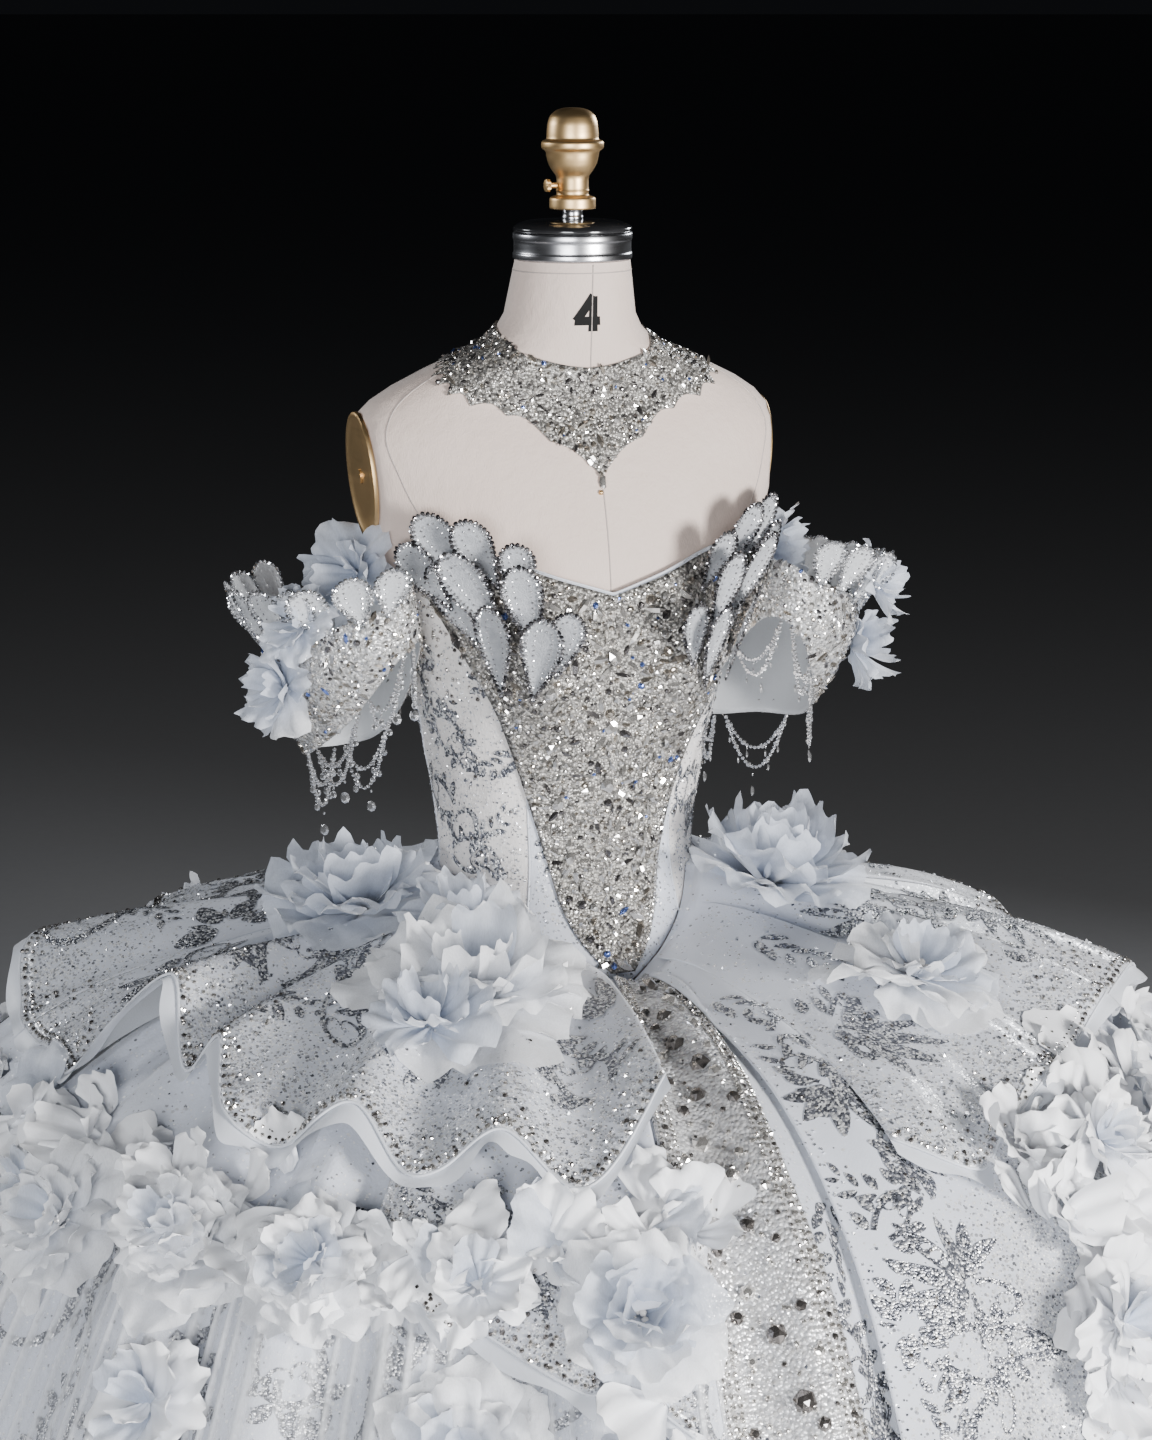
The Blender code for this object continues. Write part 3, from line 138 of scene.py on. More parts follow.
# The form's level sections from the hip to the root of the neck.
FORM = Table(
    ("height", "half_width", "front", "back"),
    (
        (0.800, 0.160, 0.098, 0.112),
        (0.870, 0.163, 0.100, 0.116),
        (0.950, 0.143, 0.092, 0.104),
        (1.050, 0.102, 0.082, 0.083),
        (1.120, 0.110, 0.088, 0.086),
        (1.200, 0.122, 0.100, 0.094),
        (1.270, 0.140, 0.106, 0.100),
        (1.330, 0.170, 0.100, 0.104),
        (1.385, 0.186, 0.084, 0.098),
        (1.425, 0.182, 0.068, 0.086),
        (1.448, 0.158, 0.058, 0.076),
        (1.468, 0.118, 0.054, 0.068),
        (1.490, 0.068, 0.052, 0.058),
        (1.510, 0.0535, 0.0500, 0.0530),
    ),
)
# The skirt's meridian, from the waist seam to the hem.
SKIRT = Table(
    ("run", "radius", "height", "gather"),
    (
        (0.000, 0.108, 1.050, 0.0004),
        (0.070, 0.178, 1.041, 0.0020),
        (0.145, 0.252, 1.020, 0.0045),
        (0.305, 0.400, 0.962, 0.0080),
        (0.436, 0.503, 0.880, 0.0110),
        (0.589, 0.585, 0.752, 0.0140),
        (0.813, 0.682, 0.550, 0.0170),
        (1.090, 0.800, 0.300, 0.0200),
        (1.410, 0.920, 0.004, 0.0230),
    ),
)
# The bodice's top edge, by the angle from the front in degrees.
NECKLINE = Table(
    ("angle", "height"),
    (
        (0, 1.296),
        (14, 1.309),
        (32, 1.326),
        (52, 1.322),
        (75, 1.298),
        (105, 1.268),
        (140, 1.245),
        (180, 1.235),
    ),
)
# The jewelled plastron's half-angle in degrees, by its height.
PLASTRON = Table(
    ("height", "half_angle"),
    (
        (0.985, 2.5),
        (1.005, 10.0),
        (1.030, 17.0),
        (1.075, 25.0),
        (1.130, 33.0),
        (1.200, 45.0),
        (1.260, 56.0),
        (1.320, 62.0),
    ),
)
# The beaded collar's lower and upper edges on the form, by angle in degrees.
COLLAR = Table(
    ("angle", "low", "high"),
    (
        (0, 1.386, 1.470),
        (9, 1.408, 1.472),
        (20, 1.430, 1.476),
        (38, 1.444, 1.482),
        (65, 1.461, 1.492),
        (100, 1.473, 1.500),
        (140, 1.466, 1.502),
        (180, 1.458, 1.504),
    ),
)
# A tier's hem: each row is a crest or a trough of a flute, with how far down the skirt it reaches, how high
# it stands off the skirt, and how far it swings sideways in degrees.
PEPLUM_RIGHT = Table(
    ("angle", "reach", "lift", "swing"),
    (
        (-180, 0.33, 0.016, 0),
        (-170, 0.35, 0.028, 2),
        (-158, 0.32, 0.015, -2),
        (-146, 0.34, 0.030, 2),
        (-134, 0.31, 0.015, -2),
        (-122, 0.30, 0.032, 0),
        (-111, 0.32, 0.062, 0),
        (-100, 0.35, 0.026, 0),
        (-90, 0.34, 0.016, 0),
        (-80, 0.335, 0.015, -1),
        (-72, 0.26, 0.060, 0),
        (-65, 0.31, 0.020, 1),
        (-59, 0.29, 0.042, -1),
        (-53, 0.35, 0.034, 0),
        (-47, 0.36, 0.017, 0),
        (-40, 0.33, 0.042, 0),
        (-34, 0.37, 0.017, 0),
        (-26, 0.34, 0.046, 0),
        (-19, 0.375, 0.018, 0),
        (-10, 0.28, 0.036, 0),
    ),
)
PEPLUM_LEFT = Table(
    ("angle", "reach", "lift", "swing"),
    (
        (11, 0.36, 0.020, -1),
        (15, 0.40, 0.030, 0),
        (22, 0.38, 0.017, 0),
        (30, 0.36, 0.044, 0),
        (40, 0.35, 0.017, 1),
        (50, 0.34, 0.048, 0),
        (60, 0.35, 0.017, 0),
        (70, 0.36, 0.046, -1),
        (79, 0.39, 0.036, 0),
        (90, 0.36, 0.016, 1),
        (102, 0.36, 0.038, 0),
        (115, 0.32, 0.015, 1),
        (128, 0.34, 0.030, -2),
        (141, 0.32, 0.017, 2),
        (154, 0.34, 0.029, -2),
        (167, 0.32, 0.018, 2),
        (180, 0.34, 0.026, 0),
    ),
)
SHORT_TIER = Table(
    ("angle", "reach", "lift", "swing"),
    (
        (-36, 0.42, 0.020, 0),
        (-31, 0.48, 0.038, 2),
        (-26, 0.47, 0.019, -2),
        (-21, 0.52, 0.040, 2),
        (-16, 0.50, 0.019, -2),
        (-12, 0.55, 0.036, 0),
    ),
)
OVERSKIRT = Table(
    ("angle", "reach", "lift", "swing"),
    (
        (3, 0.90, 0.030, 0),
        (8, 0.78, 0.044, 1),
        (14, 0.64, 0.028, -1),
        (20, 0.58, 0.046, 2),
        (27, 0.50, 0.028, -2),
        (36, 0.46, 0.040, 0),
    ),
)
# The beaded strip down the skirt's centre front.
STRIP = Table(
    ("run", "angle", "half_width"),
    (
        (0.012, 0.0, 0.010),
        (0.080, -1.5, 0.022),
        (0.200, -4.5, 0.034),
        (0.340, -6.0, 0.042),
        (0.480, -5.0, 0.046),
        (0.800, -3.5, 0.054),
        (1.405, -3.0, 0.062),
    ),
)
# A sleeve band round the arm, wearer's right: turn is 0 at the outside, 90 in front, 180 beside the body.
SLEEVE = Table(
    ("turn", "top_x", "top_y", "top_z", "low_x", "low_y", "low_z"),
    (
        (0, -0.262, 0.002, 1.262, -0.226, 0.004, 1.158),
        (45, -0.242, -0.062, 1.270, -0.208, -0.054, 1.196),
        (90, -0.190, -0.098, 1.294, -0.178, -0.086, 1.248),
        (135, -0.164, -0.078, 1.308, -0.153, -0.068, 1.258),
        (180, -0.162, 0.004, 1.292, -0.144, 0.006, 1.196),
        (225, -0.166, 0.072, 1.290, -0.150, 0.062, 1.156),
        (270, -0.192, 0.092, 1.284, -0.176, 0.078, 1.146),
        (315, -0.240, 0.064, 1.270, -0.206, 0.056, 1.150),
    ),
    period=360,
)
# Bead swags under a sleeve: the turns of their two ends, how deep they sag, and how long their drop is.
SWAGS = (
    (12, 52, 0.042, 0.020),
    (62, 98, 0.038, 0.016),
    (112, 158, 0.034, 0.014),
    (210, 268, 0.044, 0.020),
    (282, 342, 0.046, 0.022),
)


def around(radius_x: Array | float, radius_y: Array | float, angle: Array, height: Array | float) -> Array:
    """Points at these angles from the front, towards the wearer's left."""
    return np.stack(np.broadcast_arrays(radius_x * np.sin(angle), -radius_y * np.cos(angle), height), axis=-1)


def eased(value: Array | float) -> Array:
    """A smooth step from 0 to 1."""
    value = np.clip(value, 0, 1)
    return value * value * (3 - 2 * value)


def unit(vectors: Array) -> Array:
    """These vectors at length 1."""
    return vectors / np.maximum(np.linalg.norm(vectors, axis=-1, keepdims=True), 1e-12)


def soft_highest(first: Array, second: Array, softness: float = 0.004) -> Array:
    """The higher of two heights, rounded off where they cross."""
    apart = first - second
    return 0.5 * (first + second + np.sqrt(apart * apart + softness * softness))


def basque(angle: Array | float) -> Array:
    """How much of the front point is felt at this angle, from 1 in front to 0 at the side."""
    turn = (np.asarray(angle) + math.pi) % (2 * math.pi) - math.pi
    return np.clip(1 - np.abs(turn) / BASQUE_HALF_ANGLE, 0, 1)


def form_point(angle: Array, height: Array, ease: float | Array = 0.0, clip_armhole: bool = True) -> Array:
    """A point of the form at this angle and height, moved out by ease."""
    angle, height = np.broadcast_arrays(np.asarray(angle, float), np.asarray(height, float))
    half_width = FORM.read("half_width", height) + ease
    depth = np.where(np.cos(angle) > 0, FORM.read("front", height), FORM.read("back", height)) + ease
    point = around(half_width, depth, angle, height)
    side = (np.abs(point[..., 0]) - BUST_SIDE) / 0.040
    level = (height - BUST_HEIGHT) / 0.052
    point[..., 1] -= BUST_REACH * np.exp(-(side**2) - level**2) * (np.cos(angle) > 0)
    point[..., 1] -= NECK_LEAN * np.clip(height - 1.44, 0, None)
    if clip_armhole:
        plane = SHOULDER_PLANE + ease + SHOULDER_PLANE_LEAN * (height - SHOULDER_PLANE_HEIGHT)
        point[..., 0] = np.clip(point[..., 0], -plane, plane)
    return point


def waist_seam(angle: Array) -> tuple[Array, Array, Array]:
    """(radius x, radius y, height) of the seam between bodice and skirt."""
    front = basque(angle)
    reach = BASQUE_REACH * front**1.3
    return WAIST_HALF_WIDTH + reach, WAIST_HALF_DEPTH + reach, WAIST_HEIGHT - BASQUE_DROP * front


def back_sag(angle: Array, run: Array) -> Array:
    """How far the skirt's top sinks at this angle and run."""
    turn = np.abs((angle + math.pi) % (2 * math.pi) - math.pi)
    beside = eased((turn - BACK_SAG_FROM) / (BACK_SAG_FULL - BACK_SAG_FROM))
    return BACK_SAG * beside * eased(run / 0.11) * (1 - eased((run - 0.35) / 0.5))


def skirt_point(angle: Array, run: Array, lift: Array | float = 0.0) -> Array:
    """A point over the skirt's smooth form, lift above it."""
    angle, run = np.broadcast_arrays(np.asarray(angle, float), np.asarray(run, float))
    fade = np.clip(1 - run / BASQUE_BLEND_RUN, 0, 1) ** 2
    seam_x, seam_y, _ = waist_seam(angle)
    radius, height = SKIRT.read("radius", run), SKIRT.read("height", run)
    step = 0.004
    rise_r = SKIRT.read("radius", run + step) - SKIRT.read("radius", run - step)
    rise_h = SKIRT.read("height", run + step) - SKIRT.read("height", run - step)
    length = np.hypot(rise_r, rise_h)
    out, up = -rise_h / length * lift, rise_r / length * lift
    return around(
        radius + (seam_x - WAIST_HALF_WIDTH) * fade + out,
        radius + (seam_y - WAIST_HALF_WIDTH) * fade + out,
        angle,
        height - BASQUE_DROP * basque(angle) * fade - back_sag(angle, run) + up,
    )


def fold_phase(angle: Array) -> Array:
    """The phase of the uneven gathers at this angle."""
    return FOLD_COUNT * angle + 0.9 * np.sin(3 * angle + 0.7) + 0.6 * np.sin(5 * angle + 2.1)


def gather_lift(angle: Array, run: Array) -> Array:
    """Height of the skirt's gathers over its smooth form."""
    uneven = 0.78 + 0.22 * np.sin(7 * angle + 1.3)
    return SKIRT.read("gather", run) * uneven * (1 + np.cos(fold_phase(angle)))


def bodice_point(angle: Array, share: Array, lift: Array | float = 0.0) -> Array:
    """A point of the bodice's outer face; share runs from 0 at the seam to 1 at the neckline."""
    angle, share = np.broadcast_arrays(np.asarray(angle, float), np.asarray(share, float))
    seam_x, seam_y, seam_z = waist_seam(angle)
    top = NECKLINE.read("height", np.degrees(np.abs(angle)))
    low = seam_z + CLOTH + 2 * SEAM
    height = low + (top - low) * share
    point = form_point(angle, height, FORM_EASE + lift, clip_armhole=False)
    seam = around(seam_x + lift, seam_y + lift, angle, height)
    above = (height - seam_z) / BASQUE_BLEND_HEIGHT
    hold = np.clip(1 - above, 0, 1)[..., None] ** 2
    return point * (1 - hold) + seam * hold


def sleeve_point(turn: Array, share: Array, lift: Array | float = 0.0) -> Array:
    """A point of the right sleeve's outer face: turn in degrees, share 0 at the lower edge, 1 at the top."""
    turn, share, lift = np.broadcast_arrays(*(np.asarray(value, float) for value in (turn, share, lift)))
    top = np.stack([SLEEVE.read("top_" + axis, turn % 360) for axis in "xyz"], axis=-1)
    low = np.stack([SLEEVE.read("low_" + axis, turn % 360) for axis in "xyz"], axis=-1)
    radians = np.radians(turn)
    out = np.stack([-np.cos(radians), -np.sin(radians), np.zeros_like(radians)], axis=-1)
    free = np.clip(np.cos(radians) + 0.55, 0, 1)[..., None]
    swell = SLEEVE_BULGE * np.sin(math.pi * share)[..., None] * free
    return low * (1 - share[..., None]) + top * share[..., None] + out * (swell + lift[..., None])


# Finishes ---------------------------------------------------------------------------------------------


class Wire:
    """A shader socket that can be added, multiplied and compared like a number."""

    def __init__(self, dye: Dye, socket: bpy.types.NodeSocket) -> None:
        """Wrap an output socket of this dye's node tree."""
        self.dye = dye
        self.socket = socket

    def _math(self, operation: str, first: Wire | float, second: Wire | float) -> Wire:
        """A Math node's result."""
        return self.dye.add("ShaderNodeMath", {"operation": operation}, {0: first, 1: second})

    def __add__(self, other: Wire | float) -> Wire:
        """self + other."""
        return self._math("ADD", self, other)

    __radd__ = __add__

    def __sub__(self, other: Wire | float) -> Wire:
        """self - other."""
        return self._math("SUBTRACT", self, other)

    def __rsub__(self, other: float) -> Wire:
        """other - self."""
        return self._math("SUBTRACT", other, self)

    def __mul__(self, other: Wire | float) -> Wire:
        """self * other."""
        return self._math("MULTIPLY", self, other)

    __rmul__ = __mul__

    def __gt__(self, other: Wire | float) -> Wire:
        """1 where self is over other, and 0 elsewhere."""
        return self._math("GREATER_THAN", self, other)

    def __lt__(self, other: Wire | float) -> Wire:
        """1 where self is under other, and 0 elsewhere."""
        return self._math("LESS_THAN", self, other)


class Dye:
    """The node tree of one material, written as expressions."""

    def __init__(self, name: str) -> None:
        """Start a material of this name with one Principled shader."""
        self.material = bpy.data.materials.new(name)
        self.material.use_nodes = True
        self.tree = self.material.node_tree
        self.shader = self.tree.nodes["Principled BSDF"]

    def put(self, socket: bpy.types.NodeSocket, value: object) -> None:
        """Link a wire to a socket, or set the socket's own value."""
        if isinstance(value, Wire):
            self.tree.links.new(value.socket, socket)
        elif isinstance(value, tuple) and len(value) == 3 and socket.type == "RGBA":
            socket.default_value = (*value, 1.0)
        else:
            socket.default_value = value

    def add(self, kind: str, settings: dict | None = None, inputs: dict | None = None, output: int | str = 0) -> Wire:
        """Add any node.

        Args:
            kind: The node's type.
            settings: Its own settings; "stops" gives a ramp's (place, colour) pairs.
            inputs: The values or wires of its sockets, by name or number.
            output: The output to return.

        Returns:
            The wire of that output.
        """
        node = self.tree.nodes.new(kind)
        for name, value in (settings or {}).items():
            if name == "stops":
                ramp = node.color_ramp.elements
                while len(ramp) < len(value):
                    ramp.new(0.5)
                for element, (place, colour) in zip(ramp, value):
                    element.position = place
                    element.color = (*colour, 1.0)
            else:
                setattr(node, name, value)
        for name, value in (inputs or {}).items():
            self.put(node.inputs[name], value)
        return Wire(self, node.outputs[output])

    def place(self) -> Wire:
        """Coordinates in the object's own metres."""
        return self.add("ShaderNodeTexCoord", output="Object")

    def noise(self, scale: float, detail: float = 2.0, stretch: tuple[float, float, float] = (1, 1, 1)) -> Wire:
        """Smooth noise from 0 to 1 with this many waves to the metre, squeezed along each axis by stretch."""
        at = self.add("ShaderNodeVectorMath", {"operation": "MULTIPLY"}, {0: self.place(), 1: stretch})
        return self.add("ShaderNodeTexNoise", {}, {"Vector": at, "Scale": scale, "Detail": detail})

    def attribute(self, name: str) -> Wire:
        """A number that the mesh carries."""
        return self.add("ShaderNodeAttribute", {"attribute_name": name}, output="Fac")

    def cells(self, pitch: float) -> tuple[Wire, Wire, Wire]:
        """Cells of this pitch in metres: the distance from each cell's middle, and two random numbers of its own."""
        at = {"Vector": self.place(), "Scale": 1 / pitch}
        far = self.add("ShaderNodeTexVoronoi", {"feature": "F1"}, at)
        own = self.add("ShaderNodeTexVoronoi", {"feature": "F1"}, at, output="Color")
        parts = [self.add("ShaderNodeSeparateColor", {}, {"Color": own}, output=k) for k in (0, 1)]
        return far, parts[0], parts[1]

    def mix(self, share: Wire | float, first: object, second: object) -> Wire:
        """A colour between two, by share."""
        return self.add("ShaderNodeMix", {"data_type": "RGBA"}, {0: share, 6: first, 7: second}, output=2)

    def ramp(self, share: Wire, *stops: tuple[float, tuple[float, float, float]]) -> Wire:
        """A colour read from stops."""
        return self.add("ShaderNodeValToRGB", {"stops": stops}, {"Fac": share})

    def bump(self, height: Wire, strength: float, depth: float) -> None:
        """Feed a bump of this depth in metres to the shader's normal."""
        found = self.add("ShaderNodeBump", {}, {"Strength": strength, "Distance": depth, "Height": height})
        self.put(self.shader.inputs["Normal"], found)

    def fill(self, **values: object) -> bpy.types.Material:
        """Set the shader's sockets, with _ for a space in their names, and return the material."""
        for name, value in values.items():
            self.put(self.shader.inputs[name.replace("_", " ")], value)
        return self.material


class Finish:
    """A finish that makes its material once."""

    def dye(self, name: str) -> bpy.types.Material:
        """Make the material; each finish has its own way."""
        raise NotImplementedError

    def material(self, name: str) -> bpy.types.Material:
        """The material of this name, made on first use."""
        return bpy.data.materials.get(name) or self.dye(name)


@dataclass(frozen=True)
class Cloth(Finish):
    """Woven cloth: satin, organza, tulle or net."""

    light: tuple[float, float, float]
    shade: tuple[float, float, float]
    roughness: float = 0.5
    sheen: float = 0.3
    mottle: float = 9.0  # waves of colour to the metre
    weave: float = 900.0  # threads to the metre
    weave_depth: float = 0.0002
    alpha: float = 1.0
    glitter: bool = False  # where the mesh's own shade says how thick it lies
    folds: float = 0.0  # how much more opaque it is where the mesh's own shade is 1
    slub: tuple[float, float, float] = (1.0, 1.0, 0.25)
    # root: the colour towards the petals' roots, darker and bluer; partly the flowers' own blue hearts and partly
    # painted shade where the petals gather.
    root: tuple[float, float, float] | None = None  # the colour where the mesh's own shade is 1

    def dye(self, name: str) -> bpy.types.Material:
        """Cloth with soft uneven colour and a fine weave."""
        dye = Dye(name)
        cloudy = dye.noise(self.mottle, 4.0)
        thread = dye.noise(self.weave, 1.0, self.slub)
        crumple = dye.noise(self.mottle * 5, 3.0)
        colour = dye.mix(cloudy, self.shade, self.light)
        # Partly painted shade: towards each petal's root the colour goes to the root colour, darker where the petals
        # gather.
        if self.root:
            colour = dye.mix(dye.attribute("shade") * (cloudy * 0.9 + 0.5), colour, self.root)
        dye.bump(thread * 0.35 + crumple, 0.5, self.weave_depth * 3)
        rough, metal = thread * 0.16 + (self.roughness - 0.08), 0.0
        if self.glitter:
            share = dye.attribute("shade") * (dye.noise(70.0, 2.0) * 1.6 + 0.2)
            colour = dye.mix(share * 0.62, colour, (0.42, 0.43, 0.46))
            height = thread * 0.35 + crumple
            for pitch in (0.0032, 0.0021):
                far, own, bright = dye.cells(pitch)
                flake = (share > own) * (far < 0.44)
                tone = dye.ramp(bright, (0.0, (0.13, 0.135, 0.15)), (0.28, (0.52, 0.53, 0.57)), (0.60, (1.0, 1.0, 1.0)))
                colour = dye.mix(flake, colour, tone)
                rough, metal = rough - flake * 0.10, flake * 0.35 if isinstance(metal, float) else metal + flake * 0.2
                height = height + flake * bright * 2.0
            dye.bump(height, 0.6, self.weave_depth * 3)
        material = dye.fill(
            Base_Color=colour, Roughness=rough, Metallic=metal, Sheen_Weight=self.sheen, Sheen_Roughness=0.4
        )
        if self.alpha < 1.0:
            dye.fill(Alpha=thread * 0.25 + dye.attribute("shade") * self.folds + (self.alpha - 0.12))
        return material


@dataclass(frozen=True)
class Stone(Finish):
    """Foiled glass stones; each carries a shade from 0, dark, to 1, bright."""

    dark: tuple[float, float, float] = (0.10, 0.10, 0.12)
    warm: tuple[float, float, float] = (0.58, 0.52, 0.44)
    bright: tuple[float, float, float] = (0.99, 0.955, 0.905)
    roughness: float = 0.05
    glow: tuple[float, float, float] = (0.20, 0.30, 0.75)

    def dye(self, name: str) -> bpy.types.Material:
        """Bright, smoky and a few iridescent stones by the shade that each carries."""
        dye = Dye(name)
        shade = dye.attribute("shade")
        colour = dye.ramp(
            shade,
            (0.0, self.dark),
            (0.24, self.warm),
            (0.52, self.bright),
            (0.93, self.bright),
            (0.96, self.glow),
        )
        grain = dye.noise(500.0, 2.0)
        return dye.fill(
            Base_Color=colour,
            Metallic=0.88,
            Roughness=grain * 0.10 + self.roughness,
            Coat_Weight=0.6,
            Coat_Roughness=0.03,
        )


@dataclass(frozen=True)
class BeadBed(Finish):
    """A bed of tiny sewn beads, too small to model one by one."""

    # dark is the darkest beads' colour and also the painted shade in the gaps between the beads.
    dark: tuple[float, float, float] = (0.30, 0.29, 0.275)
    light: tuple[float, float, float] = (0.93, 0.92, 0.89)
    pitch: float = 0.0022

    def dye(self, name: str) -> bpy.types.Material:
        """Round beads side by side, each with its own brightness and each darkened towards its edge as painted shade
        between the beads.
        """
        dye = Dye(name)
        far, bright, _ = dye.cells(self.pitch)
        dye.bump(1.0 - far, 1.0, self.pitch * 0.5)
        tone = dye.ramp(bright, (0.0, self.dark), (0.35, (0.52, 0.50, 0.47)), (0.8, self.light))
        # Painted shade: each bead's colour goes to dark towards its edge, for the shade between the beads.
        return dye.fill(Base_Color=dye.mix(far * 1.1, tone, self.dark), Metallic=0.35, Roughness=bright * 0.2 + 0.15)


@dataclass(frozen=True)
class Print(Finish):
    """Glitter printed in a motif: small flakes side by side, with gaps where some are missing."""

    pitch: float = 0.0019

    def dye(self, name: str) -> bpy.types.Material:
        """Smoky, silver and white flakes."""
        dye = Dye(name)
        far, _, bright = dye.cells(self.pitch)
        tone = dye.ramp(bright, (0.0, (0.07, 0.075, 0.09)), (0.50, (0.25, 0.26, 0.30)), (0.88, (1.0, 1.0, 1.0)))
        dye.bump(bright - far, 1.0, self.pitch * 0.5)
        return dye.fill(Base_Color=tone, Metallic=0.5, Roughness=bright * 0.2 + 0.15)


@dataclass(frozen=True)
class Metal(Finish):
    """Turned metal with fine tooling marks."""

    light: tuple[float, float, float]
    dark: tuple[float, float, float]
    roughness: float

    def dye(self, name: str) -> bpy.types.Material:
        """Metal whose colour deepens in uneven bands and whose gloss is marked by turning."""
        dye = Dye(name)
        bands = dye.noise(60.0, 3.0, (0.2, 0.2, 6.0))
        wear = dye.noise(25.0, 4.0)
        dye.bump(bands, 0.25, 0.0002)
        colour = dye.mix(wear * 0.8, self.light, self.dark)
        return dye.fill(Base_Color=colour, Metallic=1.0, Roughness=wear * 0.14 + bands * 0.08 + self.roughness)


@dataclass(frozen=True)
class Gloss(Finish):
    """Smooth lacquer, pearl or paint."""

    colour: tuple[float, float, float]
    second: tuple[float, float, float]
    roughness: float = 0.2
    coat: float = 0.5
    metallic: float = 0.0

    def dye(self, name: str) -> bpy.types.Material:
        """Lacquer with faint marks."""
        dye = Dye(name)
        marks = dye.noise(40.0, 5.0)
        dye.bump(dye.noise(300.0, 2.0), 0.1, 0.0001)
        return dye.fill(
            Base_Color=dye.mix(marks, self.colour, self.second),
            Roughness=marks * 0.15 + self.roughness,
            Metallic=self.metallic,
            Coat_Weight=self.coat,
            Coat_Roughness=0.08,
        )


@dataclass(frozen=True)
class Flake(Finish):
    """Glitter flakes, from smoky to white."""

    dark: tuple[float, float, float] = (0.16, 0.17, 0.20)
    silver: tuple[float, float, float] = (0.62, 0.64, 0.69)
    white: tuple[float, float, float] = (0.97, 0.98, 1.0)

    def dye(self, name: str) -> bpy.types.Material:
        """Flakes whose colour follows the shade that each carries."""
        dye = Dye(name)
        colour = dye.ramp(
            dye.attribute("shade"), (0.0, self.dark), (0.30, self.silver), (0.60, self.white)
        )
        return dye.fill(Base_Color=colour, Metallic=0.75, Roughness=dye.noise(700.0) * 0.2 + 0.15)


class Look(Enum):
    """The finishes of this gown, its form and the studio."""

    SATIN = Cloth((0.80, 0.825, 0.90), (0.69, 0.725, 0.81), 0.36, 0.25, glitter=True)
    # The lining's grey is painted shade: it is darker than the satin so that the insides of the tiers' flutes and of
    # the sleeve bands look shaded.
    LINING = Cloth((0.62, 0.635, 0.655), (0.48, 0.495, 0.515), 0.55, 0.3, mottle=14.0, weave_depth=0.0004)
    TULLE = Cloth((0.75, 0.78, 0.85), (0.64, 0.67, 0.755), 0.6, 0.4, weave=500.0, weave_depth=0.0005, glitter=True)
    VEIL = Cloth((0.95, 0.96, 0.985), (0.90, 0.92, 0.955), 0.6, 0.6, weave=420.0, alpha=0.14, folds=0.72)
    NUDE_NET = Cloth((0.93, 0.90, 0.88), (0.85, 0.80, 0.765), 0.6, 0.35, weave=650.0, weave_depth=0.0005, glitter=True)
    # Its near-black dark colour is painted shade in the gaps between the stones, as well as the darkest beads.
    STONE_GROUND = BeadBed((0.10, 0.095, 0.09), (0.80, 0.77, 0.71), 0.0024)
    STRIP_GROUND = BeadBed((0.64, 0.64, 0.66), (1.0, 1.0, 1.0), 0.0034)
    # The root colours darken each petal towards its root. On WHITE_ORGANZA and BLUE_ORGANZA this is partly the flowers'
    # blue hearts and partly painted shade where the petals gather. On TUFT, the loose puffs, it is painted shade.
    WHITE_ORGANZA = Cloth(
        (0.99, 0.99, 1.0), (0.93, 0.945, 0.98), 0.5, 0.8, mottle=30.0, alpha=0.70, folds=0.4, root=(0.74, 0.78, 0.86)
    )
    TUFT = Cloth((0.99, 0.99, 1.0), (0.95, 0.96, 0.99), 0.5, 0.9, mottle=30.0, root=(0.80, 0.83, 0.90))
    LACE = Cloth((0.60, 0.615, 0.645), (0.30, 0.315, 0.345), 0.5, 0.5, mottle=160.0, weave=300.0, weave_depth=0.0009)
    BLUE_ORGANZA = Cloth(
        (0.80, 0.83, 0.90), (0.60, 0.65, 0.745), 0.5, 0.7, mottle=30.0, alpha=0.66, folds=0.4, root=(0.34, 0.395, 0.51)
    )
    SHEER_ORGANZA = Cloth((0.85, 0.87, 0.89), (0.70, 0.72, 0.75), 0.5, 0.5, mottle=30.0, alpha=0.62)
    THREAD = Cloth((0.76, 0.785, 0.84), (0.62, 0.645, 0.70), 0.4, 0.5)
    LINEN = Cloth((0.745, 0.62, 0.55), (0.69, 0.555, 0.485), 0.85, 0.25, mottle=22.0, weave=1100.0, weave_depth=0.0006)
    SEAM_SHADE = Cloth((0.50, 0.44, 0.41), (0.44, 0.38, 0.35), 0.9, 0.1)
    STONES = Stone()
    SMOKY = Stone((0.05, 0.05, 0.06), (0.20, 0.19, 0.19), (0.50, 0.49, 0.50))
    CLEAR = Stone((0.35, 0.36, 0.38), (0.75, 0.75, 0.76), (0.97, 0.97, 0.98))
    PRINT = Print()
    SLEEVE_BEADS = BeadBed((0.50, 0.50, 0.50), (0.98, 0.98, 0.98), 0.0030)
    GLITTER = Flake()
    PEARL = Gloss((0.86, 0.82, 0.76), (0.92, 0.90, 0.87), 0.18, 0.8)
    BRASS = Metal((0.86, 0.60, 0.31), (0.62, 0.41, 0.19), 0.30)
    STEEL = Metal((0.62, 0.62, 0.64), (0.44, 0.44, 0.46), 0.16)
    BLACK = Gloss((0.012, 0.012, 0.013), (0.03, 0.03, 0.032), 0.10, 0.9)
    INK = Gloss((0.004, 0.004, 0.004), (0.008, 0.008, 0.008), 0.9, 0.0)
    FLOOR = Gloss((0.40, 0.40, 0.41), (0.44, 0.44, 0.45), 0.75, 0.0)

    @property
    def material(self) -> bpy.types.Material:
        """The look's material."""
        return self.value.material(self.name.lower())


# Meshes -----------------------------------------------------------------------------------------------


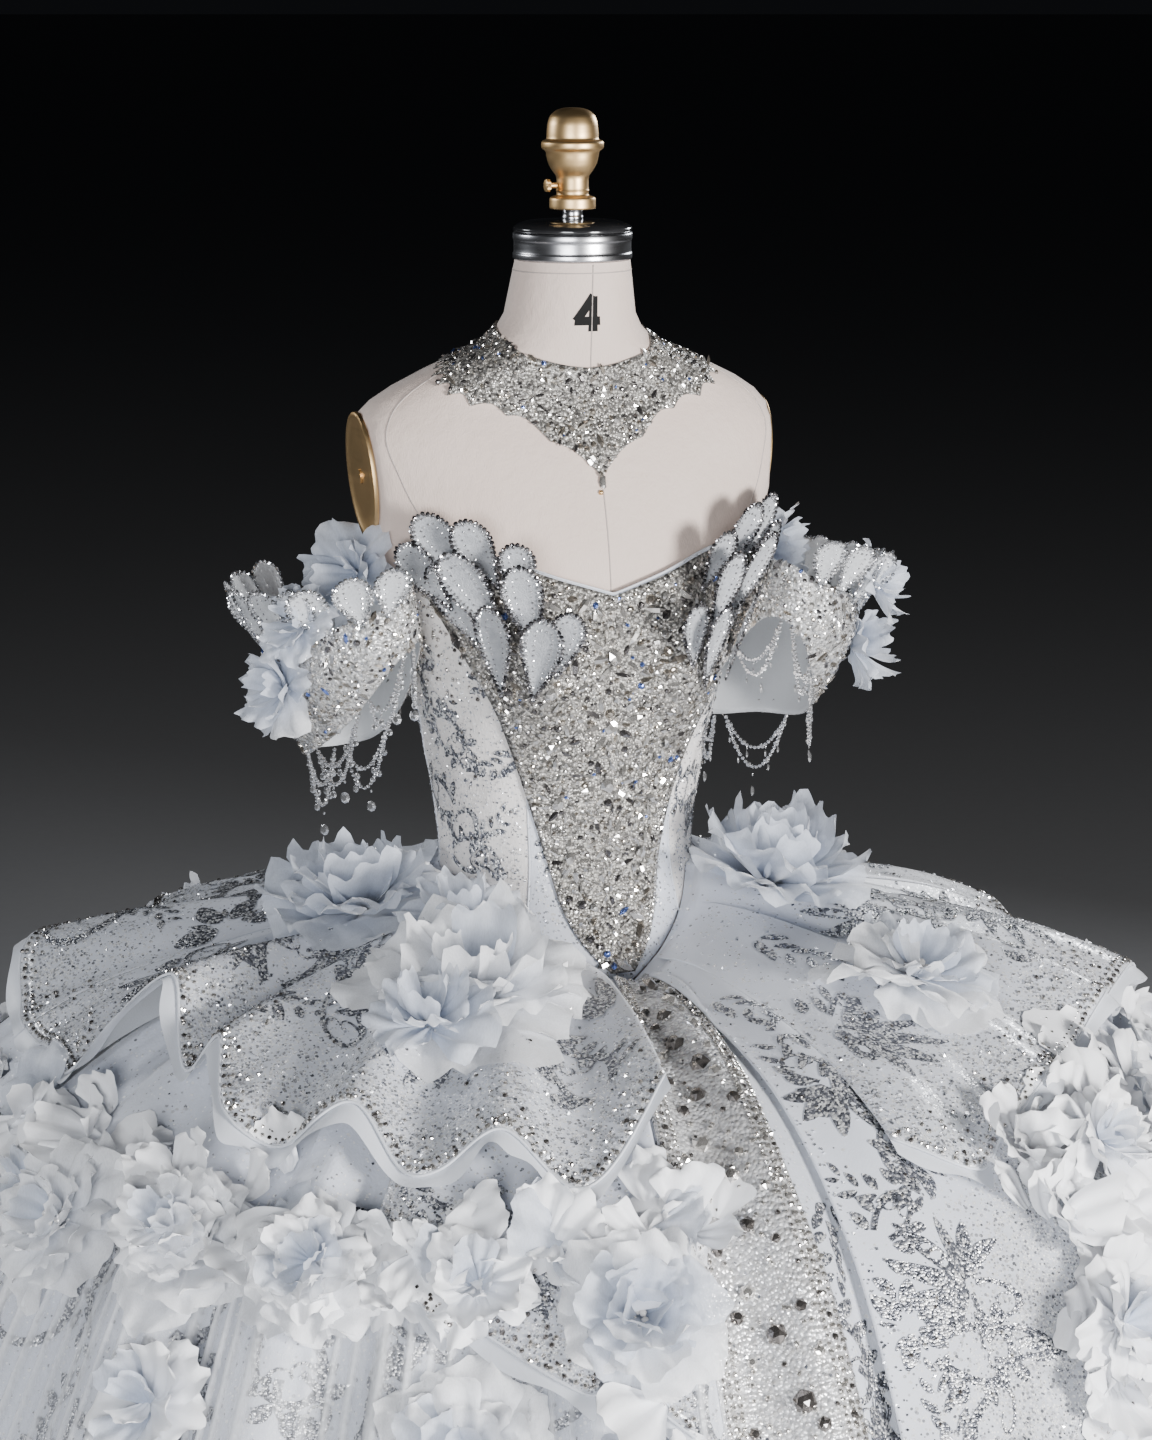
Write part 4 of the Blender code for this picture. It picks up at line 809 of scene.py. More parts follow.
@dataclass
class Net:
    """Points and faces that are being gathered into one mesh."""

    points: list[Array] = field(default_factory=list)
    faces: list[Array] = field(default_factory=list)
    looks: list[Array] = field(default_factory=list)
    shades: list[Array] = field(default_factory=list)
    count: int = 0

    def add(self, points: Array, faces: Array, look: int = 0, shade: Array | float = 0.5) -> None:
        """Gather some faces of three or four sides.

        Args:
            points: Their points.
            faces: Indices into these points, a row for each face.
            look: Which of the mesh's looks they wear.
            shade: A number for each point, or one for all.
        """
        points = np.asarray(points, dtype=np.float32).reshape(-1, 3)
        faces = np.asarray(faces, dtype=np.int32)
        self.points.append(points)
        self.faces.append(faces + self.count)
        self.looks.append(np.full(len(faces), look, dtype=np.int32))
        self.shades.append(np.broadcast_to(np.asarray(shade, dtype=np.float32), (len(points),)))
        self.count += len(points)

    def build(self, name: str, *looks: Look, smooth: bool = True) -> bpy.types.Object:
        """Make the mesh object.

        Args:
            name: Its name.
            looks: The looks that its faces wear, in order.
            smooth: Whether its faces are shaded smooth.

        Returns:
            The object, at the origin of the scene.
        """
        mesh = bpy.data.meshes.new(name)
        points = np.concatenate(self.points)
        loops = np.concatenate([faces.reshape(-1) for faces in self.faces])
        sides = np.concatenate([np.full(len(faces), faces.shape[1], dtype=np.int32) for faces in self.faces])
        starts = np.concatenate([[0], np.cumsum(sides)[:-1]]).astype(np.int32)
        mesh.vertices.add(len(points))
        mesh.vertices.foreach_set("co", points.reshape(-1))
        mesh.loops.add(len(loops))
        mesh.loops.foreach_set("vertex_index", loops.astype(np.int32))
        mesh.polygons.add(len(sides))
        mesh.polygons.foreach_set("loop_start", starts)
        mesh.polygons.foreach_set("material_index", np.concatenate(self.looks))
        mesh.update(calc_edges=True)
        mesh.attributes.new("shade", "FLOAT", "POINT").data.foreach_set("value", np.concatenate(self.shades))
        for look in looks:
            mesh.materials.append(look.material)
        if smooth:
            mesh.shade_smooth()
        else:
            mesh.shade_flat()
        thing = bpy.data.objects.new(name, mesh)
        bpy.context.scene.collection.objects.link(thing)
        return thing


def grid_quads(rows: int, columns: int, wrap: bool = False) -> Array:
    """The faces of a grid of points, row by row."""
    row = np.arange(rows - 1)[:, None]
    column = np.arange(columns if wrap else columns - 1)[None, :]
    after = (column + 1) % columns
    here, beside = row * columns + column, row * columns + after
    return np.stack([here, beside, beside + columns, here + columns], axis=-1).reshape(-1, 4)


def grid_normals(grid: Array, side: float, wrap: bool = False) -> Array:
    """Unit normals of a grid; side is +1 where its rows run up, -1 where they run down."""
    along = np.roll(grid, -1, axis=1) - np.roll(grid, 1, axis=1) if wrap else np.gradient(grid, axis=1)
    return unit(side * np.cross(along, np.gradient(grid, axis=0)))


def add_sheet(net: Net, grid: Array, wrap: bool = False, look: int = 0, shade: Array | float = 0.0) -> None:
    """Gather a sheet of one layer."""
    net.add(grid, grid_quads(*grid.shape[:2], wrap), look, np.broadcast_to(shade, grid.shape[:2]).ravel())


def add_shell(
    net: Net,
    grid: Array,
    side: float,
    thickness: float,
    wrap: bool = False,
    lining: int = 0,
    shade: Array | float = 0.0,
) -> None:
    """Gather a closed shell: a grid's points, the same points moved in, and the rims between.

    Args:
        net: Where the faces go.
        grid: The outer points.
        side: +1 where the rows run up, -1 where they run down.
        thickness: How far in the inner points lie.
        wrap: Whether the columns close to a ring.
        lining: The look of the inner faces.
        shade: How thick glitter lies at each outer point.
    """
    rows, columns = grid.shape[:2]
    shades = np.zeros((2, rows * columns))
    shades[0] = np.broadcast_to(shade, (rows, columns)).ravel()
    inner = grid - thickness * grid_normals(grid, side, wrap)
    quads = grid_quads(rows, columns, wrap)
    count = rows * columns
    points = np.concatenate([grid.reshape(-1, 3), inner.reshape(-1, 3)])
    net.add(points, quads if side > 0 else quads[:, ::-1], shade=shades.ravel())
    start = net.count - 2 * count
    net.faces.append((quads[:, ::-1] if side > 0 else quads) + count + start)
    net.looks.append(np.full(len(quads), lining, dtype=np.int32))
    top, low = np.arange(columns), np.arange((rows - 1) * columns, count)
    if wrap:
        edges = [np.append(top, 0), np.append(low, low[0])[::-1]]
    else:
        left, right = np.arange(rows) * columns, np.arange(rows) * columns + columns - 1
        edges = [top, right, low[::-1], left[::-1]]
    for edge in edges:
        here, after = edge[:-1], edge[1:]
        rim = np.stack([after, here, here + count, after + count], axis=-1) + start
        net.faces.append(rim if side > 0 else rim[:, ::-1])
        net.looks.append(np.zeros(len(rim), dtype=np.int32))


class Patch:
    """A fine grid of cloth that is read anywhere: u from 0 to 1 across its columns, v along its rows."""

    def __init__(self, grid: Array, side: float) -> None:
        """Keep the grid and its normals; side is as for grid_normals."""
        self.grid = grid
        self.normals = grid_normals(grid, side)
        rows, columns = grid.shape[:2]
        self.across = np.linalg.norm(np.gradient(grid, axis=1), axis=2) * (columns - 1)
        self.down = np.linalg.norm(np.gradient(grid, axis=0), axis=2) * (rows - 1)

    def _read(self, values: Array, u: Array, v: Array) -> Array:
        """Values of the grid's points between the points."""
        rows, columns = self.grid.shape[:2]
        x, y = np.clip(u, 0, 1) * (columns - 1), np.clip(v, 0, 1) * (rows - 1)
        column, row = np.minimum(x.astype(int), columns - 2), np.minimum(y.astype(int), rows - 2)
        p, q = x - column, y - row
        if values.ndim == 3:
            p, q = p[:, None], q[:, None]
        top = values[row, column] * (1 - p) + values[row, column + 1] * p
        low = values[row + 1, column] * (1 - p) + values[row + 1, column + 1] * p
        return top * (1 - q) + low * q

    def at(self, u: Array, v: Array) -> tuple[Array, Array]:
        """Points and unit normals at these places."""
        u, v = np.asarray(u, float), np.asarray(v, float)
        return self._read(self.grid, u, v), unit(self._read(self.normals, u, v))

    def size(self, u: Array, v: Array) -> tuple[Array, Array]:
        """Metres to a unit of u, and to a unit of v, at these places."""
        u, v = np.asarray(u, float), np.asarray(v, float)
        return self._read(self.across, u, v), self._read(self.down, u, v)

    def spread(self, rng: np.random.Generator, count: int) -> tuple[Array, Array]:
        """This many places, even over the cloth's area."""
        u, v = rng.random(count * 3), rng.random(count * 3)
        area = np.prod(self.size(u, v), axis=0)
        kept = np.flatnonzero(rng.random(count * 3) < area / area.max())[:count]
        return u[kept], v[kept]

    def find(self, point: Array) -> tuple[float, float]:
        """Which u and v lie nearest to a point."""
        rows, columns = self.grid.shape[:2]
        near = int(np.linalg.norm(self.grid - point, axis=2).argmin())
        return (near % columns) / (columns - 1), (near // columns) / (rows - 1)


def facing(normals: Array, turns: Array, tilt: Array | None = None) -> Array:
    """Three axes for each place: x and y in the surface, turned, and z along its normal.

    Args:
        normals: The surface's unit normals.
        turns: How far each is turned about its normal.
        tilt: A vector added to each normal, for stones that are not set level.

    Returns:
        An array of 3 by 3 axes, a row for each axis.
    """
    normal = unit(normals if tilt is None else normals + tilt)
    guide = np.where(np.abs(normal[:, 2:3]) < 0.9, np.array([[0.0, 0.0, 1.0]]), np.array([[0.0, 1.0, 0.0]]))
    first = unit(np.cross(guide, normal))
    second = np.cross(normal, first)
    cosine, sine = np.cos(turns)[:, None], np.sin(turns)[:, None]
    return np.stack([first * cosine + second * sine, second * cosine - first * sine, normal], axis=1)


def add_copies(
    net: Net, shape: tuple[Array, Array], places: Array, axes: Array, sizes: Array, shades: Array, look: int = 0
) -> None:
    """Gather a copy of a small shape at each place.

    Args:
        net: Where the copies go.
        shape: The shape's points and faces.
        places: Where each copy stands.
        axes: Each copy's three axes.
        sizes: Each copy's size along its axes.
        shades: Each copy's shade.
        look: Which look they wear.
    """
    if not len(places):
        return
    points, faces = shape
    moved = places[:, None, :] + np.einsum("pk,nk,nkj->npj", points, sizes, axes)
    count = len(points)
    joined = (faces[None] + (np.arange(len(places)) * count)[:, None, None]).reshape(-1, faces.shape[1])
    net.add(moved, joined, look, np.repeat(shades, count))


def ring_points(sides: int, radius: float, height: float, turn: float = 0.0) -> Array:
    """Points of a level ring."""
    angle = np.arange(sides) * 2 * math.pi / sides + turn
    return np.stack([radius * np.cos(angle), radius * np.sin(angle), np.full(sides, height)], axis=1)


def cut_stone(sides: int = 6, back: bool = False) -> tuple[Array, Array]:
    """A faceted stone of unit width: girdle, bevels and table, and a back where it hangs free."""
    points = np.vstack([ring_points(sides, 0.5, 0.0), ring_points(sides, 0.27, 0.30, math.pi / sides)])
    points = np.vstack([points, [[0, 0, 0.33], [0, 0, -0.25]]])
    top, low = 2 * sides, 2 * sides + 1
    faces = []
    for k in range(sides):
        after = (k + 1) % sides
        faces += [(k, after, sides + k), (after, sides + after, sides + k), (sides + k, sides + after, top)]
        if back:
            faces.append((after, k, low))
    return points[: 2 * sides + 1 + back], np.array(faces)


def bead_shape(sides: int = 6) -> tuple[Array, Array]:
    """A round bead of unit width."""
    points = np.vstack([ring_points(sides, 0.40, -0.28), ring_points(sides, 0.5, 0.0), ring_points(sides, 0.40, 0.28)])
    points = np.vstack([points, [[0, 0, -0.48], [0, 0, 0.48]]])
    faces = []
    for k in range(sides):
        after = (k + 1) % sides
        for level in (0, sides):
            faces += [(level + k, level + after, level + sides + after), (level + k, level + sides + after, level + sides + k)]
        faces += [(after, k, 3 * sides), (2 * sides + k, 2 * sides + after, 3 * sides + 1)]
    return points, np.array(faces)


FLAKE = (
    np.array([(0.55, 0.05, 0.0), (0.02, 0.48, 0.05), (-0.52, -0.03, 0.0), (0.03, -0.50, 0.05)]),
    np.array([(0, 1, 2, 3)]),
)
STONE = cut_stone()
MARQUISE = (
    np.array([(-0.5, 0, 0), (-0.2, -0.42, 0), (0.2, -0.42, 0), (0.5, 0, 0), (0.2, 0.42, 0), (-0.2, 0.42, 0),
              (-0.16, 0, 0.36), (0.16, 0, 0.36)]),
    np.array([(0, 1, 6), (1, 2, 7), (1, 7, 6), (2, 3, 7), (3, 4, 7), (4, 5, 6), (4, 6, 7), (5, 0, 6)]),
)
FINE_STONE = cut_stone(8)
DROP = cut_stone(8, back=True)
BEAD = bead_shape()


def tube(path: Array, radius: Array | float, sides: int = 8, closed: bool = False) -> tuple[Array, Array]:
    """Points and faces of a round cord along a path; its ends are closed by small fans.

    Args:
        path: The middle of the cord.
        radius: Its radius, one for all or one for each point.
        sides: How many sides it has.
        closed: Whether the path is a ring.

    Returns:
        Points and four-sided faces.
    """
    along = unit(np.roll(path, -1, axis=0) - np.roll(path, 1, axis=0) if closed else np.gradient(path, axis=0))
    guide = np.array([0.0, 0.0, 1.0]) if abs(along[:, 2]).mean() < 0.7 else np.array([1.0, 0.0, 0.0])
    first = unit(np.cross(along, guide))
    second = np.cross(along, first)
    angle = np.arange(sides) * 2 * math.pi / sides
    ring = first[:, None] * np.cos(angle)[None, :, None] + second[:, None] * np.sin(angle)[None, :, None]
    radii = np.broadcast_to(np.asarray(radius, float), (len(path),)).copy()
    grid = path[:, None] + ring * radii[:, None, None]
    if closed:
        grid = np.concatenate([grid, grid[:1]], axis=0)
    else:
        ends = (path[:1, None] + ring[:1] * 1e-5, path[-1:, None] + ring[-1:] * 1e-5)
        grid = np.concatenate([ends[0], grid, ends[1]], axis=0)
    return grid.reshape(-1, 3), grid_quads(grid.shape[0], sides, wrap=True)


def settle(piece: bpy.types.Object, slot: str, *nodes: str) -> bpy.types.Object:
    """Fasten a piece to the part's one body and hide the solids that it stands for."""
    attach(piece, "root")
    if nodes:
        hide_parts(*nodes)
    LOG.info("%s: %d faces", piece.name, len(piece.data.polygons))
    return piece


# Stones and glitter -----------------------------------------------------------------------------------


class Motif(Enum):
    """The generic embroidered motifs."""

    SCROLL = "scroll"
    LEAF = "leaf"
    ROSETTE = "rosette"
    SPRAY = "spray"


Ribbon = tuple[Array, Array]  # a flat path, and half its width along it


def leaf(root: Sequence[float], heading: float, length: float, width: float, bend: float = 0.7) -> Ribbon:
    """A bent leaf from its root."""
    t = np.linspace(0, 1, 8)
    turn = heading + bend * t
    path = np.cumsum(np.stack([np.cos(turn), np.sin(turn)], 1), axis=0) * length / 8
    return np.asarray(root, float) + path, 0.5 * width * np.sin(math.pi * (0.05 + 0.92 * t)) ** 0.8


def curl(root: Sequence[float], heading: float, radius: float, side: int = 1) -> Ribbon:
    """A stem that runs out and rolls up."""
    t = np.linspace(0, 1, 22)
    turn = heading + side * 7.2 * t**1.5
    step = radius * 0.30 * (1 - 0.72 * t)
    path = np.cumsum(np.stack([np.cos(turn), np.sin(turn)], 1) * step[:, None], axis=0)
    return np.asarray(root, float) + path, radius * 0.105 * (1.12 - t)


def motif_ribbons(kind: Motif, rng: np.random.Generator) -> list[Ribbon]:
    """The ribbons of a motif of unit width about its middle.

    Args:
        kind: Which motif.
        rng: What makes each one a little different.

    Returns:
        Its ribbons.
    """
    found: list[Ribbon] = []
    if kind is Motif.SCROLL:
        for side in (-1, 1):
            found.append(curl((-0.42, 0.0), side * 0.75, 0.34, -side))
            found.append(curl((0.02, 0.04 * side), side * 0.55, 0.24, -side))
            for k in range(4):
                place = (-0.30 + 0.17 * k, side * (0.10 + 0.05 * (k % 2)))
                found.append(leaf(place, side * (1.25 - 0.12 * k), 0.28 - 0.02 * k, 0.11, side * rng.uniform(0.4, 1.0)))
        found.append(leaf((0.30, 0.0), 0.0, 0.30, 0.16, rng.uniform(-0.3, 0.3)))
    elif kind is Motif.LEAF:
        found.append(curl((-0.50, 0.0), 0.25, 0.40, 1))
        for k in range(6):
            place = (-0.42 + 0.15 * k, 0.05 * math.sin(1.3 * k))
            for side in (-1, 1):
                size = (0.27 - 0.022 * k) * rng.uniform(0.85, 1.1)
                found.append(leaf(place, side * 0.95, size, 0.36 * size, -side * rng.uniform(0.3, 0.9)))
    elif kind is Motif.ROSETTE:
        for k in range(6):
            turn = k * math.pi / 3 + 0.2 * rng.random()
            found.append(leaf((0.05 * math.cos(turn), 0.05 * math.sin(turn)), turn, 0.42, 0.19, 0.25))
            found.append(leaf((0.12 * math.cos(turn + 0.5), 0.12 * math.sin(turn + 0.5)), turn + 0.5, 0.20, 0.06, 0.1))
    else:
        for k in range(7):
            turn = -1.2 + 0.4 * k
            size = 0.72 - 0.09 * abs(k - 3)
            found.append(leaf((-0.38, 0.0), turn, size, 0.14, 0.35 * (k - 3) / 3))
        found.append(curl((-0.36, 0.0), 2.4, 0.22, 1))
        found.append(curl((-0.36, 0.0), -2.4, 0.22, -1))
    return found


class Embroidery:
    """Glitter and small stones sewn over one panel."""

    def __init__(self, patch: Patch, seed: int) -> None:
        """Start on a panel with its own seed."""
        self.patch = patch
        self.rng = np.random.default_rng(seed)
        self.net = Net()

    def flakes(self, u: Array, v: Array, size: float = 0.0021, dark: float = 0.16, lift: float = 0.0006) -> None:
        """Strew flakes at these places.

        Args:
            u: Places across the panel.
            v: Places down the panel.
            size: The flakes' usual width.
            dark: The share of smoky ones.
            lift: How far off the cloth they lie.
        """
        inside = (u > 0.001) & (u < 0.999) & (v > 0.001) & (v < 0.999)
        u, v = u[inside], v[inside]
        places, normals = self.patch.at(u, v)
        count = len(places)
        tilt = self.rng.normal(0, 0.45, (count, 3))
        axes = facing(normals, self.rng.random(count) * 6.28, tilt)
        sizes = np.repeat(size * self.rng.uniform(0.6, 1.35, (count, 1)), 3, axis=1)
        shades = np.where(self.rng.random(count) < dark, 0.05, self.rng.uniform(0.3, 1.0, count))
        add_copies(self.net, FLAKE, places + normals * lift, axes, sizes, shades)

    def stones(self, u: Array, v: Array, size: float, dark: float = 0.3, lift: float = 0.0006) -> None:
        """Set small round stones at these places, this share of them smoky."""
        places, normals = self.patch.at(u, v)
        count = len(places)
        axes = facing(normals, self.rng.random(count) * 6.28, self.rng.normal(0, 0.12, (count, 3)))
        sizes = np.repeat(size * self.rng.uniform(0.8, 1.2, (count, 1)), 3, axis=1)
        shades = np.where(self.rng.random(count) < dark, 0.08, self.rng.uniform(0.4, 0.9, count))
        add_copies(self.net, STONE, places + normals * lift, axes, sizes, shades, look=1)

    def motif(self, kind: Motif, u: float, v: float, size: float, turn: float = 0.0, stones: int = 7) -> None:
        """Print a motif, with a few stones in it.

        Args:
            kind: Which motif.
            u: Its middle across the panel.
            v: Its middle down the panel.
            size: Its width in metres.
            turn: How far it is turned.
            stones: How many stones it has.
        """
        step = 0.004
        (here, beyond, below), _ = self.patch.at(u + step * np.array([0, 1, 0]), v + step * np.array([0, 0, 1]))
        right, low = (beyond - here) / step, (below - here) / step
        wide = np.linalg.norm(right)
        slant = np.dot(low, right) / wide
        tall = math.sqrt(max(float(np.dot(low, low)) - slant**2, 1e-9))
        cosine, sine = size * math.cos(turn), size * math.sin(turn)
        # from the motif's own plane to u and v
        spin = np.array([[cosine, sine], [-sine, cosine]]) @ np.array([[1 / wide, 0.0], [-slant / (wide * tall), 1 / tall]])
        middles = []
        for path, half in motif_ribbons(kind, self.rng):
            along = unit(np.gradient(path, axis=0))
            beside = np.stack([-along[:, 1], along[:, 0]], 1) * half[:, None]
            flat = np.stack([path + beside, path - beside], axis=1) @ spin + [u, v]
            places, normals = self.patch.at(flat[..., 0].ravel(), flat[..., 1].ravel())
            points = (places + normals * 0.0007).reshape(-1, 2, 3)
            inside = (np.abs(flat[..., 0] - 0.5) < 0.495) & (flat[..., 1] > 0.01) & (flat[..., 1] < 0.985)
            if inside.all():
                self.net.add(points, grid_quads(len(path), 2), look=2)
                middles.append(path[len(path) // 2] @ spin + [u, v])
        if middles:
            some = np.array(middles)[self.rng.permutation(len(middles))[:stones]]
            self.stones(some[:, 0], some[:, 1], 0.0032, dark=0.4, lift=0.0009)

    def motif_at(self, kind: Motif, degrees: float, run: float, size: float, turn: float, stones: int = 7) -> None:
        """Print a motif where the skirt has this angle and run."""
        self.motif(kind, *self.patch.find(skirt_point(math.radians(degrees), run, 0.02)), size, turn, stones)

    def strew(self, count: int, density: Callable[[Array, Array], Array], size: float = 0.0021) -> None:
        """Strew flakes as thick as a function of (u, v) says, from 0 to 1."""
        u, v = self.patch.spread(self.rng, count)
        kept = self.rng.random(len(u)) < density(u, v)
        self.flakes(u[kept], v[kept], size)

    def stud(self, count: int, density: Callable[[Array, Array], Array], size: float, dark: float = 0.3) -> None:
        """Set stones as thick as a function of (u, v) says, none touching."""
        u, v = self.patch.spread(self.rng, count)
        kept = self.rng.random(len(u)) < density(u, v)
        u, v = u[kept], v[kept]
        places, _ = self.patch.at(u, v)
        taken: dict[tuple[int, int, int], None] = {}
        chosen = []
        for k, cell in enumerate(map(tuple, np.floor(places / (2.0 * size)).astype(int))):
            if cell not in taken:
                taken[cell] = None
                chosen.append(k)
        self.stones(u[chosen], v[chosen], size, dark)

    def make(self, name: str, slot: str) -> bpy.types.Object:
        """Make the joined mesh of all that was sewn on."""
        return settle(self.net.build(name, Look.GLITTER, Look.STONES, Look.PRINT, smooth=False), slot)


def hem_density(patch: Patch, depth: float, sides: float = 0.0, speckle: float = 0.03) -> Callable[[Array, Array], Array]:
    """How thick glitter lies: thickest at the hem, thinning over a depth in metres.

    Args:
        patch: The panel.
        depth: How far from the hem it thins out.
        sides: How far it thins from the two side edges, or 0 for none.
        speckle: What is left far from the edges.

    Returns:
        A function of places across and down the panel.
    """

    def density(u: Array, v: Array) -> Array:
        """Thickness of the glitter at these places."""
        across, down = patch.size(u, v)
        cloud = 0.55 + 0.45 * np.sin(u * across * 90) * np.sin(v * down * 70 + u * 9)
        from_hem = (1 - v) * down
        found = np.exp(-((from_hem / depth) ** 2)) * (0.55 + 0.45 * cloud) + speckle * cloud
        if sides:
            from_side = np.minimum(u, 1 - u) * across
            found = np.maximum(found, 0.8 * np.exp(-((from_side / sides) ** 2)))
        return found

    return density


# The skirt and its tiers -------------------------------------------------------------------------------


class Ground:
    """What lies over the skirt's smooth form so far, as a height above it."""

    def __init__(self) -> None:
        """Start with the gathered gores."""
        self.covers: list[Callable[[Array, Array], Array]] = [lambda angle, run: gather_lift(angle, run) + CLOTH]

    def top(self, angle: Array, run: Array) -> Array:
        """The highest cloth at these places."""
        return np.max([cover(angle, run) for cover in self.covers], axis=0)


def declare(
    piece: bpy.types.Object, cut: tuple[float, float], held: str, rests_on: Sequence[str], layers: int, *extras: object
) -> None:
    """Work out a piece of cloth's area per layer, held between a share of the size it was cut to and that whole size;
    nothing is kept.

    Args:
        piece: The cloth.
        cut: The width and length of the flat piece it was cut from.
        held: How it is held; not used.
        rests_on: What it lies on or hangs from; not used.
        layers: 2 for a closed shell, 1 for one layer.
        extras: Separate pieces that are sewn to it; not used.
    """
    area = sum(face.area for face in piece.data.polygons) / layers
    whole = cut[0] * cut[1]
    min(max(area, 0.31 * whole), whole)


@dataclass
class Skirt:
    """The eight gathered gores, with fine pleats between the main folds."""

    columns: int = 60
    rows: int = 66
    length: float = 1.41
    pleat: float = 0.0016

    def grid(self, first: float, last: float) -> Array:
        """Points of a gore between two fold numbers."""
        dense = np.linspace(-math.pi, math.pi, 20001)
        phase = fold_phase(dense)
        angle = np.interp(phase[0] + 2 * math.pi * np.linspace(first, last, self.columns), phase, dense)[None, :]
        run = self.length * np.linspace(0, 1, self.rows)[:, None] ** 1.1
        fine = self.pleat * eased(run / 0.5) * np.sin(3 * fold_phase(angle) + 5 * np.sin(angle * 9) + run * 4)
        points = skirt_point(angle, run, gather_lift(angle, run) + CLOTH + fine)
        points[-1, :, 2] = HEM_HEIGHT
        return points

    def build(self) -> None:
        """Make the gores, and glitter on those that show."""
        words = ("back_right", "side_back_right", "side_front_right", "front_right")
        words += ("front_left", "side_front_left", "side_back_left", "back_left")
        each = FOLD_COUNT / GORE_COUNT
        for gore, word in enumerate(words):
            grid = self.grid(gore * each, (gore + 1) * each)
            net = Net()
            share = np.linspace(0, 1, self.rows)[:, None]
            add_sheet(net, grid, shade=0.05 + 0.10 * share + 0.25 * share**8)
            piece = settle(net.build("gore_" + word, Look.TULLE), "skirt_tulle", "skirt_gore_" + word)
            front = "front" in word
            top = "bodice_front" if front else "bodice_" + word.replace("side_", "")
            declare(piece, (1.05, 1.46), "gathered", [top, "stand_base"], 1)
            sewn = Embroidery(Patch(grid, -1), 300 + gore)
            sewn.strew(5000 if front else 2000, hem_density(sewn.patch, 0.10, speckle=0.30), 0.0024)
            vines, steps = (5, 11) if front else (3, 8)
            for column in range(vines):
                for k in range(steps):
                    kind = (Motif.LEAF, Motif.SCROLL)[(k + column) % 2]
                    place = (column + 0.5 + 0.08 * (-1) ** k) / vines, 0.34 + 0.64 / steps * k + 0.02 * (column % 3)
                    sewn.motif(kind, *place, 0.105, 1.57 + 0.45 * (-1) ** k, 2)
            sewn.make("gore_glitter_" + word, "skirt_tulle")


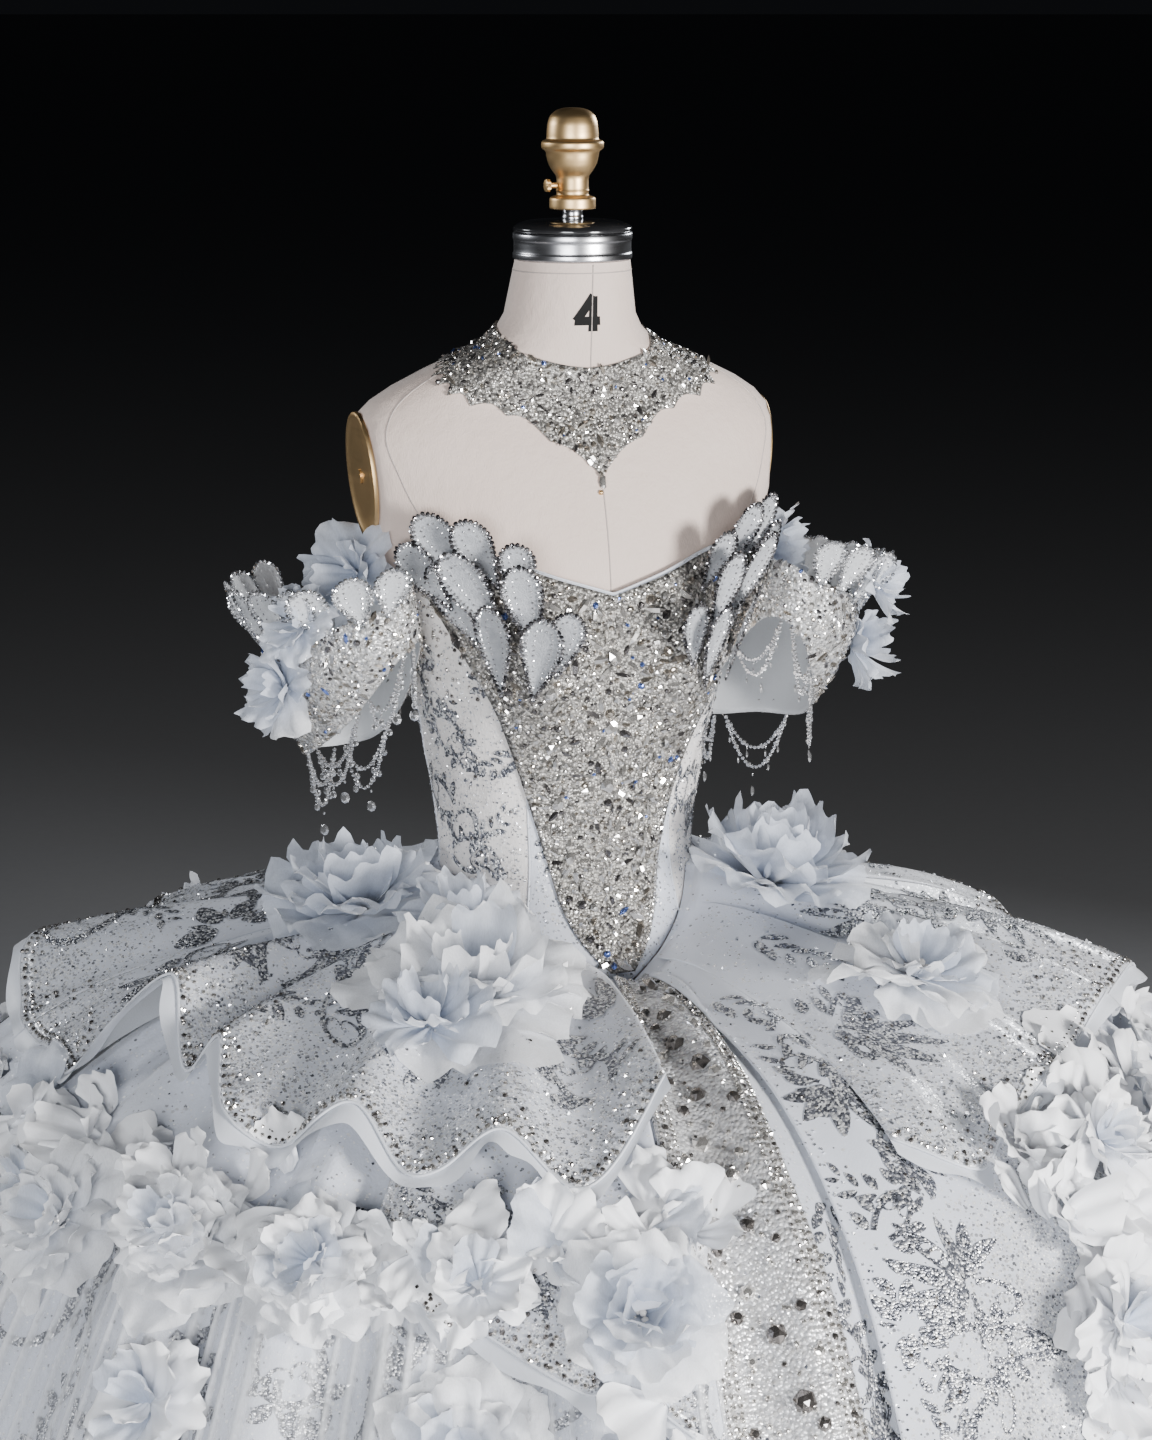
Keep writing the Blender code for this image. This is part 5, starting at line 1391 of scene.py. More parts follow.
@dataclass
class Tier:
    """A lined satin tier that hangs in flutes and ends in a soft rolled edge."""

    node: str
    table: Table
    first: float
    last: float
    columns: int
    rows: int
    start: float
    cut: tuple[float, float]
    edge: float = 0.0012
    depth: float = 0.095
    speckle: float = 0.14
    flounce: float = 0.014
    border: tuple[tuple[float, float], ...] = ()  # (run, degrees) along which glitter also lies thick

    def cover(self, angle: Array, run: Array) -> Array:
        """The tier's height where it lies, and -1 elsewhere."""
        degrees = np.degrees(angle)
        for _ in range(3):
            reach = self.table.read("reach", degrees)
            share = np.clip((run - self.start) / (reach - self.start), 0, 1)
            degrees = np.degrees(angle) - self.table.read("swing", degrees) * share**2
        lift = CLOTH + 0.001 + self.table.read("lift", degrees) * share**TIER_POWER
        inside = (degrees > self.first) & (degrees < self.last) & (run > self.start) & (run < reach)
        return np.where(inside, lift + 0.002, -1.0)

    def grid(self, ground: Ground) -> Array:
        """The tier's outer points, resting on what lies below."""
        degrees = np.linspace(self.first, self.last, self.columns)[None, :]
        share = np.linspace(0, 1, self.rows)[:, None]
        run = self.start + (self.table.read("reach", degrees) - self.start) * share
        angle = np.radians(degrees + self.table.read("swing", degrees) * share**2)
        soft = 0.0026 * np.sin(degrees * 0.55 + 6 * share + 1.7 * np.sin(degrees * 0.13)) * share
        soft = soft + 0.0036 * np.sin(degrees * 0.21 + 2.0 + 3 * share) * share
        lift = CLOTH + 0.001 + self.table.read("lift", degrees) * share**TIER_POWER + soft
        lift = soft_highest(lift, ground.top(angle, run) + CLOTH + 0.0012)
        return skirt_point(angle, run, lift)

    def build(self, ground: Ground) -> Embroidery:
        """Make the tier and its edge.

        Args:
            ground: What it lies on; the tier is added to it.

        Returns:
            The embroidery of its outside, not yet worked.
        """
        grid = self.grid(ground)
        net = Net()
        patch = Patch(grid, -1)
        columns, rows = np.meshgrid(np.linspace(0, 1, self.columns), np.linspace(0, 1, self.rows))
        thick = hem_density(patch, self.depth, speckle=self.speckle)(columns.ravel(), rows.ravel()).reshape(grid.shape[:2])
        if self.border:
            at_run = [run for run, _ in self.border]
            run = self.start + (self.table.read("reach", np.linspace(self.first, self.last, self.columns)) - self.start) * rows
            line = np.interp(run, at_run, [degrees for _, degrees in self.border])
            inward = (line - np.degrees(np.arctan2(grid[..., 0], -grid[..., 1]))) * 0.0105
            thick = np.maximum(thick, np.exp(-(np.maximum(inward - 0.015, 0) / 0.075) ** 2) * (run > 0.36))
        add_shell(net, grid, -1, CLOTH, lining=1, shade=0.95 * thick)
        name = self.node.replace("panel", "satin")
        piece = net.build(name + "_cloth", Look.SATIN, Look.LINING)
        settle(piece, "tier_satin", self.node)
        edge = Net()
        path = grid[-1] - 0.5 * CLOTH * grid_normals(grid, -1)[-1]
        down = unit(grid[-1] - grid[-2])
        edge.add(*tube(path + down * self.edge * 0.8, self.edge, 6))
        steps = np.linspace(-0.6, 1, 7)[:, None, None]
        wave = 0.5 + 0.5 * np.sin(np.arange(self.columns) * 0.37 + 2 * np.sin(np.arange(self.columns) * 0.11))
        inward = grid_normals(grid, -1)[-1]
        depth = self.flounce * (0.75 + 0.5 * wave)[None, :, None]
        under = path - inward * 0.0016 + down * steps * depth - inward * (0.0040 * steps**2 * wave[None, :, None])
        add_sheet(edge, under)
        edge_piece = settle(edge.build(name + "_edge", Look.THREAD), "tier_satin")
        side = self.node.rsplit("_", 1)[1]
        rests_on = ["bodice_back_" + side, "gore_back_" + side] if "back" in self.node else ["bodice_front", "gore_front_" + side]
        declare(piece, self.cut, "draped", rests_on, 2, edge_piece)
        ground.covers.append(self.cover)
        seed = 100 + sum(map(ord, self.node))
        return Embroidery(patch, seed)


@dataclass
class Tiers:
    """The overskirt panel, the short tier and the four parts of the peplum, with their embroidery."""

    ground: Ground

    def stones_at_hem(self, sewn: Embroidery, depth: float = 0.030) -> None:
        """Set the hem's rhinestones: a close row at the edge and looser ones above it."""
        across, down = (float(np.mean(size)) for size in (sewn.patch.across[-1], sewn.patch.down[-1]))
        count = int(across / 0.0072)
        u = (np.arange(count) + 0.5) / count
        sewn.stones(u, np.full(count, 1 - 0.004 / down), 0.0046, 0.35)
        sewn.stones(u + 0.5 / count, np.full(count, 1 - 0.010 / down), 0.0036, 0.2)

        def near(u: Array, v: Array) -> Array:
            """Looser stones thin out above the edge."""
            from_hem = (1 - v) * sewn.patch.size(u, v)[1]
            return np.exp(-((from_hem / depth) ** 2))

        sewn.stud(900, near, 0.0042, 0.35)

    def build(self) -> None:
        """Make the tiers from the lowest up."""
        panel = Tier(
            "overskirt_panel_left", OVERSKIRT, 3, 36, 110, 64, 0.030, (0.62, 0.92),
            speckle=0.05, border=((0.36, 24.0), (0.43, 23.0), (0.505, 17.5), (0.59, 13.0), (0.80, 9.0), (1.40, 5.0)),
        ).build(self.ground)
        panel.strew(5000, hem_density(panel.patch, 0.06, 0.02, 0.06))
        self.stones_at_hem(panel)
        # kind, degrees, run, size, turn
        work = (
            (Motif.LEAF, 9.5, 0.175, 0.085, 1.9), (Motif.SCROLL, 13.0, 0.215, 0.075, 0.6),
            (Motif.LEAF, 7.6, 0.275, 0.115, -0.9), (Motif.SPRAY, 9.5, 0.325, 0.085, 2.3),
            (Motif.ROSETTE, 12.5, 0.375, 0.075, 0.3), (Motif.LEAF, 7.2, 0.395, 0.090, -1.7),
            (Motif.SCROLL, 4.9, 0.430, 0.085, 0.2), (Motif.SPRAY, 9.4, 0.455, 0.100, -1.1),
            (Motif.ROSETTE, 5.4, 0.495, 0.070, 0.5), (Motif.SCROLL, 10.2, 0.525, 0.090, 1.1),
            (Motif.LEAF, 6.2, 0.560, 0.095, -0.6),
            (Motif.SCROLL, 6.0, 0.660, 0.120, 1.6),
            (Motif.LEAF, 4.6, 0.740, 0.120, -1.0), (Motif.SCROLL, 8.0, 0.820, 0.120, 0.4),
            (Motif.SPRAY, 6.0, 0.920, 0.120, -1.2), (Motif.LEAF, 16.0, 0.700, 0.120, 0.8),
            (Motif.SCROLL, 20.0, 0.850, 0.120, 1.4), (Motif.LEAF, 12.0, 1.000, 0.120, 1.2),
        )
        for kind, degrees, run, size, turn in work:
            panel.motif_at(kind, degrees, run, size, turn, 4)
        panel.make("overskirt_glitter", "tier_satin")
        short = Tier("short_tier_right", SHORT_TIER, -36, -12, 90, 30, 0.200, (0.42, 0.36)).build(self.ground)
        short.strew(2000, hem_density(short.patch, 0.06, speckle=0.06))
        self.stones_at_hem(short)
        for k in range(4):
            short.motif(Motif.SCROLL if k % 2 else Motif.LEAF, 0.16 + 0.23 * k, 0.74, 0.075, 1.1 * k, 3)
        short.make("short_tier_glitter", "tier_satin")
        parts = (
            Tier("peplum_back_right", PEPLUM_RIGHT, -179.9, -98.1, 130, 30, 0.008, (1.10, 0.36)),
            Tier("peplum_front_right", PEPLUM_RIGHT, -97.9, -10, 210, 40, 0.008, (1.10, 0.40)),
            Tier("peplum_front_left", PEPLUM_LEFT, 11, 97.9, 200, 40, 0.008, (1.10, 0.42)),
            Tier("peplum_back_left", PEPLUM_LEFT, 98.1, 179.9, 130, 30, 0.008, (1.10, 0.38)),
        )
        laid = [part.build(self.ground) for part in parts]
        for part, sewn in zip(parts, laid):
            front = "front" in part.node
            sewn.strew(7500 if front else 3000, hem_density(sewn.patch, 0.080, speckle=0.10), 0.0026)
            self.stones_at_hem(sewn, 0.045)
            count = 14 if front else 8
            for k in range(count):
                kind = (Motif.SCROLL, Motif.SPRAY, Motif.LEAF, Motif.ROSETTE)[k % 4]
                sewn.motif(kind, (k + 0.6) / count, 0.56 + 0.20 * math.sin(2.3 * k), 0.105, 0.9 * k, 5)
            sewn.make(part.node + "_glitter", "tier_satin")


@dataclass
class Strip:
    """The beaded strip down the centre front: two edge bands and a middle row of large stones."""

    rows: int = 150
    columns: int = 17

    def cover(self, angle: Array, run: Array) -> Array:
        """The strip's height where it lies, and -1 elsewhere."""
        middle = np.radians(STRIP.read("angle", run))
        half = STRIP.read("half_width", run) / SKIRT.read("radius", run)
        inside = (np.abs(angle - middle) < half) & (run > 0.012) & (run < 1.405)
        return np.where(inside, gather_lift(angle, run) + 2.2 * CLOTH + 0.002, -1.0)

    def build(self, ground: Ground) -> None:
        """Make the cloth and sew its stones on."""
        run = np.linspace(0.012, 1.405, self.rows)[:, None]
        across = np.linspace(-1, 1, self.columns)[None, :]
        angle = np.radians(STRIP.read("angle", run))
        angle = angle + across * STRIP.read("half_width", run) / SKIRT.read("radius", run)
        grid = skirt_point(angle, run, gather_lift(angle, run) + 2.2 * CLOTH + 0.001)
        net = Net()
        add_shell(net, grid, -1, CLOTH * 0.8)
        cloth = net.build("centre_strip_cloth", Look.STRIP_GROUND)
        settle(cloth, "stone_beading", "skirt_centre_strip")
        declare(cloth, (0.125, 1.42), "draped", ["gore_front_right", "gore_front_left"], 2)
        ground.covers.append(self.cover)
        sewn = Embroidery(Patch(grid, -1), 41)
        length = float(np.mean(sewn.patch.down))
        for place, size, pitch, dark in (
            (0.035, 0.0040, 0.0050, 0.05), (0.095, 0.0058, 0.0072, 0.15), (0.16, 0.0040, 0.0052, 0.05),
            (0.84, 0.0040, 0.0052, 0.05), (0.905, 0.0058, 0.0072, 0.15), (0.965, 0.0040, 0.0050, 0.05),
        ):
            count = int(length * 0.62 / pitch)
            v = np.linspace(0.02, 0.64, count)
            sewn.stones(np.full(count, place), v, size, dark)
        count = int(length / 0.042)
        v = np.linspace(0.04, 0.98, count) + 0.004 * np.sin(np.arange(count) * 2.3)
        sewn.stones(0.5 + 0.10 * np.sin(np.arange(count) * 1.9), v, 0.0155, 0.6)
        for side in (0.28, 0.72):
            sewn.stones(side + 0.05 * np.cos(np.arange(count) * 2.6), v + 0.012, 0.0100, 0.35)
        sewn.stud(900, lambda u, v: np.full(len(u), 0.75), 0.0046, 0.10)
        sewn.strew(1500, lambda u, v: 0.55 + 0.4 * np.abs(2 * u - 1), 0.0026)
        sewn.make("centre_strip_stones", "stone_beading")


@dataclass
class Veil:
    """Sheer pleated tulle that falls from under the peplum over the front right of the skirt."""

    first: float = -80.0
    last: float = -9.5
    pleats: int = 40
    columns: int = 401
    rows: int = 34

    def build(self, ground: Ground) -> None:
        """Make the veil in one layer."""
        degrees = np.linspace(self.first, self.last, self.columns)[None, :]
        share = np.linspace(0, 1, self.rows)[:, None]
        top = 0.43 + 0.03 * np.sin(degrees * 0.31)
        run = top + (1.385 - top) * share
        phase = 2 * math.pi * self.pleats * np.linspace(0, 1, self.columns)[None, :]
        uneven = 0.62 + 0.38 * np.sin(phase * 0.137 + 1.0) * np.sin(phase * 0.031 + 0.5)
        pleat = (0.0040 + 0.0050 * share) * uneven * np.sin(phase + 1.6 * np.sin(phase * 0.21) + 0.6 * share)
        angle = np.radians(degrees)
        lift = gather_lift(angle, run) + 0.0085 + 0.006 * share + pleat
        net = Net()
        ridge = np.clip(0.5 + 0.5 * np.sin(phase + 1.6 * np.sin(phase * 0.21) + 0.6 * share), 0, 1) ** 3
        add_sheet(net, skirt_point(angle, run, lift), shade=ridge * uneven)
        piece = settle(net.build("skirt_veil", Look.VEIL), "skirt_tulle")
        declare(piece, (1.75, 1.0), "gathered", ["gore_front_right", "gore_side_front_right"], 1)


# The bodice --------------------------------------------------------------------------------------------


@dataclass
class Bodice:
    """Five shaped panels, the back placket with its covered buttons, piping and glitter."""

    rows: int = 54

    def grid(self, first: float, last: float, columns: int) -> Array:
        """Points of a panel between two angles in degrees."""
        angle = np.radians(np.linspace(first, last, columns))[None, :]
        share = np.linspace(0, 1, self.rows)[:, None]
        ripple = 0.0005 * np.sin(share * 23 + 5 * np.sin(angle * 4)) * np.sin(share * math.pi)
        return bodice_point(angle, share, ripple)

    def build(self) -> None:
        """Make every panel and its glitter."""
        # node, first and last angle in degrees, columns, look, flakes
        panels = (
            ("bodice_back_right", -176.4, -97.2, 60, Look.SATIN, 2500),
            ("bodice_side_right", -97.2, -32.4, 60, Look.NUDE_NET, 4000),
            ("bodice_front", -32.4, 32.4, 64, Look.SATIN, 3000),
            ("bodice_side_left", 32.4, 97.2, 60, Look.NUDE_NET, 4000),
            ("bodice_back_left", 97.2, 176.4, 60, Look.SATIN, 2500),
            ("bodice_back_placket", 176.4, 183.6, 9, Look.SATIN, 0),
        )
        for node, first, last, columns, look, flakes in panels:
            grid = self.grid(first, last, columns)
            net = Net()
            add_shell(net, grid, 1, CLOTH, lining=1, shade=0.10 if flakes else 0.0)
            trim = Net()
            for edge in (grid[:, 0], grid[-1]):
                trim.add(*tube(edge, 0.0009, 6))
            cloth = settle(net.build(node + "_cloth", look, Look.LINING), "bodice_satin", node)
            piping = settle(trim.build(node + "_piping", Look.THREAD), "bodice_satin")
            width = 0.30 if "placket" not in node else 0.034
            declare(cloth, (width, 0.34), "stretched", ["form_linen_cover"], 2, piping)
            if flakes:
                sewn = Embroidery(Patch(grid, 1), 500 + int(first))
                sewn.strew(flakes, lambda u, v: 0.35 + 0.4 * np.sin(u * 9) ** 2 * np.sin(v * 8) ** 2, 0.0018)
                front = 1.0 if first < 0 else 0.0
                for k in range(8 if look is Look.NUDE_NET else 4):
                    kind = (Motif.SCROLL, Motif.LEAF)[k % 2]
                    sewn.motif(kind, 0.5 + 0.3 * math.sin(2.4 * k), 0.08 + 0.10 * k, 0.062, 1.3 * k, 4)
                if look is Look.NUDE_NET:
                    sewn.stud(2600, lambda u, v: eased(1.5 * v - 0.75) * eased(1.6 * np.abs(1 - front - u)), 0.0042, 0.25)
                sewn.make(node + "_glitter", "bodice_satin")
        buttons = Net()
        share = (np.arange(17) + 0.7) / 18
        places = bodice_point(np.full(17, math.pi), share, 0.0030)
        axes = facing(np.tile([[0.0, 1.0, 0.0]], (17, 1)), np.zeros(17))
        sizes = np.tile([[0.0095, 0.0095, 0.0060]], (17, 1))
        add_copies(buttons, bead_shape(12), places, axes, sizes, np.full(17, 0.5))
        settle(buttons.build("placket_buttons", Look.SATIN), "bodice_satin")


class Jewels:
    """Stones of several sizes set close over a patch, none touching."""

    def __init__(self, patch: Patch, seed: int) -> None:
        """Start on a patch."""
        self.patch = patch
        self.rng = np.random.default_rng(seed)
        self.net = Net()
        self.places = np.full((40000, 3), 1e3)
        self.radii = np.zeros(40000)
        self.count = 0

    def free(self, places: Array, radius: float) -> bool:
        """Whether a stone with circles of this radius at these places fits."""
        taken, radii = self.places[: self.count], self.radii[: self.count]
        near = np.flatnonzero(np.abs(taken - places.mean(axis=0)).max(axis=1) < 0.03)
        apart = np.linalg.norm(taken[near, None] - places[None], axis=2)
        return bool((apart > 0.90 * (radii[near, None] + radius)).all())

    def set_stone(
        self, u: float, v: float, width: float, length: float = 0.0, turn: float = 0.0, shade: float = -1.0
    ) -> None:
        """Set a stone where it fits.

        Args:
            u: Its place across.
            v: Its place along.
            width: Its width.
            length: Its length, or 0 where it is round.
            turn: How far its length is turned.
            shade: Its shade, or -1 for one that is drawn.
        """
        if not (0.01 < u < 0.99 and 0.01 < v < 0.99):
            return
        point, normal = self.patch.at(np.array([u]), np.array([v]))
        reach = max(length, width)
        step = 0.002
        aside = self.patch.at(np.array([u + step]), np.array([v]))[0] - point
        across = unit(aside - normal * np.sum(aside * normal, axis=1, keepdims=True))
        up = np.cross(normal, across)
        along = across * math.cos(turn) + up * math.sin(turn)
        offsets = np.linspace(-1, 1, 1 if reach < 1.3 * width else 3) if reach >= 1.3 * width else np.zeros(1)
        places = point + along * (offsets * 0.42 * (reach - width))[:, None]
        radius = 0.5 * width if len(places) == 1 else 0.42 * width
        if not self.free(places, radius):
            return
        after = self.count + len(places)
        self.places[self.count : after] = places
        self.radii[self.count : after] = radius
        self.count = after
        drawn = self.rng.random()
        if shade < 0:
            shade = 0.05 if drawn < 0.20 else 0.20 if drawn < 0.52 else 0.97 if drawn > 0.97 else 0.6
        tilt = self.rng.normal(0, 0.36, (1, 3))
        facet = unit(normal + tilt)
        first = unit(along - facet * np.sum(along * facet, axis=1, keepdims=True))
        axes = np.stack([first, np.cross(facet, first), facet], axis=1)
        shape = MARQUISE if len(places) > 1 else FINE_STONE if width > 0.005 else STONE
        size = np.array([[reach, width, width * 0.85]])
        add_copies(self.net, shape, point + normal * 0.0005, axes, size, np.array([shade]))

    def medallion(self, u: float, v: float, radius: float, petals: int = 9) -> None:
        """A large stone in a burst of pointed ones, with small stones between their tips."""
        across, down = (float(size[0]) for size in self.patch.size(np.array([u]), np.array([v])))
        self.set_stone(u, v, 0.50 * radius, 0.60 * radius, 1.57, 0.6)
        # share of the radius, width, length, share of a petal's turn
        for reach, width, length, half in ((0.62, 0.24, 0.58, 0.0), (0.98, 0.22, 0.22, 0.5), (1.12, 0.18, 0.40, 0.0)):
            for k in range(petals):
                turn = 2 * math.pi * (k + half) / petals
                place = u + reach * radius * math.cos(turn) / across, v + reach * radius * math.sin(turn) / down
                self.set_stone(*place, width * radius, length * radius, turn, 0.6 if self.rng.random() < 0.88 else 0.05)

    def row(self, u0: float, v0: float, u1: float, v1: float, width: float, shade: float = -1.0) -> None:
        """A close row of round stones between two places."""
        (start, end), _ = self.patch.at(np.array([u0, u1]), np.array([v0, v1]))
        count = max(2, int(np.linalg.norm(end - start) / (width * 1.06)))
        for t in np.linspace(0, 1, count):
            self.set_stone(u0 + (u1 - u0) * t, v0 + (v1 - v0) * t, width, shade=shade)

    def fill(self, widths: Sequence[float], tries: Sequence[int]) -> None:
        """Fill what is left, the largest stones first."""
        for width, count in zip(widths, tries):
            u, v = self.patch.spread(self.rng, count)
            for place in zip(u, v):
                own = width * self.rng.uniform(0.9, 1.08)
                reach = own * 2.3 if width > 0.0035 and self.rng.random() < 0.62 else 0.0
                self.set_stone(*place, own, reach, self.rng.random() * 6.28)


@dataclass
class Plastron:
    """The stone-set panel over the bodice's front."""

    rows: int = 60
    columns: int = 41

    def build(self) -> None:
        """Make its ground and set its stones."""
        share = np.linspace(0.030, 1.0, self.rows)[:, None]
        across = np.linspace(-1, 1, self.columns)[None, :]
        foot = WAIST_HEIGHT - BASQUE_DROP
        angle = across * np.radians(PLASTRON.read("half_angle", foot + share * (1.325 - foot)))
        seam_height = waist_seam(angle)[2]
        top = NECKLINE.read("height", np.degrees(np.abs(angle)))
        level = foot + share * (top - 0.0015 - foot)
        bodice_share = np.clip((level - seam_height) / (top - seam_height), 0.012, 0.995)
        grid = bodice_point(angle, bodice_share, 0.0024)
        net = Net()
        add_shell(net, grid, 1, 0.0014)
        ground = net.build("plastron_ground", Look.STONE_GROUND)
        settle(ground, "stone_beading", "jewel_plastron")
        declare(ground, (0.31, 0.33), "stretched", ["bodice_front_cloth"], 2)
        jewels = Jewels(Patch(grid, 1), 7)
        for v, radius in ((0.09, 0.013), (0.20, 0.017), (0.33, 0.022), (0.48, 0.026), (0.65, 0.029), (0.84, 0.029)):
            jewels.medallion(0.5, v, radius)
        for v, wide in ((0.27, 0.30), (0.41, 0.30), (0.55, 0.29), (0.70, 0.26), (0.86, 0.22)):
            for side in (-1, 1):
                jewels.medallion(0.5 + side * wide, v, 0.022)
        for v, wide in ((0.62, 0.42), (0.77, 0.40), (0.91, 0.37)):
            for side in (-1, 1):
                jewels.medallion(0.5 + side * wide, v, 0.015, 8)
        for side in (0.035, 0.965):
            jewels.row(side, 0.03, side, 0.97, 0.0040, 0.6)
        for v in (0.991, 0.975):
            jewels.row(0.03, v, 0.97, v, 0.0046, 0.6)
        jewels.fill((0.0084, 0.0064, 0.0046, 0.0032), (1200, 2600, 4500, 4500))
        settle(jewels.net.build("plastron_stones", Look.STONES, smooth=False), "stone_beading")


@dataclass
class Collar:
    """The beaded collar: net set with stones, an edge of beads and a long drop at its point."""

    columns: int = 180
    rows: int = 16

    def build(self) -> None:
        """Make its ground and set its stones."""
        angle = np.linspace(-math.pi, math.pi, self.columns + 1)[None, :-1]
        turn = np.degrees(np.abs(angle))
        share = np.linspace(0, 1, self.rows)[:, None]
        low = COLLAR.read("low", turn) + 0.005 * np.abs(np.sin(angle * 15))
        height = low * (1 - share) + COLLAR.read("high", turn) * share
        grid = form_point(angle, height, 0.0022, clip_armhole=False)
        net = Net()
        add_shell(net, grid, 1, 0.0012, wrap=True)
        ground = settle(net.build("collar_ground", Look.STONE_GROUND), "stone_beading", "beaded_collar")
        declare(ground, (0.62, 0.085), "stretched", ["form_linen_cover"], 2)
        jewels = Jewels(Patch(np.concatenate([grid, grid[:, :1]], axis=1), 1), 11)
        for k in range(30):
            jewels.medallion((k + 0.5) / 30, 0.34 if k % 2 else 0.60, 0.0135 if k % 2 else 0.0115, 7)
        for v, width in ((0.06, 0.0036), (0.94, 0.0036)):
            jewels.row(0.01, v, 0.99, v, width, 0.6)
        jewels.fill((0.0050, 0.0036, 0.0026), (700, 2600, 4200))
        drop = form_point(np.array([0.0]), np.array([1.386]), 0.004)
        axes = facing(np.array([[0.0, -1.0, 0.25]]), np.array([0.0]))
        for down, size in ((0.004, (0.007, 0.012, 0.005)), (0.018, (0.008, 0.017, 0.006))):
            add_copies(
                jewels.net, FINE_STONE, drop - [[0.0, -0.001, down]], axes, np.array([size]), np.array([0.6])
            )
        settle(jewels.net.build("collar_stones", Look.STONES, smooth=False), "stone_beading")


# Petals, flowers and swags ------------------------------------------------------------------------------


@dataclass
class WirePetal:
    """A teardrop of organza inside two rows of beads."""

    root: Array
    along: Array
    normal: Array
    length: float
    width: float
    curl: float = 0.15
    detail: int = 9

    def point(self, t: Array, s: Array) -> Array:
        """A point: t from root to tip, s across from -1 to 1."""
        beside = np.cross(self.normal, self.along)
        half = 0.5 * self.width * np.sin(math.pi * np.clip(t, 0, 1) ** 1.9) ** 0.6
        rise = self.curl * self.length * t**2 + 0.10 * self.width * s**2 * np.sin(math.pi * t)
        flat = self.root + self.along * (self.length * t)[..., None] + beside * (half * s)[..., None]
        return flat + self.normal * rise[..., None]

    def outline(self, scale: float, pitch: float) -> Array:
        """Places of beads round it, at this share of its size."""
        t = np.concatenate([np.linspace(0.03, 0.99, 60), np.linspace(0.99, 0.03, 60)])
        s = np.concatenate([np.ones(60), -np.ones(60)]) * scale
        path = self.point(0.5 + (t - 0.5) * (0.5 + 0.5 * scale), s)
        far = np.concatenate([[0], np.cumsum(np.linalg.norm(np.diff(path, axis=0), axis=1))])
        wanted = np.arange(0, far[-1], pitch)
        return np.stack([np.interp(wanted, far, path[:, k]) for k in range(3)], axis=1)

    def add(self, cloth: Net, beads: Net, rng: np.random.Generator) -> None:
        """Gather its organza and its beads."""
        t, s = np.meshgrid(np.linspace(0.02, 0.99, self.detail), np.linspace(-1, 1, 7), indexing="ij")
        add_sheet(cloth, self.point(t, s))
        for scale, width, pitch, look in ((1.0, 0.0044, 0.0042, 0), (0.80, 0.0036, 0.0038, 1), (0.42, 0.0026, 0.0050, 1)):
            places = self.outline(scale, pitch)
            count = len(places)
            axes = facing(np.tile(self.normal, (count, 1)), rng.random(count) * 6.28, rng.normal(0, 0.3, (count, 3)))
            sizes = np.full((count, 3), width)
            shades = rng.uniform(0.2, 0.9, count) if look else rng.choice((0.08, 0.3, 0.6), count)
            add_copies(beads, STONE, places, axes, sizes, shades, look)


def frame_on(point: Callable[..., Array], a: float, b: float, step: float) -> tuple[Array, Array, Array, Array]:
    """A surface's point with its outward normal, its upward and its sideways tangents.

    Args:
        point: The surface: its two coordinates and a lift.
        a: The first coordinate.
        b: The second coordinate, rising upwards.
        step: A small step in a.

    Returns:
        The point, normal, up and side.
    """
    here = point(a, b, 0.0)
    normal = unit(point(a, b, 0.01) - here)
    up = point(a, b, 0.0) - point(a, b - 0.05, 0.0)
    up = unit(up - normal * np.dot(up, normal))
    side = unit(point(a + step, b, 0.0) - here)
    return here, normal, up, unit(side - normal * np.dot(side, normal) - up * np.dot(side, up))


@dataclass
class PetalFan:
    """The spray of wired petals at one bust."""

    side: int
    word: str
    # angle, share of the bodice's height, lean in degrees, length, width
    petals: tuple[tuple[float, float, float, float, float], ...] = (
        (41, 0.92, -8, 0.074, 0.034),
        (33, 0.93, 0, 0.066, 0.031),
        (26, 0.92, 10, 0.054, 0.028),
        (49, 0.87, -14, 0.066, 0.031),
        (45, 0.75, -10, 0.080, 0.034),
        (37, 0.79, -3, 0.088, 0.036),
        (29, 0.79, 7, 0.074, 0.032),
        (40, 0.64, -6, 0.084, 0.034),
        (32, 0.64, 3, 0.082, 0.034),
        (24, 0.73, 13, 0.060, 0.028),
    )

    def build(self) -> None:
        """Make the petals."""
        rng = np.random.default_rng(60 + self.side)
        cloth, beads = Net(), Net()
        for k, (angle, share, lean, length, width) in enumerate(self.petals):
            radians = self.side * math.radians(angle)
            root, normal, up, side = frame_on(bodice_point, radians, share, self.side * 0.02)
            turn = math.radians(lean)
            along = unit(up * math.cos(turn) - side * math.sin(turn) + normal * (0.16 + 0.05 * (k % 3)))
            normal = unit(normal - along * np.dot(normal, along))
            start = root + normal * (0.006 + 0.0022 * (k % 4))
            WirePetal(start, along, normal, length, width).add(cloth, beads, rng)
        piece = cloth.build("petal_fan_organza_" + self.word, Look.LACE)
        settle(piece, "petal_organza", "petal_fan_" + self.word)
        rims = beads.build("petal_fan_beads_" + self.word, Look.SMOKY, Look.CLEAR, smooth=False)
        settle(rims, "petal_organza")
        declare(piece, (0.13, 0.09), "stretched", ["bodice_side_" + self.word + "_cloth", "plastron_ground"], 1, rims)


# ROOTS carries the root colour, partly painted shade, and the extra opacity near the roots.
ROOTS = (1 - np.linspace(0, 1, 8)[:, None]) ** 1.3  # how near each row of a petal is to its root


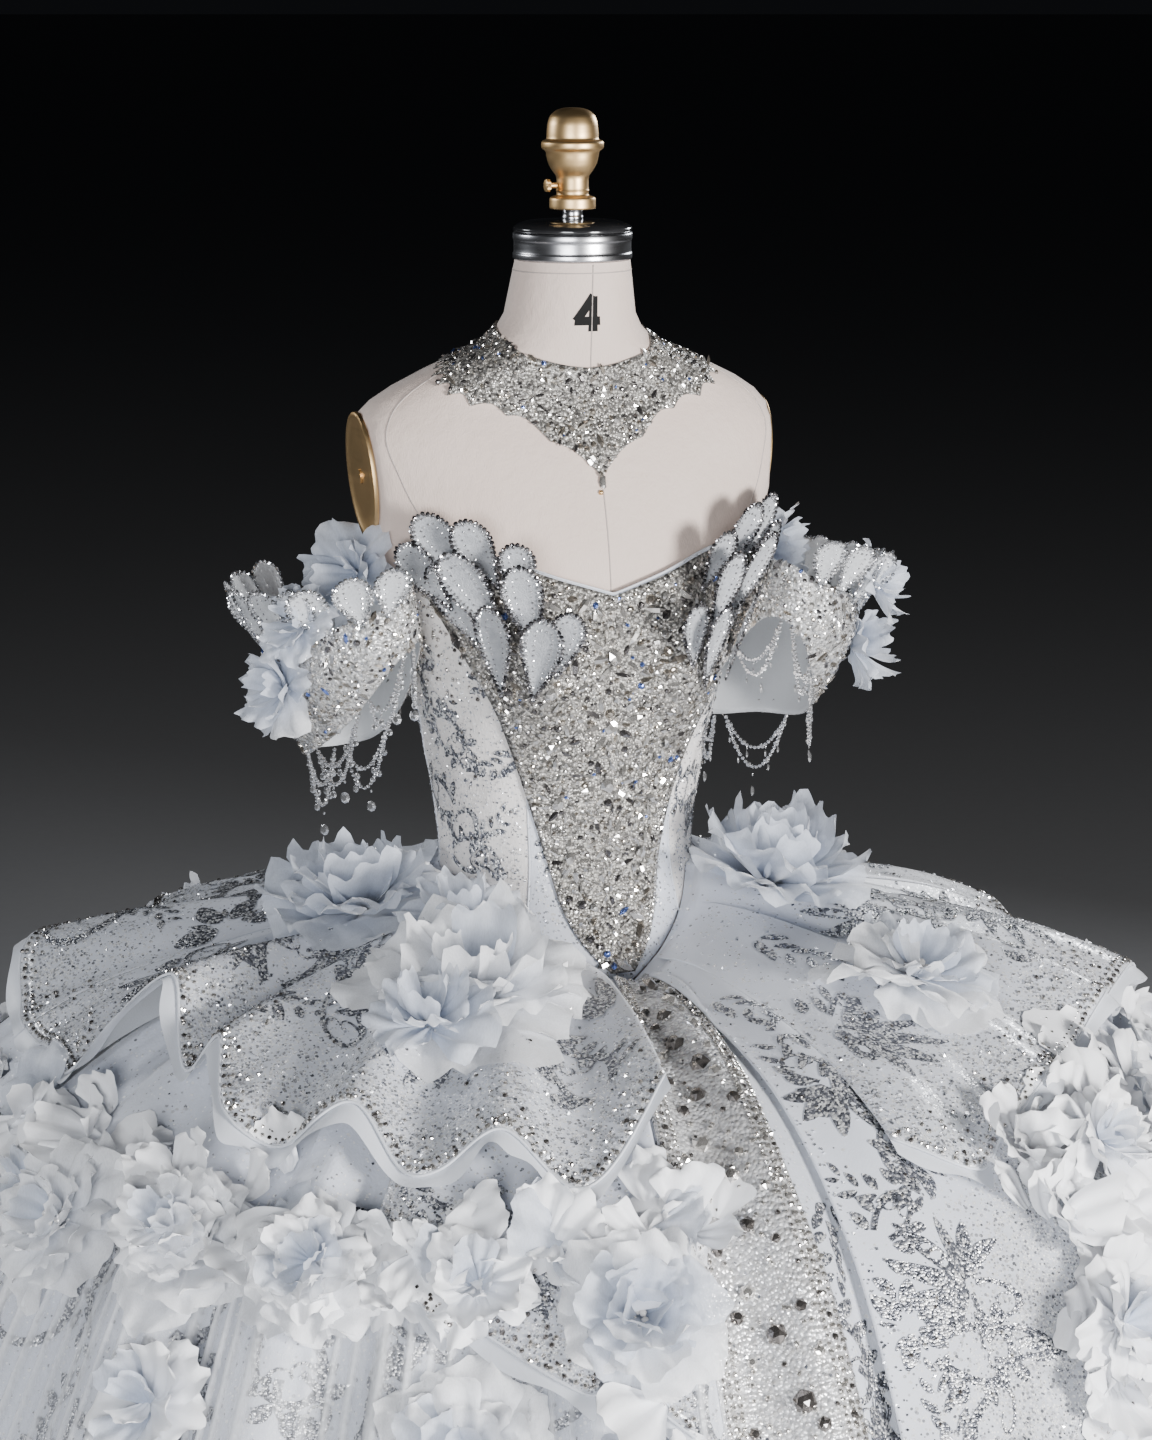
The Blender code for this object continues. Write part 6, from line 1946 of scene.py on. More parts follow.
class Flowers:
    """Organza blooms and the crumpled organza round them, resting on the cloth below."""

    def __init__(self, cloths: Sequence[bpy.types.Object]) -> None:
        """Take the cloths that flowers rest on."""
        self.cloths = cloths
        self.ends: list[int] = []
        from mathutils.bvhtree import BVHTree

        points: list[Array] = []
        faces: list[Array] = []
        count = 0
        for cloth in cloths:
            mesh = cloth.data
            flat = np.empty(len(mesh.vertices) * 3, dtype=np.float32)
            mesh.vertices.foreach_get("co", flat)
            corner = np.empty(len(mesh.loops), dtype=np.int32)
            mesh.loops.foreach_get("vertex_index", corner)
            self.ends.append(len(mesh.polygons))
            points.append(flat.reshape(-1, 3))
            faces.append(corner.reshape(-1, 4) + count)
            count += len(mesh.vertices)
        self.tree = BVHTree.FromPolygons(np.concatenate(points).tolist(), np.concatenate(faces).tolist())

    def clear(self, grid: Array, normal: Array, gap: float) -> Array:
        """Raise the points of a petal that lie in the cloth until they clear it."""
        found = grid.reshape(-1, 3).copy()
        line = Vector(-normal)
        for k, place in enumerate(found):
            hit = self.tree.ray_cast(Vector(place + normal * 0.05), line, 0.05 + gap)
            if hit[0] is not None:
                found[k] = place + normal * (0.05 + gap - hit[3])
        return found.reshape(grid.shape)

    def under(self, point: Array, normal: Array) -> str:
        """The name of the cloth that a flower at this point rests on."""
        face = self.tree.ray_cast(Vector(point + normal * 0.12), Vector(-normal), 0.25)[2]
        return self.cloths[int(np.searchsorted(np.cumsum(self.ends), face, side="right"))].name

    def seat(self, point: Array, normal: Array) -> Array:
        """Where a line through this point, along the normal, meets the cloth."""
        hit = self.tree.ray_cast(Vector(point + normal * 0.12), Vector(-normal), 0.25)
        return point if hit[0] is None else np.array(hit[0])

    def petal(
        self, root: Array, along: Array, normal: Array, length: float, wide: float, cup: float, rng: np.random.Generator
    ) -> Array:
        """The grid of one crumpled organza petal.

        Args:
            root: Where it is gathered.
            along: Which way it reaches.
            normal: Which way its face looks.
            length: How far it reaches.
            wide: The share of its length that it is wide.
            cup: How far it rises.
            rng: What makes it differ.

        Returns:
            Rows from its root to its ragged tip.
        """
        t, s = np.meshgrid(np.linspace(0, 1, 8), np.linspace(-1, 1, 13), indexing="ij")
        waves = rng.random(6) * 2 * math.pi
        beside = np.cross(normal, along)
        half = 0.5 * wide * length * (0.10 + 0.90 * np.sin(math.pi * (0.03 + 0.66 * t)))
        half = half * (1 + 0.07 * np.sin(8 * t + waves[0]))
        tip = t * (1 - 0.20 * s**2 * t**2) * (1 + 0.07 * np.sin(4 * s + waves[1]) * t**2 + 0.025 * np.sin(15 * s + waves[2]) * t**3)
        pleats = 0.045 * length * np.sin(2.6 * math.pi * s + waves[3]) * np.sin(math.pi * t**0.7)
        crush = 0.022 * length * np.sin(7 * s + 9 * t + waves[4]) * np.sin(6 * t - 5 * s + waves[5]) * t
        rim = 0.075 * length * np.sin(2.4 * math.pi * s + waves[2]) * t**3
        rise = cup * length * t**1.25 - 0.20 * length * t**4 + pleats + crush + rim
        rise = rise + 0.16 * length * rng.normal() * s * t
        reach = length * tip * (1 - 0.34 * cup * t)
        return root + along * reach[..., None] + beside * (half * s)[..., None] + normal * rise[..., None]

    def bloom(
        self,
        net: Net,
        centre: Array,
        normal: Array,
        radius: float,
        blue: float,
        turn: float,
        seed: int,
        stand: float = 0.0,
        small: bool = False,
    ) -> None:
        """Gather one bloom.

        Args:
            net: White organza is look 0, pale blue 1, pearls 2 and stones 3.
            centre: Where it is seated.
            normal: Which way it faces.
            radius: Its outer radius.
            blue: The share of pale blue petals.
            turn: How far it is turned.
            seed: What makes its petals differ.
            stand: How much further its petals rise.
            small: Whether it has fewer petals, all narrow, and no centre of pearls.
        """
        rng = np.random.default_rng(seed)
        normal = unit(np.asarray(normal, float))
        axes = facing(normal[None], np.array([turn]))[0]
        # size, petals, how far they rise, share of their length that they are wide
        whorls = ((1.15, 6, 0.08, 1.0), (1.0, 6, 0.26, 0.95), (0.76, 5, 0.52, 1.0), (0.50, 4, 0.85, 1.1))
        if small:
            whorls = ((1.15, 5, 0.15, 0.80), (0.95, 4, 0.45, 0.78), (0.62, 3, 0.85, 0.85))
        for level, (size, count, cup, wide) in enumerate(whorls):
            cup = cup + stand * (0.4 + 0.2 * level)
            for k in range(count):
                heading = 2 * math.pi * (k + 0.5 * level + rng.uniform(-0.25, 0.25)) / count
                along = axes[0] * math.cos(heading) + axes[1] * math.sin(heading)
                length = radius * size * rng.uniform(0.82, 1.12)
                grid = self.petal(centre + normal * 0.04 * radius * level, along, normal, length, wide, cup, rng)
                if level < 2:
                    grid = self.clear(grid, normal, 0.0015 + 0.001 * level)
                add_sheet(net, grid, look=1 if blue > rng.random() + 0.22 * (2 - level) else 0, shade=ROOTS)
        if not small:
            count = 9
            angle = np.arange(count) * 2.4
            reach = 0.045 * radius * np.sqrt(np.arange(count)) * 1.35
            offset = np.stack([reach * np.cos(angle), reach * np.sin(angle), 0.24 * radius - reach * 0.5], 1)
            places = centre + offset @ axes
            frames = facing(np.tile(normal, (count, 1)), angle)
            sizes = np.full((count, 3), 0.105 * radius)
            half = count // 2
            add_copies(net, BEAD, places[:half], frames[:half], sizes[:half], np.full(half, 0.5), look=2)
            add_copies(net, STONE, places[half:], frames[half:], sizes[half:], np.full(count - half, 0.6), look=3)

    def crumple(self, net: Net, angle: float, run: float, radius: float, seed: int) -> None:
        """Gather a puff of loose organza loops at a place on the skirt."""
        rng = np.random.default_rng(seed)
        base = skirt_point(math.radians(angle), run)
        normal = unit(skirt_point(math.radians(angle), run, 0.1) - base)
        across = facing(normal[None], np.zeros(1))[0]
        for _ in range(11):
            where = base + (across[0] * rng.normal(0, 0.40) + across[1] * rng.normal(0, 0.40)) * radius
            seat = self.seat(where, normal)
            heading = rng.random() * 6.28
            along = across[0] * math.cos(heading) + across[1] * math.sin(heading)
            length = radius * rng.uniform(0.9, 1.5)
            grid = self.petal(seat, along, normal, length, rng.uniform(0.7, 1.2), rng.uniform(0.1, 0.8), rng)
            add_sheet(net, self.clear(grid, normal, 0.0015), look=0 if rng.random() < 0.93 else 1, shade=0.5 * ROOTS)

    def build(self) -> None:
        """Make every bloom and the puffs between them."""
        # node, angle in degrees, run, radius, share of blue, turn, stand
        blooms = (
            ("flower_waist_front_right", -34, 0.165, 0.100, 0.12, 0.3, 0.35),
            ("flower_hip_right", -80, 0.080, 0.080, 1.5, 0.9, 0.55),
            ("flower_hip_left", 50, 0.070, 0.078, 1.4, 0.5, 0.8),
            ("flower_peplum_left", 32, 0.230, 0.072, 0.65, 1.1, 0.2),
            ("flower_short_tier", -15, 0.470, 0.058, 0.7, 0.2, 0.6),
            ("flower_skirt_01", -66, 0.450, 0.062, 0.25, 0.6, 0.2),
            ("flower_skirt_02", -51, 0.445, 0.060, 0.15, 0.2, 0.3),
            ("flower_skirt_03", -40, 0.450, 0.058, 0.15, 1.0, 0.2),
            ("flower_skirt_04", -27, 0.560, 0.060, 0.30, 0.4, 0.4),
            ("flower_skirt_05", 38, 0.480, 0.062, 0.10, 0.8, 0.3),
            ("flower_skirt_06", 27, 0.590, 0.062, 0.30, 0.1, 0.3),
            ("flower_skirt_07", 62, 0.500, 0.062, 0.4, 0.7, 0.2),
            ("flower_skirt_08", -105, 0.500, 0.062, 0.4, 0.3, 0.2),
            ("flower_skirt_09", 118, 0.500, 0.062, 0.5, 1.0, 0.2),
            ("flower_skirt_10", 172, 0.500, 0.062, 0.5, 0.5, 0.2),
        )
        looks = (Look.WHITE_ORGANZA, Look.BLUE_ORGANZA, Look.PEARL, Look.STONES)
        for seed, (node, angle, run, radius, blue, turn, stand) in enumerate(blooms):
            base = skirt_point(math.radians(angle), run)
            normal = unit(skirt_point(math.radians(angle), run, 0.1) - base)
            net = Net()
            self.bloom(net, self.seat(base, normal), normal, radius, blue, turn, 900 + seed, stand)
            piece = settle(net.build(node.replace("flower", "bloom"), *looks), "flower_organza", node)
            declare(piece, (16 * radius, 1.2 * radius), "gathered", [self.under(base, normal)], 1)
        for word in ("right", "left"):
            low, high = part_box("flower_sleeve_" + word)
            side = -1 if word == "right" else 1
            normal = unit(np.array([side, -0.35, 0.15]))
            centre = np.array((low + high) / 2) - normal * 0.012
            net = Net()
            self.bloom(net, centre, normal, 0.046, 1.4, 0.4, 950 + side, 0.5, True)
            # where further small blooms sit on the right sleeve, and their radius; mirrored on the left
            for k, (x, y, z, size) in enumerate(((-0.246, -0.070, 1.280, 0.036), (-0.180, -0.005, 1.305, 0.046))):
                place = np.array([-side * x, y, z])
                self.bloom(net, place, unit(np.array([side, -0.6, 0.5 - 0.3 * k])), size, 1.5, k, 960 + k + side, 0.5, True)
            piece = settle(net.build("bloom_sleeve_" + word, *looks), "flower_organza", "flower_sleeve_" + word)
            declare(piece, (0.70, 0.055), "gathered", ["sleeve_band_" + word], 1)
        # angle in degrees, run, radius
        puffs = (
            (-84, 0.40, 0.046), (-71, 0.39, 0.044), (-63, 0.41, 0.042), (-56, 0.40, 0.038), (-47, 0.41, 0.040),
            (-35, 0.435, 0.038), (-29, 0.43, 0.034), (-22, 0.42, 0.038), (-15, 0.41, 0.036), (-10, 0.40, 0.032),
            (-14, 0.58, 0.040),
            (24, 0.395, 0.040), (33, 0.40, 0.044), (41, 0.38, 0.046), (48, 0.41, 0.046), (22, 0.445, 0.040),
            (28, 0.46, 0.046), (35, 0.48, 0.046), (23, 0.505, 0.044), (29, 0.53, 0.046), (20, 0.56, 0.044),
            (25, 0.60, 0.044), (18, 0.62, 0.040), (60, 0.42, 0.046), (75, 0.42, 0.046), (92, 0.43, 0.046),
            (112, 0.44, 0.046), (140, 0.45, 0.046), (-100, 0.42, 0.046), (-125, 0.44, 0.046), (-155, 0.45, 0.046),
        )
        # small blooms among them: angle in degrees, run, radius
        hearts = ((-74, 0.44, 0.048), (-53, 0.435, 0.046), (-40, 0.445, 0.046), (-27, 0.45, 0.046), (44, 0.44, 0.050),
                  (30, 0.42, 0.048), (21, 0.535, 0.050), (-50, 0.555, 0.052))
        net = Net()
        for seed, (angle, run, radius) in enumerate(puffs):
            self.crumple(net, angle, run, radius, 700 + seed)
        for seed, (angle, run, radius) in enumerate(hearts):
            base = skirt_point(math.radians(angle), run)
            normal = unit(skirt_point(math.radians(angle), run, 0.1) - base)
            seat = self.seat(base, normal) + normal * 0.012
            self.bloom(net, seat, normal, radius, 0.55, 0.7 * seed, 800 + seed, 0.4, True)
        # blue petals beside the large bloom at the waist
        for angle, run, radius in ((-37, 0.235, 0.058), (-42, 0.085, 0.050)):
            base = skirt_point(math.radians(angle), run)
            normal = unit(skirt_point(math.radians(angle), run, 0.1) - base)
            self.bloom(net, self.seat(base, normal) + normal * 0.01, normal, radius, 1.6, 0.2, 850 + int(angle), 0.6, True)
        piece = settle(net.build("organza_puffs", Look.TUFT, Look.BLUE_ORGANZA), "flower_organza")
        declare(piece, (4.5, 0.22), "gathered", ["skirt_veil", "gore_front_right", "gore_front_left"], 1)


@dataclass
class Sleeve:
    """An off-the-shoulder band on one side with its embroidery, loop petals and bead swags."""

    side: int
    word: str

    def __post_init__(self) -> None:
        """Find how far the solid's band was drawn in."""
        turns = np.arange(20) * 18.0
        plain = sleeve_point(turns[None, :], np.linspace(0, 1, 5)[:, None])[..., 0].min()
        low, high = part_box("sleeve_" + self.word)
        outer = low[0] if self.side < 0 else -high[0]
        self.draw_in = float(outer - plain)

    def point(self, turn: Array | float, share: Array | float, lift: Array | float = 0.0) -> Array:
        """A point of the band's outer face."""
        found = sleeve_point(turn, share, lift) + np.array([self.draw_in, 0.0, 0.0])
        return found * np.array([-self.side, 1.0, 1.0])

    def band(self) -> None:
        """Make the band and its embroidery."""
        turns = np.linspace(0, 360, 145)[None, :]
        share = np.linspace(0, 1, 26)[:, None]
        wave = 0.0010 * np.sin(np.radians(turns) * 11) * np.sin(share * math.pi)
        grid = self.point(turns, share, wave)
        net = Net()
        add_shell(net, grid[:, :-1], -self.side, 0.0012, wrap=True, lining=1)
        band = net.build("sleeve_band_" + self.word, Look.SLEEVE_BEADS, Look.LINING)
        settle(band, "sleeve_organza", "sleeve_" + self.word)
        declare(band, (0.56, 0.14), "hung", ["bodice_side_" + self.word + "_cloth"], 2)
        jewels = Jewels(Patch(grid, -self.side), 80 + self.side)
        for v, width in ((0.03, 0.0042), (0.10, 0.0030), (0.92, 0.0030), (0.97, 0.0040)):
            jewels.row(0.011, v, 0.989, v, width, 0.6)
        for k in range(14):
            jewels.medallion((k + 0.5) / 14, 0.52 + 0.10 * math.sin(k * 2.1), 0.013, 6)
        jewels.fill((0.0060, 0.0044, 0.0034), (400, 1400, 2000))
        settle(jewels.net.build("sleeve_stones_" + self.word, Look.STONES, smooth=False), "sleeve_organza")
        sewn = Embroidery(jewels.patch, 90 + self.side)
        sewn.strew(2500, lambda u, v: np.full(len(u), 0.8), 0.0021)
        sewn.make("sleeve_glitter_" + self.word, "sleeve_organza")

    def petals(self) -> None:
        """Make the loop petals along the upper edge."""
        rng = np.random.default_rng(140 + self.side)
        cloth, beads = Net(), Net()
        for k, turn in enumerate(np.linspace(-62, 88, 11)):
            root, normal, up, side = frame_on(self.point, float(turn), 0.90, 2.0)
            lean = 0.30 * math.sin(2.1 * k)
            along = unit(up * math.cos(lean) + side * math.sin(lean) + normal * 0.42)
            normal = unit(normal - along * np.dot(normal, along))
            size = 0.046 + 0.010 * math.sin(0.3 * k)
            WirePetal(root + normal * 0.003, along, normal, size, 0.6 * size, 0.10, 7).add(cloth, beads, rng)
        piece = cloth.build("sleeve_loops_" + self.word, Look.SHEER_ORGANZA)
        settle(piece, "petal_organza", "sleeve_petals_" + self.word)
        rims = beads.build("sleeve_loop_beads_" + self.word, Look.CLEAR, Look.CLEAR, smooth=False)
        settle(rims, "petal_organza")
        declare(piece, (0.16, 0.075), "stretched", ["sleeve_band_" + self.word], 1, rims)

    def swags(self) -> None:
        """Make the strings of beads under the lower edge, and their drops."""
        net = Net()
        for first, last, sag, drop in SWAGS:
            for level in (1.0, 0.62):
                ends = self.point(np.array([first, last]), 0.0, -0.0007) - [0.0, 0.0, 0.001]
                t = np.linspace(0, 1, 160)
                path = ends[0] + (ends[1] - ends[0]) * t[:, None]
                path[:, 2] -= 4 * sag * level * t * (1 - t)
                far = np.concatenate([[0], np.cumsum(np.linalg.norm(np.diff(path, axis=0), axis=1))])
                wanted = np.arange(0.002, far[-1], 0.0039)
                places = np.stack([np.interp(wanted, far, path[:, k]) for k in range(3)], axis=1)
                count = len(places)
                axes = facing(np.tile([[0.0, 0.0, 1.0]], (count, 1)), np.zeros(count))
                sizes = np.where(np.arange(count) % 5 == 2, 0.0052, 0.0036)[:, None] * np.ones((1, 3))
                add_copies(net, BEAD, places, axes, sizes, np.full(count, 0.6))
                face = facing(unit(np.array([[self.side * 1.0, -0.8, 0.1]])), np.zeros(1))
                for k in range(3, count - 3, 5):
                    middle = level == 1.0 and abs(k - count / 2) <= 2.5
                    hang = drop if middle else 0.0085
                    star = 0.0095 if middle else 0.0062
                    for down, size in ((0.35 * hang, (0.0026,) * 3), (hang, (star, star, 0.5 * star))):
                        place = places[k] - [0.0, 0.0, down]
                        add_copies(net, DROP, place[None], face, np.array([size]), np.array([0.6]))
        settle(net.build("sleeve_swag_beads_" + self.word, Look.CLEAR, smooth=False), "bead_strings", "sleeve_swags_" + self.word)

    def build(self) -> None:
        """Make the whole sleeve."""
        self.band()
        self.petals()
        self.swags()


# The dress form -----------------------------------------------------------------------------------------


@dataclass
class DressForm:
    """The limbless linen form with its neck fittings, arm plates, pole and base."""

    columns: int = 108
    rows: int = 64

    def neck(self, angle: Array | float, height: Array | float, ease: float = 0.0) -> Array:
        """A point of the torso, up to the top of its neck."""
        angle, height = np.broadcast_arrays(np.asarray(angle, float), np.asarray(height, float))
        low = form_point(angle, np.minimum(height, NECK_ROOT), ease)
        share = np.clip((height - NECK_ROOT) / (NECK_TOP - NECK_ROOT), 0, 1)[..., None]
        middle = self.middle
        ring = around(NECK_TOP_RADIUS + ease, NECK_TOP_RADIUS + ease, angle, NECK_TOP)
        ring = ring + np.array([0.0, middle, 0.0])
        point = low * (1 - share) + ring * share
        return point

    @property
    def middle(self) -> float:
        """How far forward the neck's top stands."""
        low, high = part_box("form_neck_ring")
        return float(low[1] + high[1]) / 2

    def torso(self) -> None:
        """Make the linen torso and its sewn seams."""
        angle = np.linspace(-math.pi, math.pi, self.columns + 1)[None, :-1]
        heights = np.concatenate([np.linspace(0.80, NECK_ROOT, self.rows), np.linspace(NECK_ROOT, NECK_TOP, 9)[1:]])
        grid = self.neck(angle, heights[:, None])
        ends = [np.repeat(row.mean(axis=0)[None, None] * [1, 1, 1], self.columns, axis=1) for row in (grid[0], grid[-1])]
        ends = [end + (row[None] - end) * 0.01 for end, row in zip(ends, (grid[0], grid[-1]))]
        grid = np.concatenate([ends[0], grid, ends[1]], axis=0)
        net = Net()
        add_sheet(net, grid, wrap=True)
        torso = net.build("form_linen_cover", Look.LINEN)
        torso.data.set_sharp_from_angle(angle=math.radians(50))
        settle(torso, "form_linen", "form_torso")
        seams = Net()
        level = np.linspace(1.245, 1.552, 60)
        paths = [self.neck(np.full(60, turn), level, -0.0001) for turn in (0.0, math.pi)]
        for side in (-1, 1):
            turns = side * np.interp(level, (1.245, 1.34, 1.395, 1.45, 1.47), np.radians((34, 50, 58, 67, 72)))
            paths.append(self.neck(turns, np.minimum(level, 1.468), -0.0001)[:44])
            back = side * (math.pi - np.interp(level, (1.245, 1.34, 1.45), np.radians((30, 42, 64))))
            paths.append(self.neck(back, np.minimum(level, 1.468), -0.0001)[:44])
            paths.append(self.neck(np.full(60, side * 1.60), level, -0.0001)[:22])
        for path in paths:
            seams.add(*tube(path, 0.00065, 6))
        around_neck = self.neck(np.linspace(0, 2 * math.pi, 97)[:-1], np.full(96, 1.545), -0.0001)
        seams.add(*tube(around_neck, 0.0006, 6, closed=True))
        pin = self.neck(np.array([-0.014]), np.array([1.374]), 0.001)
        add_copies(seams, BEAD, pin, facing(np.array([[0.0, -1.0, 0.2]]), np.zeros(1)), np.full((1, 3), 0.0045), np.full(1, 0.5), look=1)
        settle(seams.build("form_seams", Look.SEAM_SHADE, Look.BRASS), "form_linen")

    def number(self) -> None:
        """Paint the size number on the neck in three strokes."""
        net = Net()
        strokes = (((0.20, 1.02), (-0.50, 0.30)), ((-0.55, 0.30), (0.50, 0.30)), ((0.20, 1.0), (0.20, 0.0)))
        for (x0, y0), (x1, y1) in strokes:
            along = np.array([x1 - x0, (y1 - y0) * 1.5])
            beside = np.array([-along[1], along[0]]) / np.linalg.norm(along) * 0.185
            t = np.linspace(0, 1, 12)[:, None]
            middle = np.array([x0, y0]) + (np.array([x1, y1]) - [x0, y0]) * t
            sides = np.stack([middle - beside / [1, 1.5], middle + beside / [1, 1.5]], axis=1)
            turn = -0.055 + sides[..., 0] * 0.019 / 0.052
            grid = self.neck(turn, 1.499 + sides[..., 1] * 0.028, 0.0004)
            inner = self.neck(turn, 1.499 + sides[..., 1] * 0.028, 0.0001)
            points = np.concatenate([grid.reshape(-1, 3), inner.reshape(-1, 3)])
            quads = grid_quads(12, 2)
            net.add(points, np.concatenate([quads, quads[:, ::-1] + 24]))
        settle(net.build("form_size_number", Look.INK), "form_linen")

    def lathe(self, net: Net, profile: Sequence[tuple[float, float]], look: int = 0, sides: int = 56) -> None:
        """Gather a turned shape with softly broken edges.

        Args:
            net: Where it goes.
            profile: Its (radius, height) pairs from foot to top.
            look: Its look.
            sides: How many sides it has.
        """
        path = np.array(profile, float)
        for _ in range(2):
            cut = np.concatenate([path[:-1] * 0.82 + path[1:] * 0.18, path[:-1] * 0.18 + path[1:] * 0.82], axis=1)
            path = np.concatenate([path[:1], cut.reshape(-1, 2), path[-1:]])
        path = np.concatenate([[[0.0003, path[0, 1]]], path, [[0.0003, path[-1, 1]]]])
        angle = np.arange(sides) * 2 * math.pi / sides
        grid = around(path[:, :1], path[:, :1], angle[None, :], path[:, 1:])
        add_sheet(net, grid + np.array([0.0, self.middle, 0.0]), wrap=True, look=look)

    def fittings(self) -> None:
        """Make the neck ring, the cap, the rod, the finial and its screw."""
        foot = {name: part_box(name) for name in ("form_neck_ring", "form_cap_plate", "finial_rod", "finial")}
        ring, cap, rod, finial = (float(foot[name][0][2]) for name in foot)
        radius = NECK_TOP_RADIUS + 0.0015
        pieces = (
            ("neck_ring_turned", "polished_steel", "form_neck_ring", Look.STEEL,
             ((NECK_TOP_RADIUS, ring), (radius, ring + 0.001), (radius, ring + 0.005), (radius - 0.0008, ring + 0.006),
              (radius - 0.0008, ring + 0.015), (radius, ring + 0.016), (radius, ring + 0.0218), (0.040, ring + 0.022))),
            ("cap_plate_turned", "black_gloss", "form_cap_plate", Look.BLACK,
             ((radius - 0.001, cap), (radius, cap + 0.0008), (radius, cap + 0.003), (0.044, cap + 0.006),
              (0.036, cap + 0.0085), (0.020, cap + 0.0094), (0.012, cap + 0.0095))),
            ("finial_rod_turned", "polished_steel", "finial_rod", Look.STEEL,
             ((0.0085, rod), (0.0085, rod + 0.0015), (0.0080, rod + 0.0025), (0.0080, rod + 0.0050), (0.0085, rod + 0.0070))),
            ("finial_turned", "satin_brass", "finial", Look.BRASS,
             tuple((r, finial + h) for r, h in (
                 (0.0150, 0.0), (0.0182, 0.0004), (0.0185, 0.0020), (0.0185, 0.0085), (0.0175, 0.0098), (0.0128, 0.0110),
                 (0.0128, 0.0140), (0.0133, 0.0150), (0.0128, 0.0160), (0.0128, 0.0260), (0.0160, 0.0300), (0.0190, 0.0350),
                 (0.0205, 0.0400), (0.0215, 0.0460), (0.0247, 0.0480), (0.0250, 0.0500), (0.0250, 0.0525), (0.0240, 0.0540),
                 (0.0208, 0.0552), (0.0207, 0.0600), (0.0200, 0.0680), (0.0178, 0.0740), (0.0130, 0.0780), (0.0070, 0.0797),
                 (0.0015, 0.0800)))),
        )
        for name, slot, node, look, profile in pieces:
            net = Net()
            self.lathe(net, profile)
            turned = net.build(name, look)
            turned.data.set_sharp_from_angle(angle=math.radians(40))
            settle(turned, slot, node)
        low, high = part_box("finial_thumb_screw")
        net = Net()
        axis = np.array([-1.0, 0.0, 0.0])
        start = np.array([-0.0131, self.middle, finial + 0.019])
        reach = np.array((0.0, 0.0008, 0.0056, 0.0062, 0.0066, 0.0096, 0.0100, 0.0100))
        wide = np.array((0.0018, 0.0022, 0.0022, 0.0040, 0.0048, 0.0050, 0.0044, 0.0002))
        angle = np.arange(40) * 2 * math.pi / 40
        knurl = 1 + 0.05 * np.cos(angle * 10)[None, :] * (wide > 0.0045)[:, None]
        ring_grid = start + axis * reach[:, None, None]
        ring_grid = ring_grid + (wide[:, None] * knurl)[..., None] * np.stack([0 * angle, np.cos(angle), np.sin(angle)], 1)[None]
        add_sheet(net, ring_grid, wrap=True)
        screw = net.build("thumb_screw_knurled", Look.BRASS)
        screw.data.set_sharp_from_angle(angle=math.radians(40))
        settle(screw, "satin_brass", "finial_thumb_screw")

    def arm_plates(self) -> None:
        """Make the two oval plates with their screws."""
        for side, word in ((-1, "right"), (1, "left")):
            lean = SHOULDER_PLANE_LEAN
            out = np.array([1.0, 0.0, -lean]) / math.hypot(1.0, lean)
            up = np.array([lean, 0.0, 1.0]) / math.hypot(1.0, lean)
            centre = np.array([SHOULDER_PLANE, 0.008, SHOULDER_PLANE_HEIGHT - 0.002])
            profile = ((0.01, 0.0003), (1.0, 0.0003), (1.0, 0.0030), (0.985, 0.0038), (0.95, 0.0040), (0.90, 0.0036), (0.88, 0.0030))
            profile += ((0.60, 0.0030), (0.30, 0.0031), (0.11, 0.0032), (0.11, 0.0050), (0.09, 0.0056), (0.005, 0.0060))
            angle = np.arange(72) * 2 * math.pi / 72
            rings = []
            for scale, depth in profile:
                flat = np.array([0.0, 1.0, 0.0]) * (0.036 * scale * np.cos(angle))[:, None] + up * (0.052 * scale * np.sin(angle))[:, None]
                rings.append(centre + out * min(depth, 0.0048) + flat)
            grid = np.stack(rings) * np.array([side, 1.0, 1.0])
            net = Net()
            add_sheet(net, grid, wrap=True)
            plate = net.build("arm_plate_turned_" + word, Look.BRASS)
            plate.data.set_sharp_from_angle(angle=math.radians(40))
            settle(plate, "satin_brass", "arm_plate_" + word)

    def stand(self) -> None:
        """Finish the pole and the base, which keep their solids."""
        for node, look in (("stand_pole", Look.STEEL), ("stand_base", Look.BLACK)):
            frame["nodes"][node].material_slots[0].material = look.material

    def build(self) -> None:
        """Make the whole form."""
        self.torso()
        self.number()
        self.fittings()
        self.arm_plates()
        self.stand()


# The studio --------------------------------------------------------------------------------------------


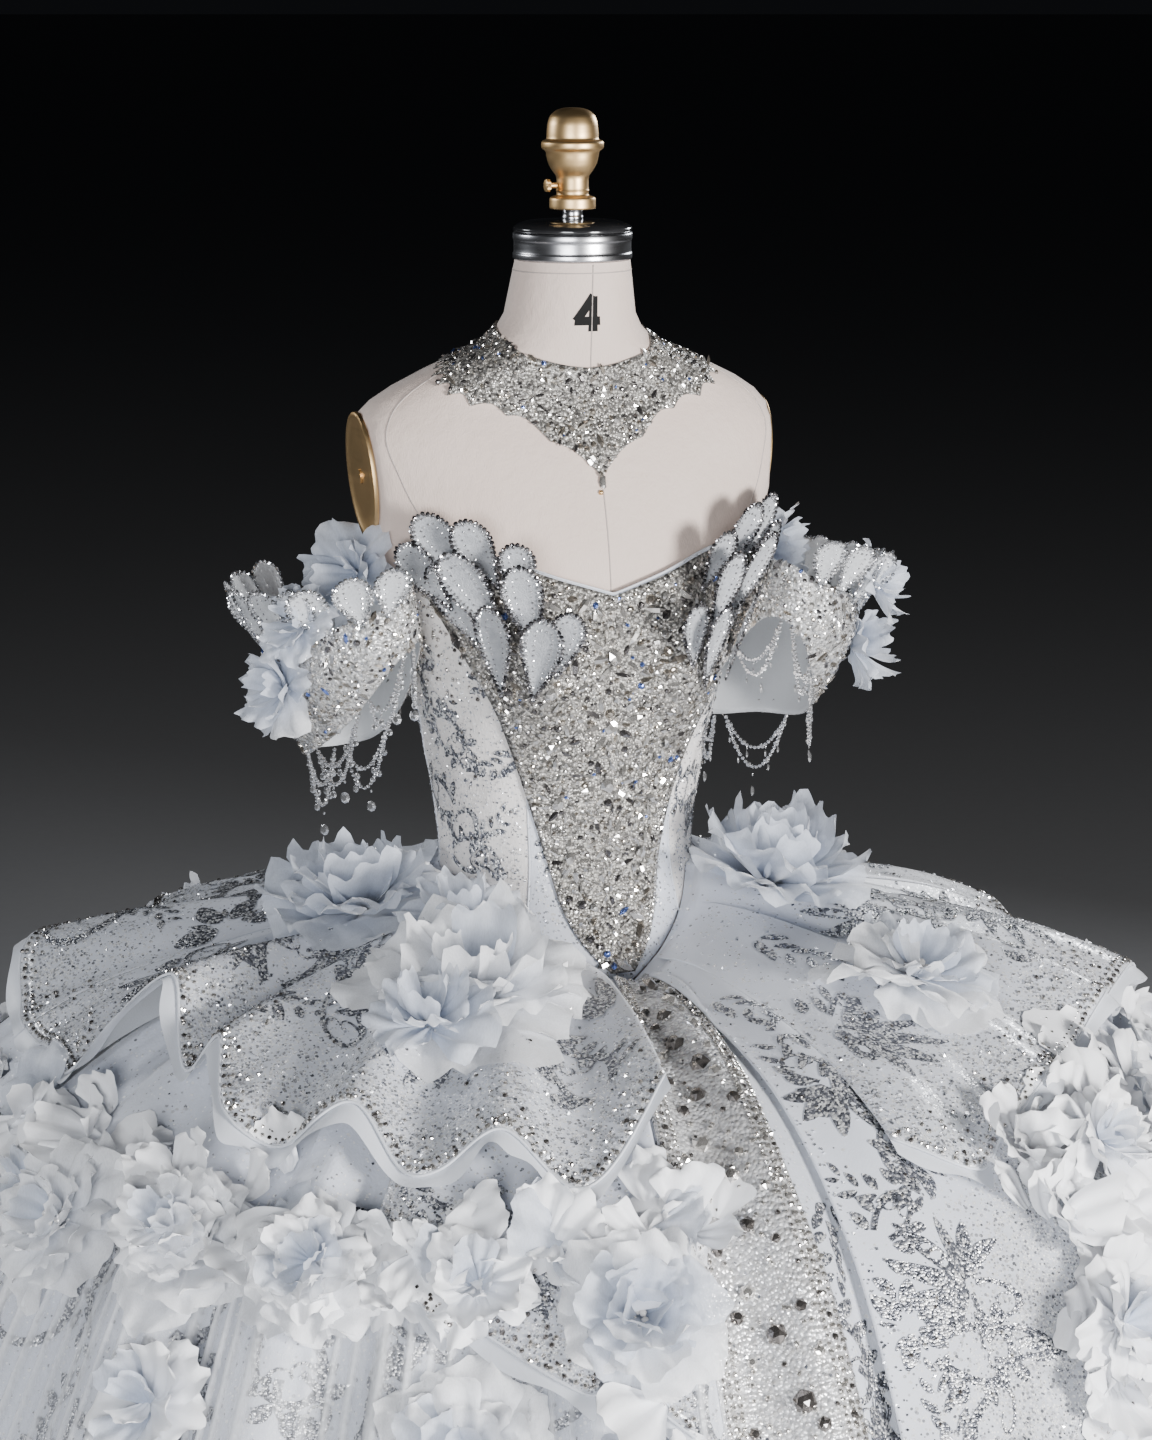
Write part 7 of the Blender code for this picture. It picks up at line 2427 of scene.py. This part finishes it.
@dataclass(frozen=True)
class Studio:
    """The camera at the photograph's angle, soft lights and a plain pale floor."""

    azimuth: float = -20.5
    distance: float = 2.6
    height: float = 1.75
    aim: float = 1.17
    lens: float = 79.82
    shift: float = 11 / 1440

    def camera(self) -> None:
        """Set the camera."""
        turn = math.radians(self.azimuth)
        data = bpy.data.cameras.new("camera")
        data.sensor_fit = "VERTICAL"
        data.sensor_height = 36.0
        data.lens = self.lens
        data.shift_x = self.shift
        data.clip_end = 2000.0
        thing = bpy.data.objects.new("camera", data)
        thing.location = (self.distance * math.sin(turn), -self.distance * math.cos(turn), self.height)
        aim = Vector((0.0, 0.0, self.aim)) - thing.location
        thing.rotation_euler = aim.to_track_quat("-Z", "Y").to_euler()
        bpy.context.scene.collection.objects.link(thing)
        bpy.context.scene.camera = thing

    def light(self, name: str, place: tuple[float, float, float], aim: tuple[float, float, float], size: float, power: float, tint: tuple[float, float, float] = (1, 1, 1)) -> None:
        """Hang one soft light.

        Args:
            name: Its name.
            place: Where it hangs.
            aim: What it points at.
            size: Its width in metres.
            power: Its power in watts.
            tint: Its colour.
        """
        data = bpy.data.lights.new(name, "AREA")
        data.shape = "RECTANGLE"
        data.size, data.size_y = size, size * 0.7
        data.energy = power
        data.color = tint
        thing = bpy.data.objects.new(name, data)
        thing.location = place
        thing.rotation_euler = (Vector(aim) - Vector(place)).to_track_quat("-Z", "Y").to_euler()
        bpy.context.scene.collection.objects.link(thing)

    def build(self) -> None:
        """Set the stage, the lights and the camera."""
        net = Net()
        radius = np.concatenate([[0.01], np.geomspace(0.5, 900.0, 16)])
        angle = np.arange(48) * 2 * math.pi / 48
        add_sheet(net, around(radius[:, None], radius[:, None], angle[None, :], -0.0005)[::-1], wrap=True)
        floor = net.build("studio_floor", Look.FLOOR)
        self.light("key", (1.3, -3.1, 1.25), (0.0, -0.1, 1.0), 0.9, 200, (1.0, 0.99, 0.98))
        self.light("front", (-1.9, -3.3, 1.5), (0.0, 0.0, 1.1), 1.4, 104, (0.95, 0.97, 1.0))
        self.light("rim_left", (-2.2, 1.4, 2.2), (-0.2, 0.0, 1.1), 0.8, 30, (0.93, 0.96, 1.0))
        self.light("rim_right", (2.2, 1.5, 2.2), (0.2, 0.0, 1.1), 0.8, 40, (0.93, 0.96, 1.0))
        world = bpy.data.worlds.new("studio_air")
        world.use_nodes = True
        world.node_tree.nodes["Background"].inputs["Color"].default_value = (0.80, 0.86, 1.0, 1.0)
        world.node_tree.nodes["Background"].inputs["Strength"].default_value = 0.006
        bpy.context.scene.world = world
        self.camera()


@dataclass
class Gown:
    """The whole part, in the order in which it is dressed."""

    stage: Studio = field(default_factory=Studio)

    def build(self) -> None:
        """Make everything."""
        self.stage.build()
        DressForm().build()
        ground = Ground()
        Skirt().build()
        Strip().build(ground)
        Veil().build(ground)
        Tiers(ground).build()
        Bodice().build()
        Plastron().build()
        Collar().build()
        for side, word in ((-1, "right"), (1, "left")):
            PetalFan(side, word).build()
            Sleeve(side, word).build()
        cloths = [thing for thing in bpy.data.objects if thing.name.startswith(("gore_", "skirt_veil")) or thing.name.endswith("_cloth")]
        cloths = [thing for thing in cloths if "glitter" not in thing.name]
        Flowers(cloths).build()


def main() -> None:
    """Dress the form."""
    logging.basicConfig(level=logging.INFO, format="%(message)s")
    Gown().build()


if __name__ == "__main__":
    main()
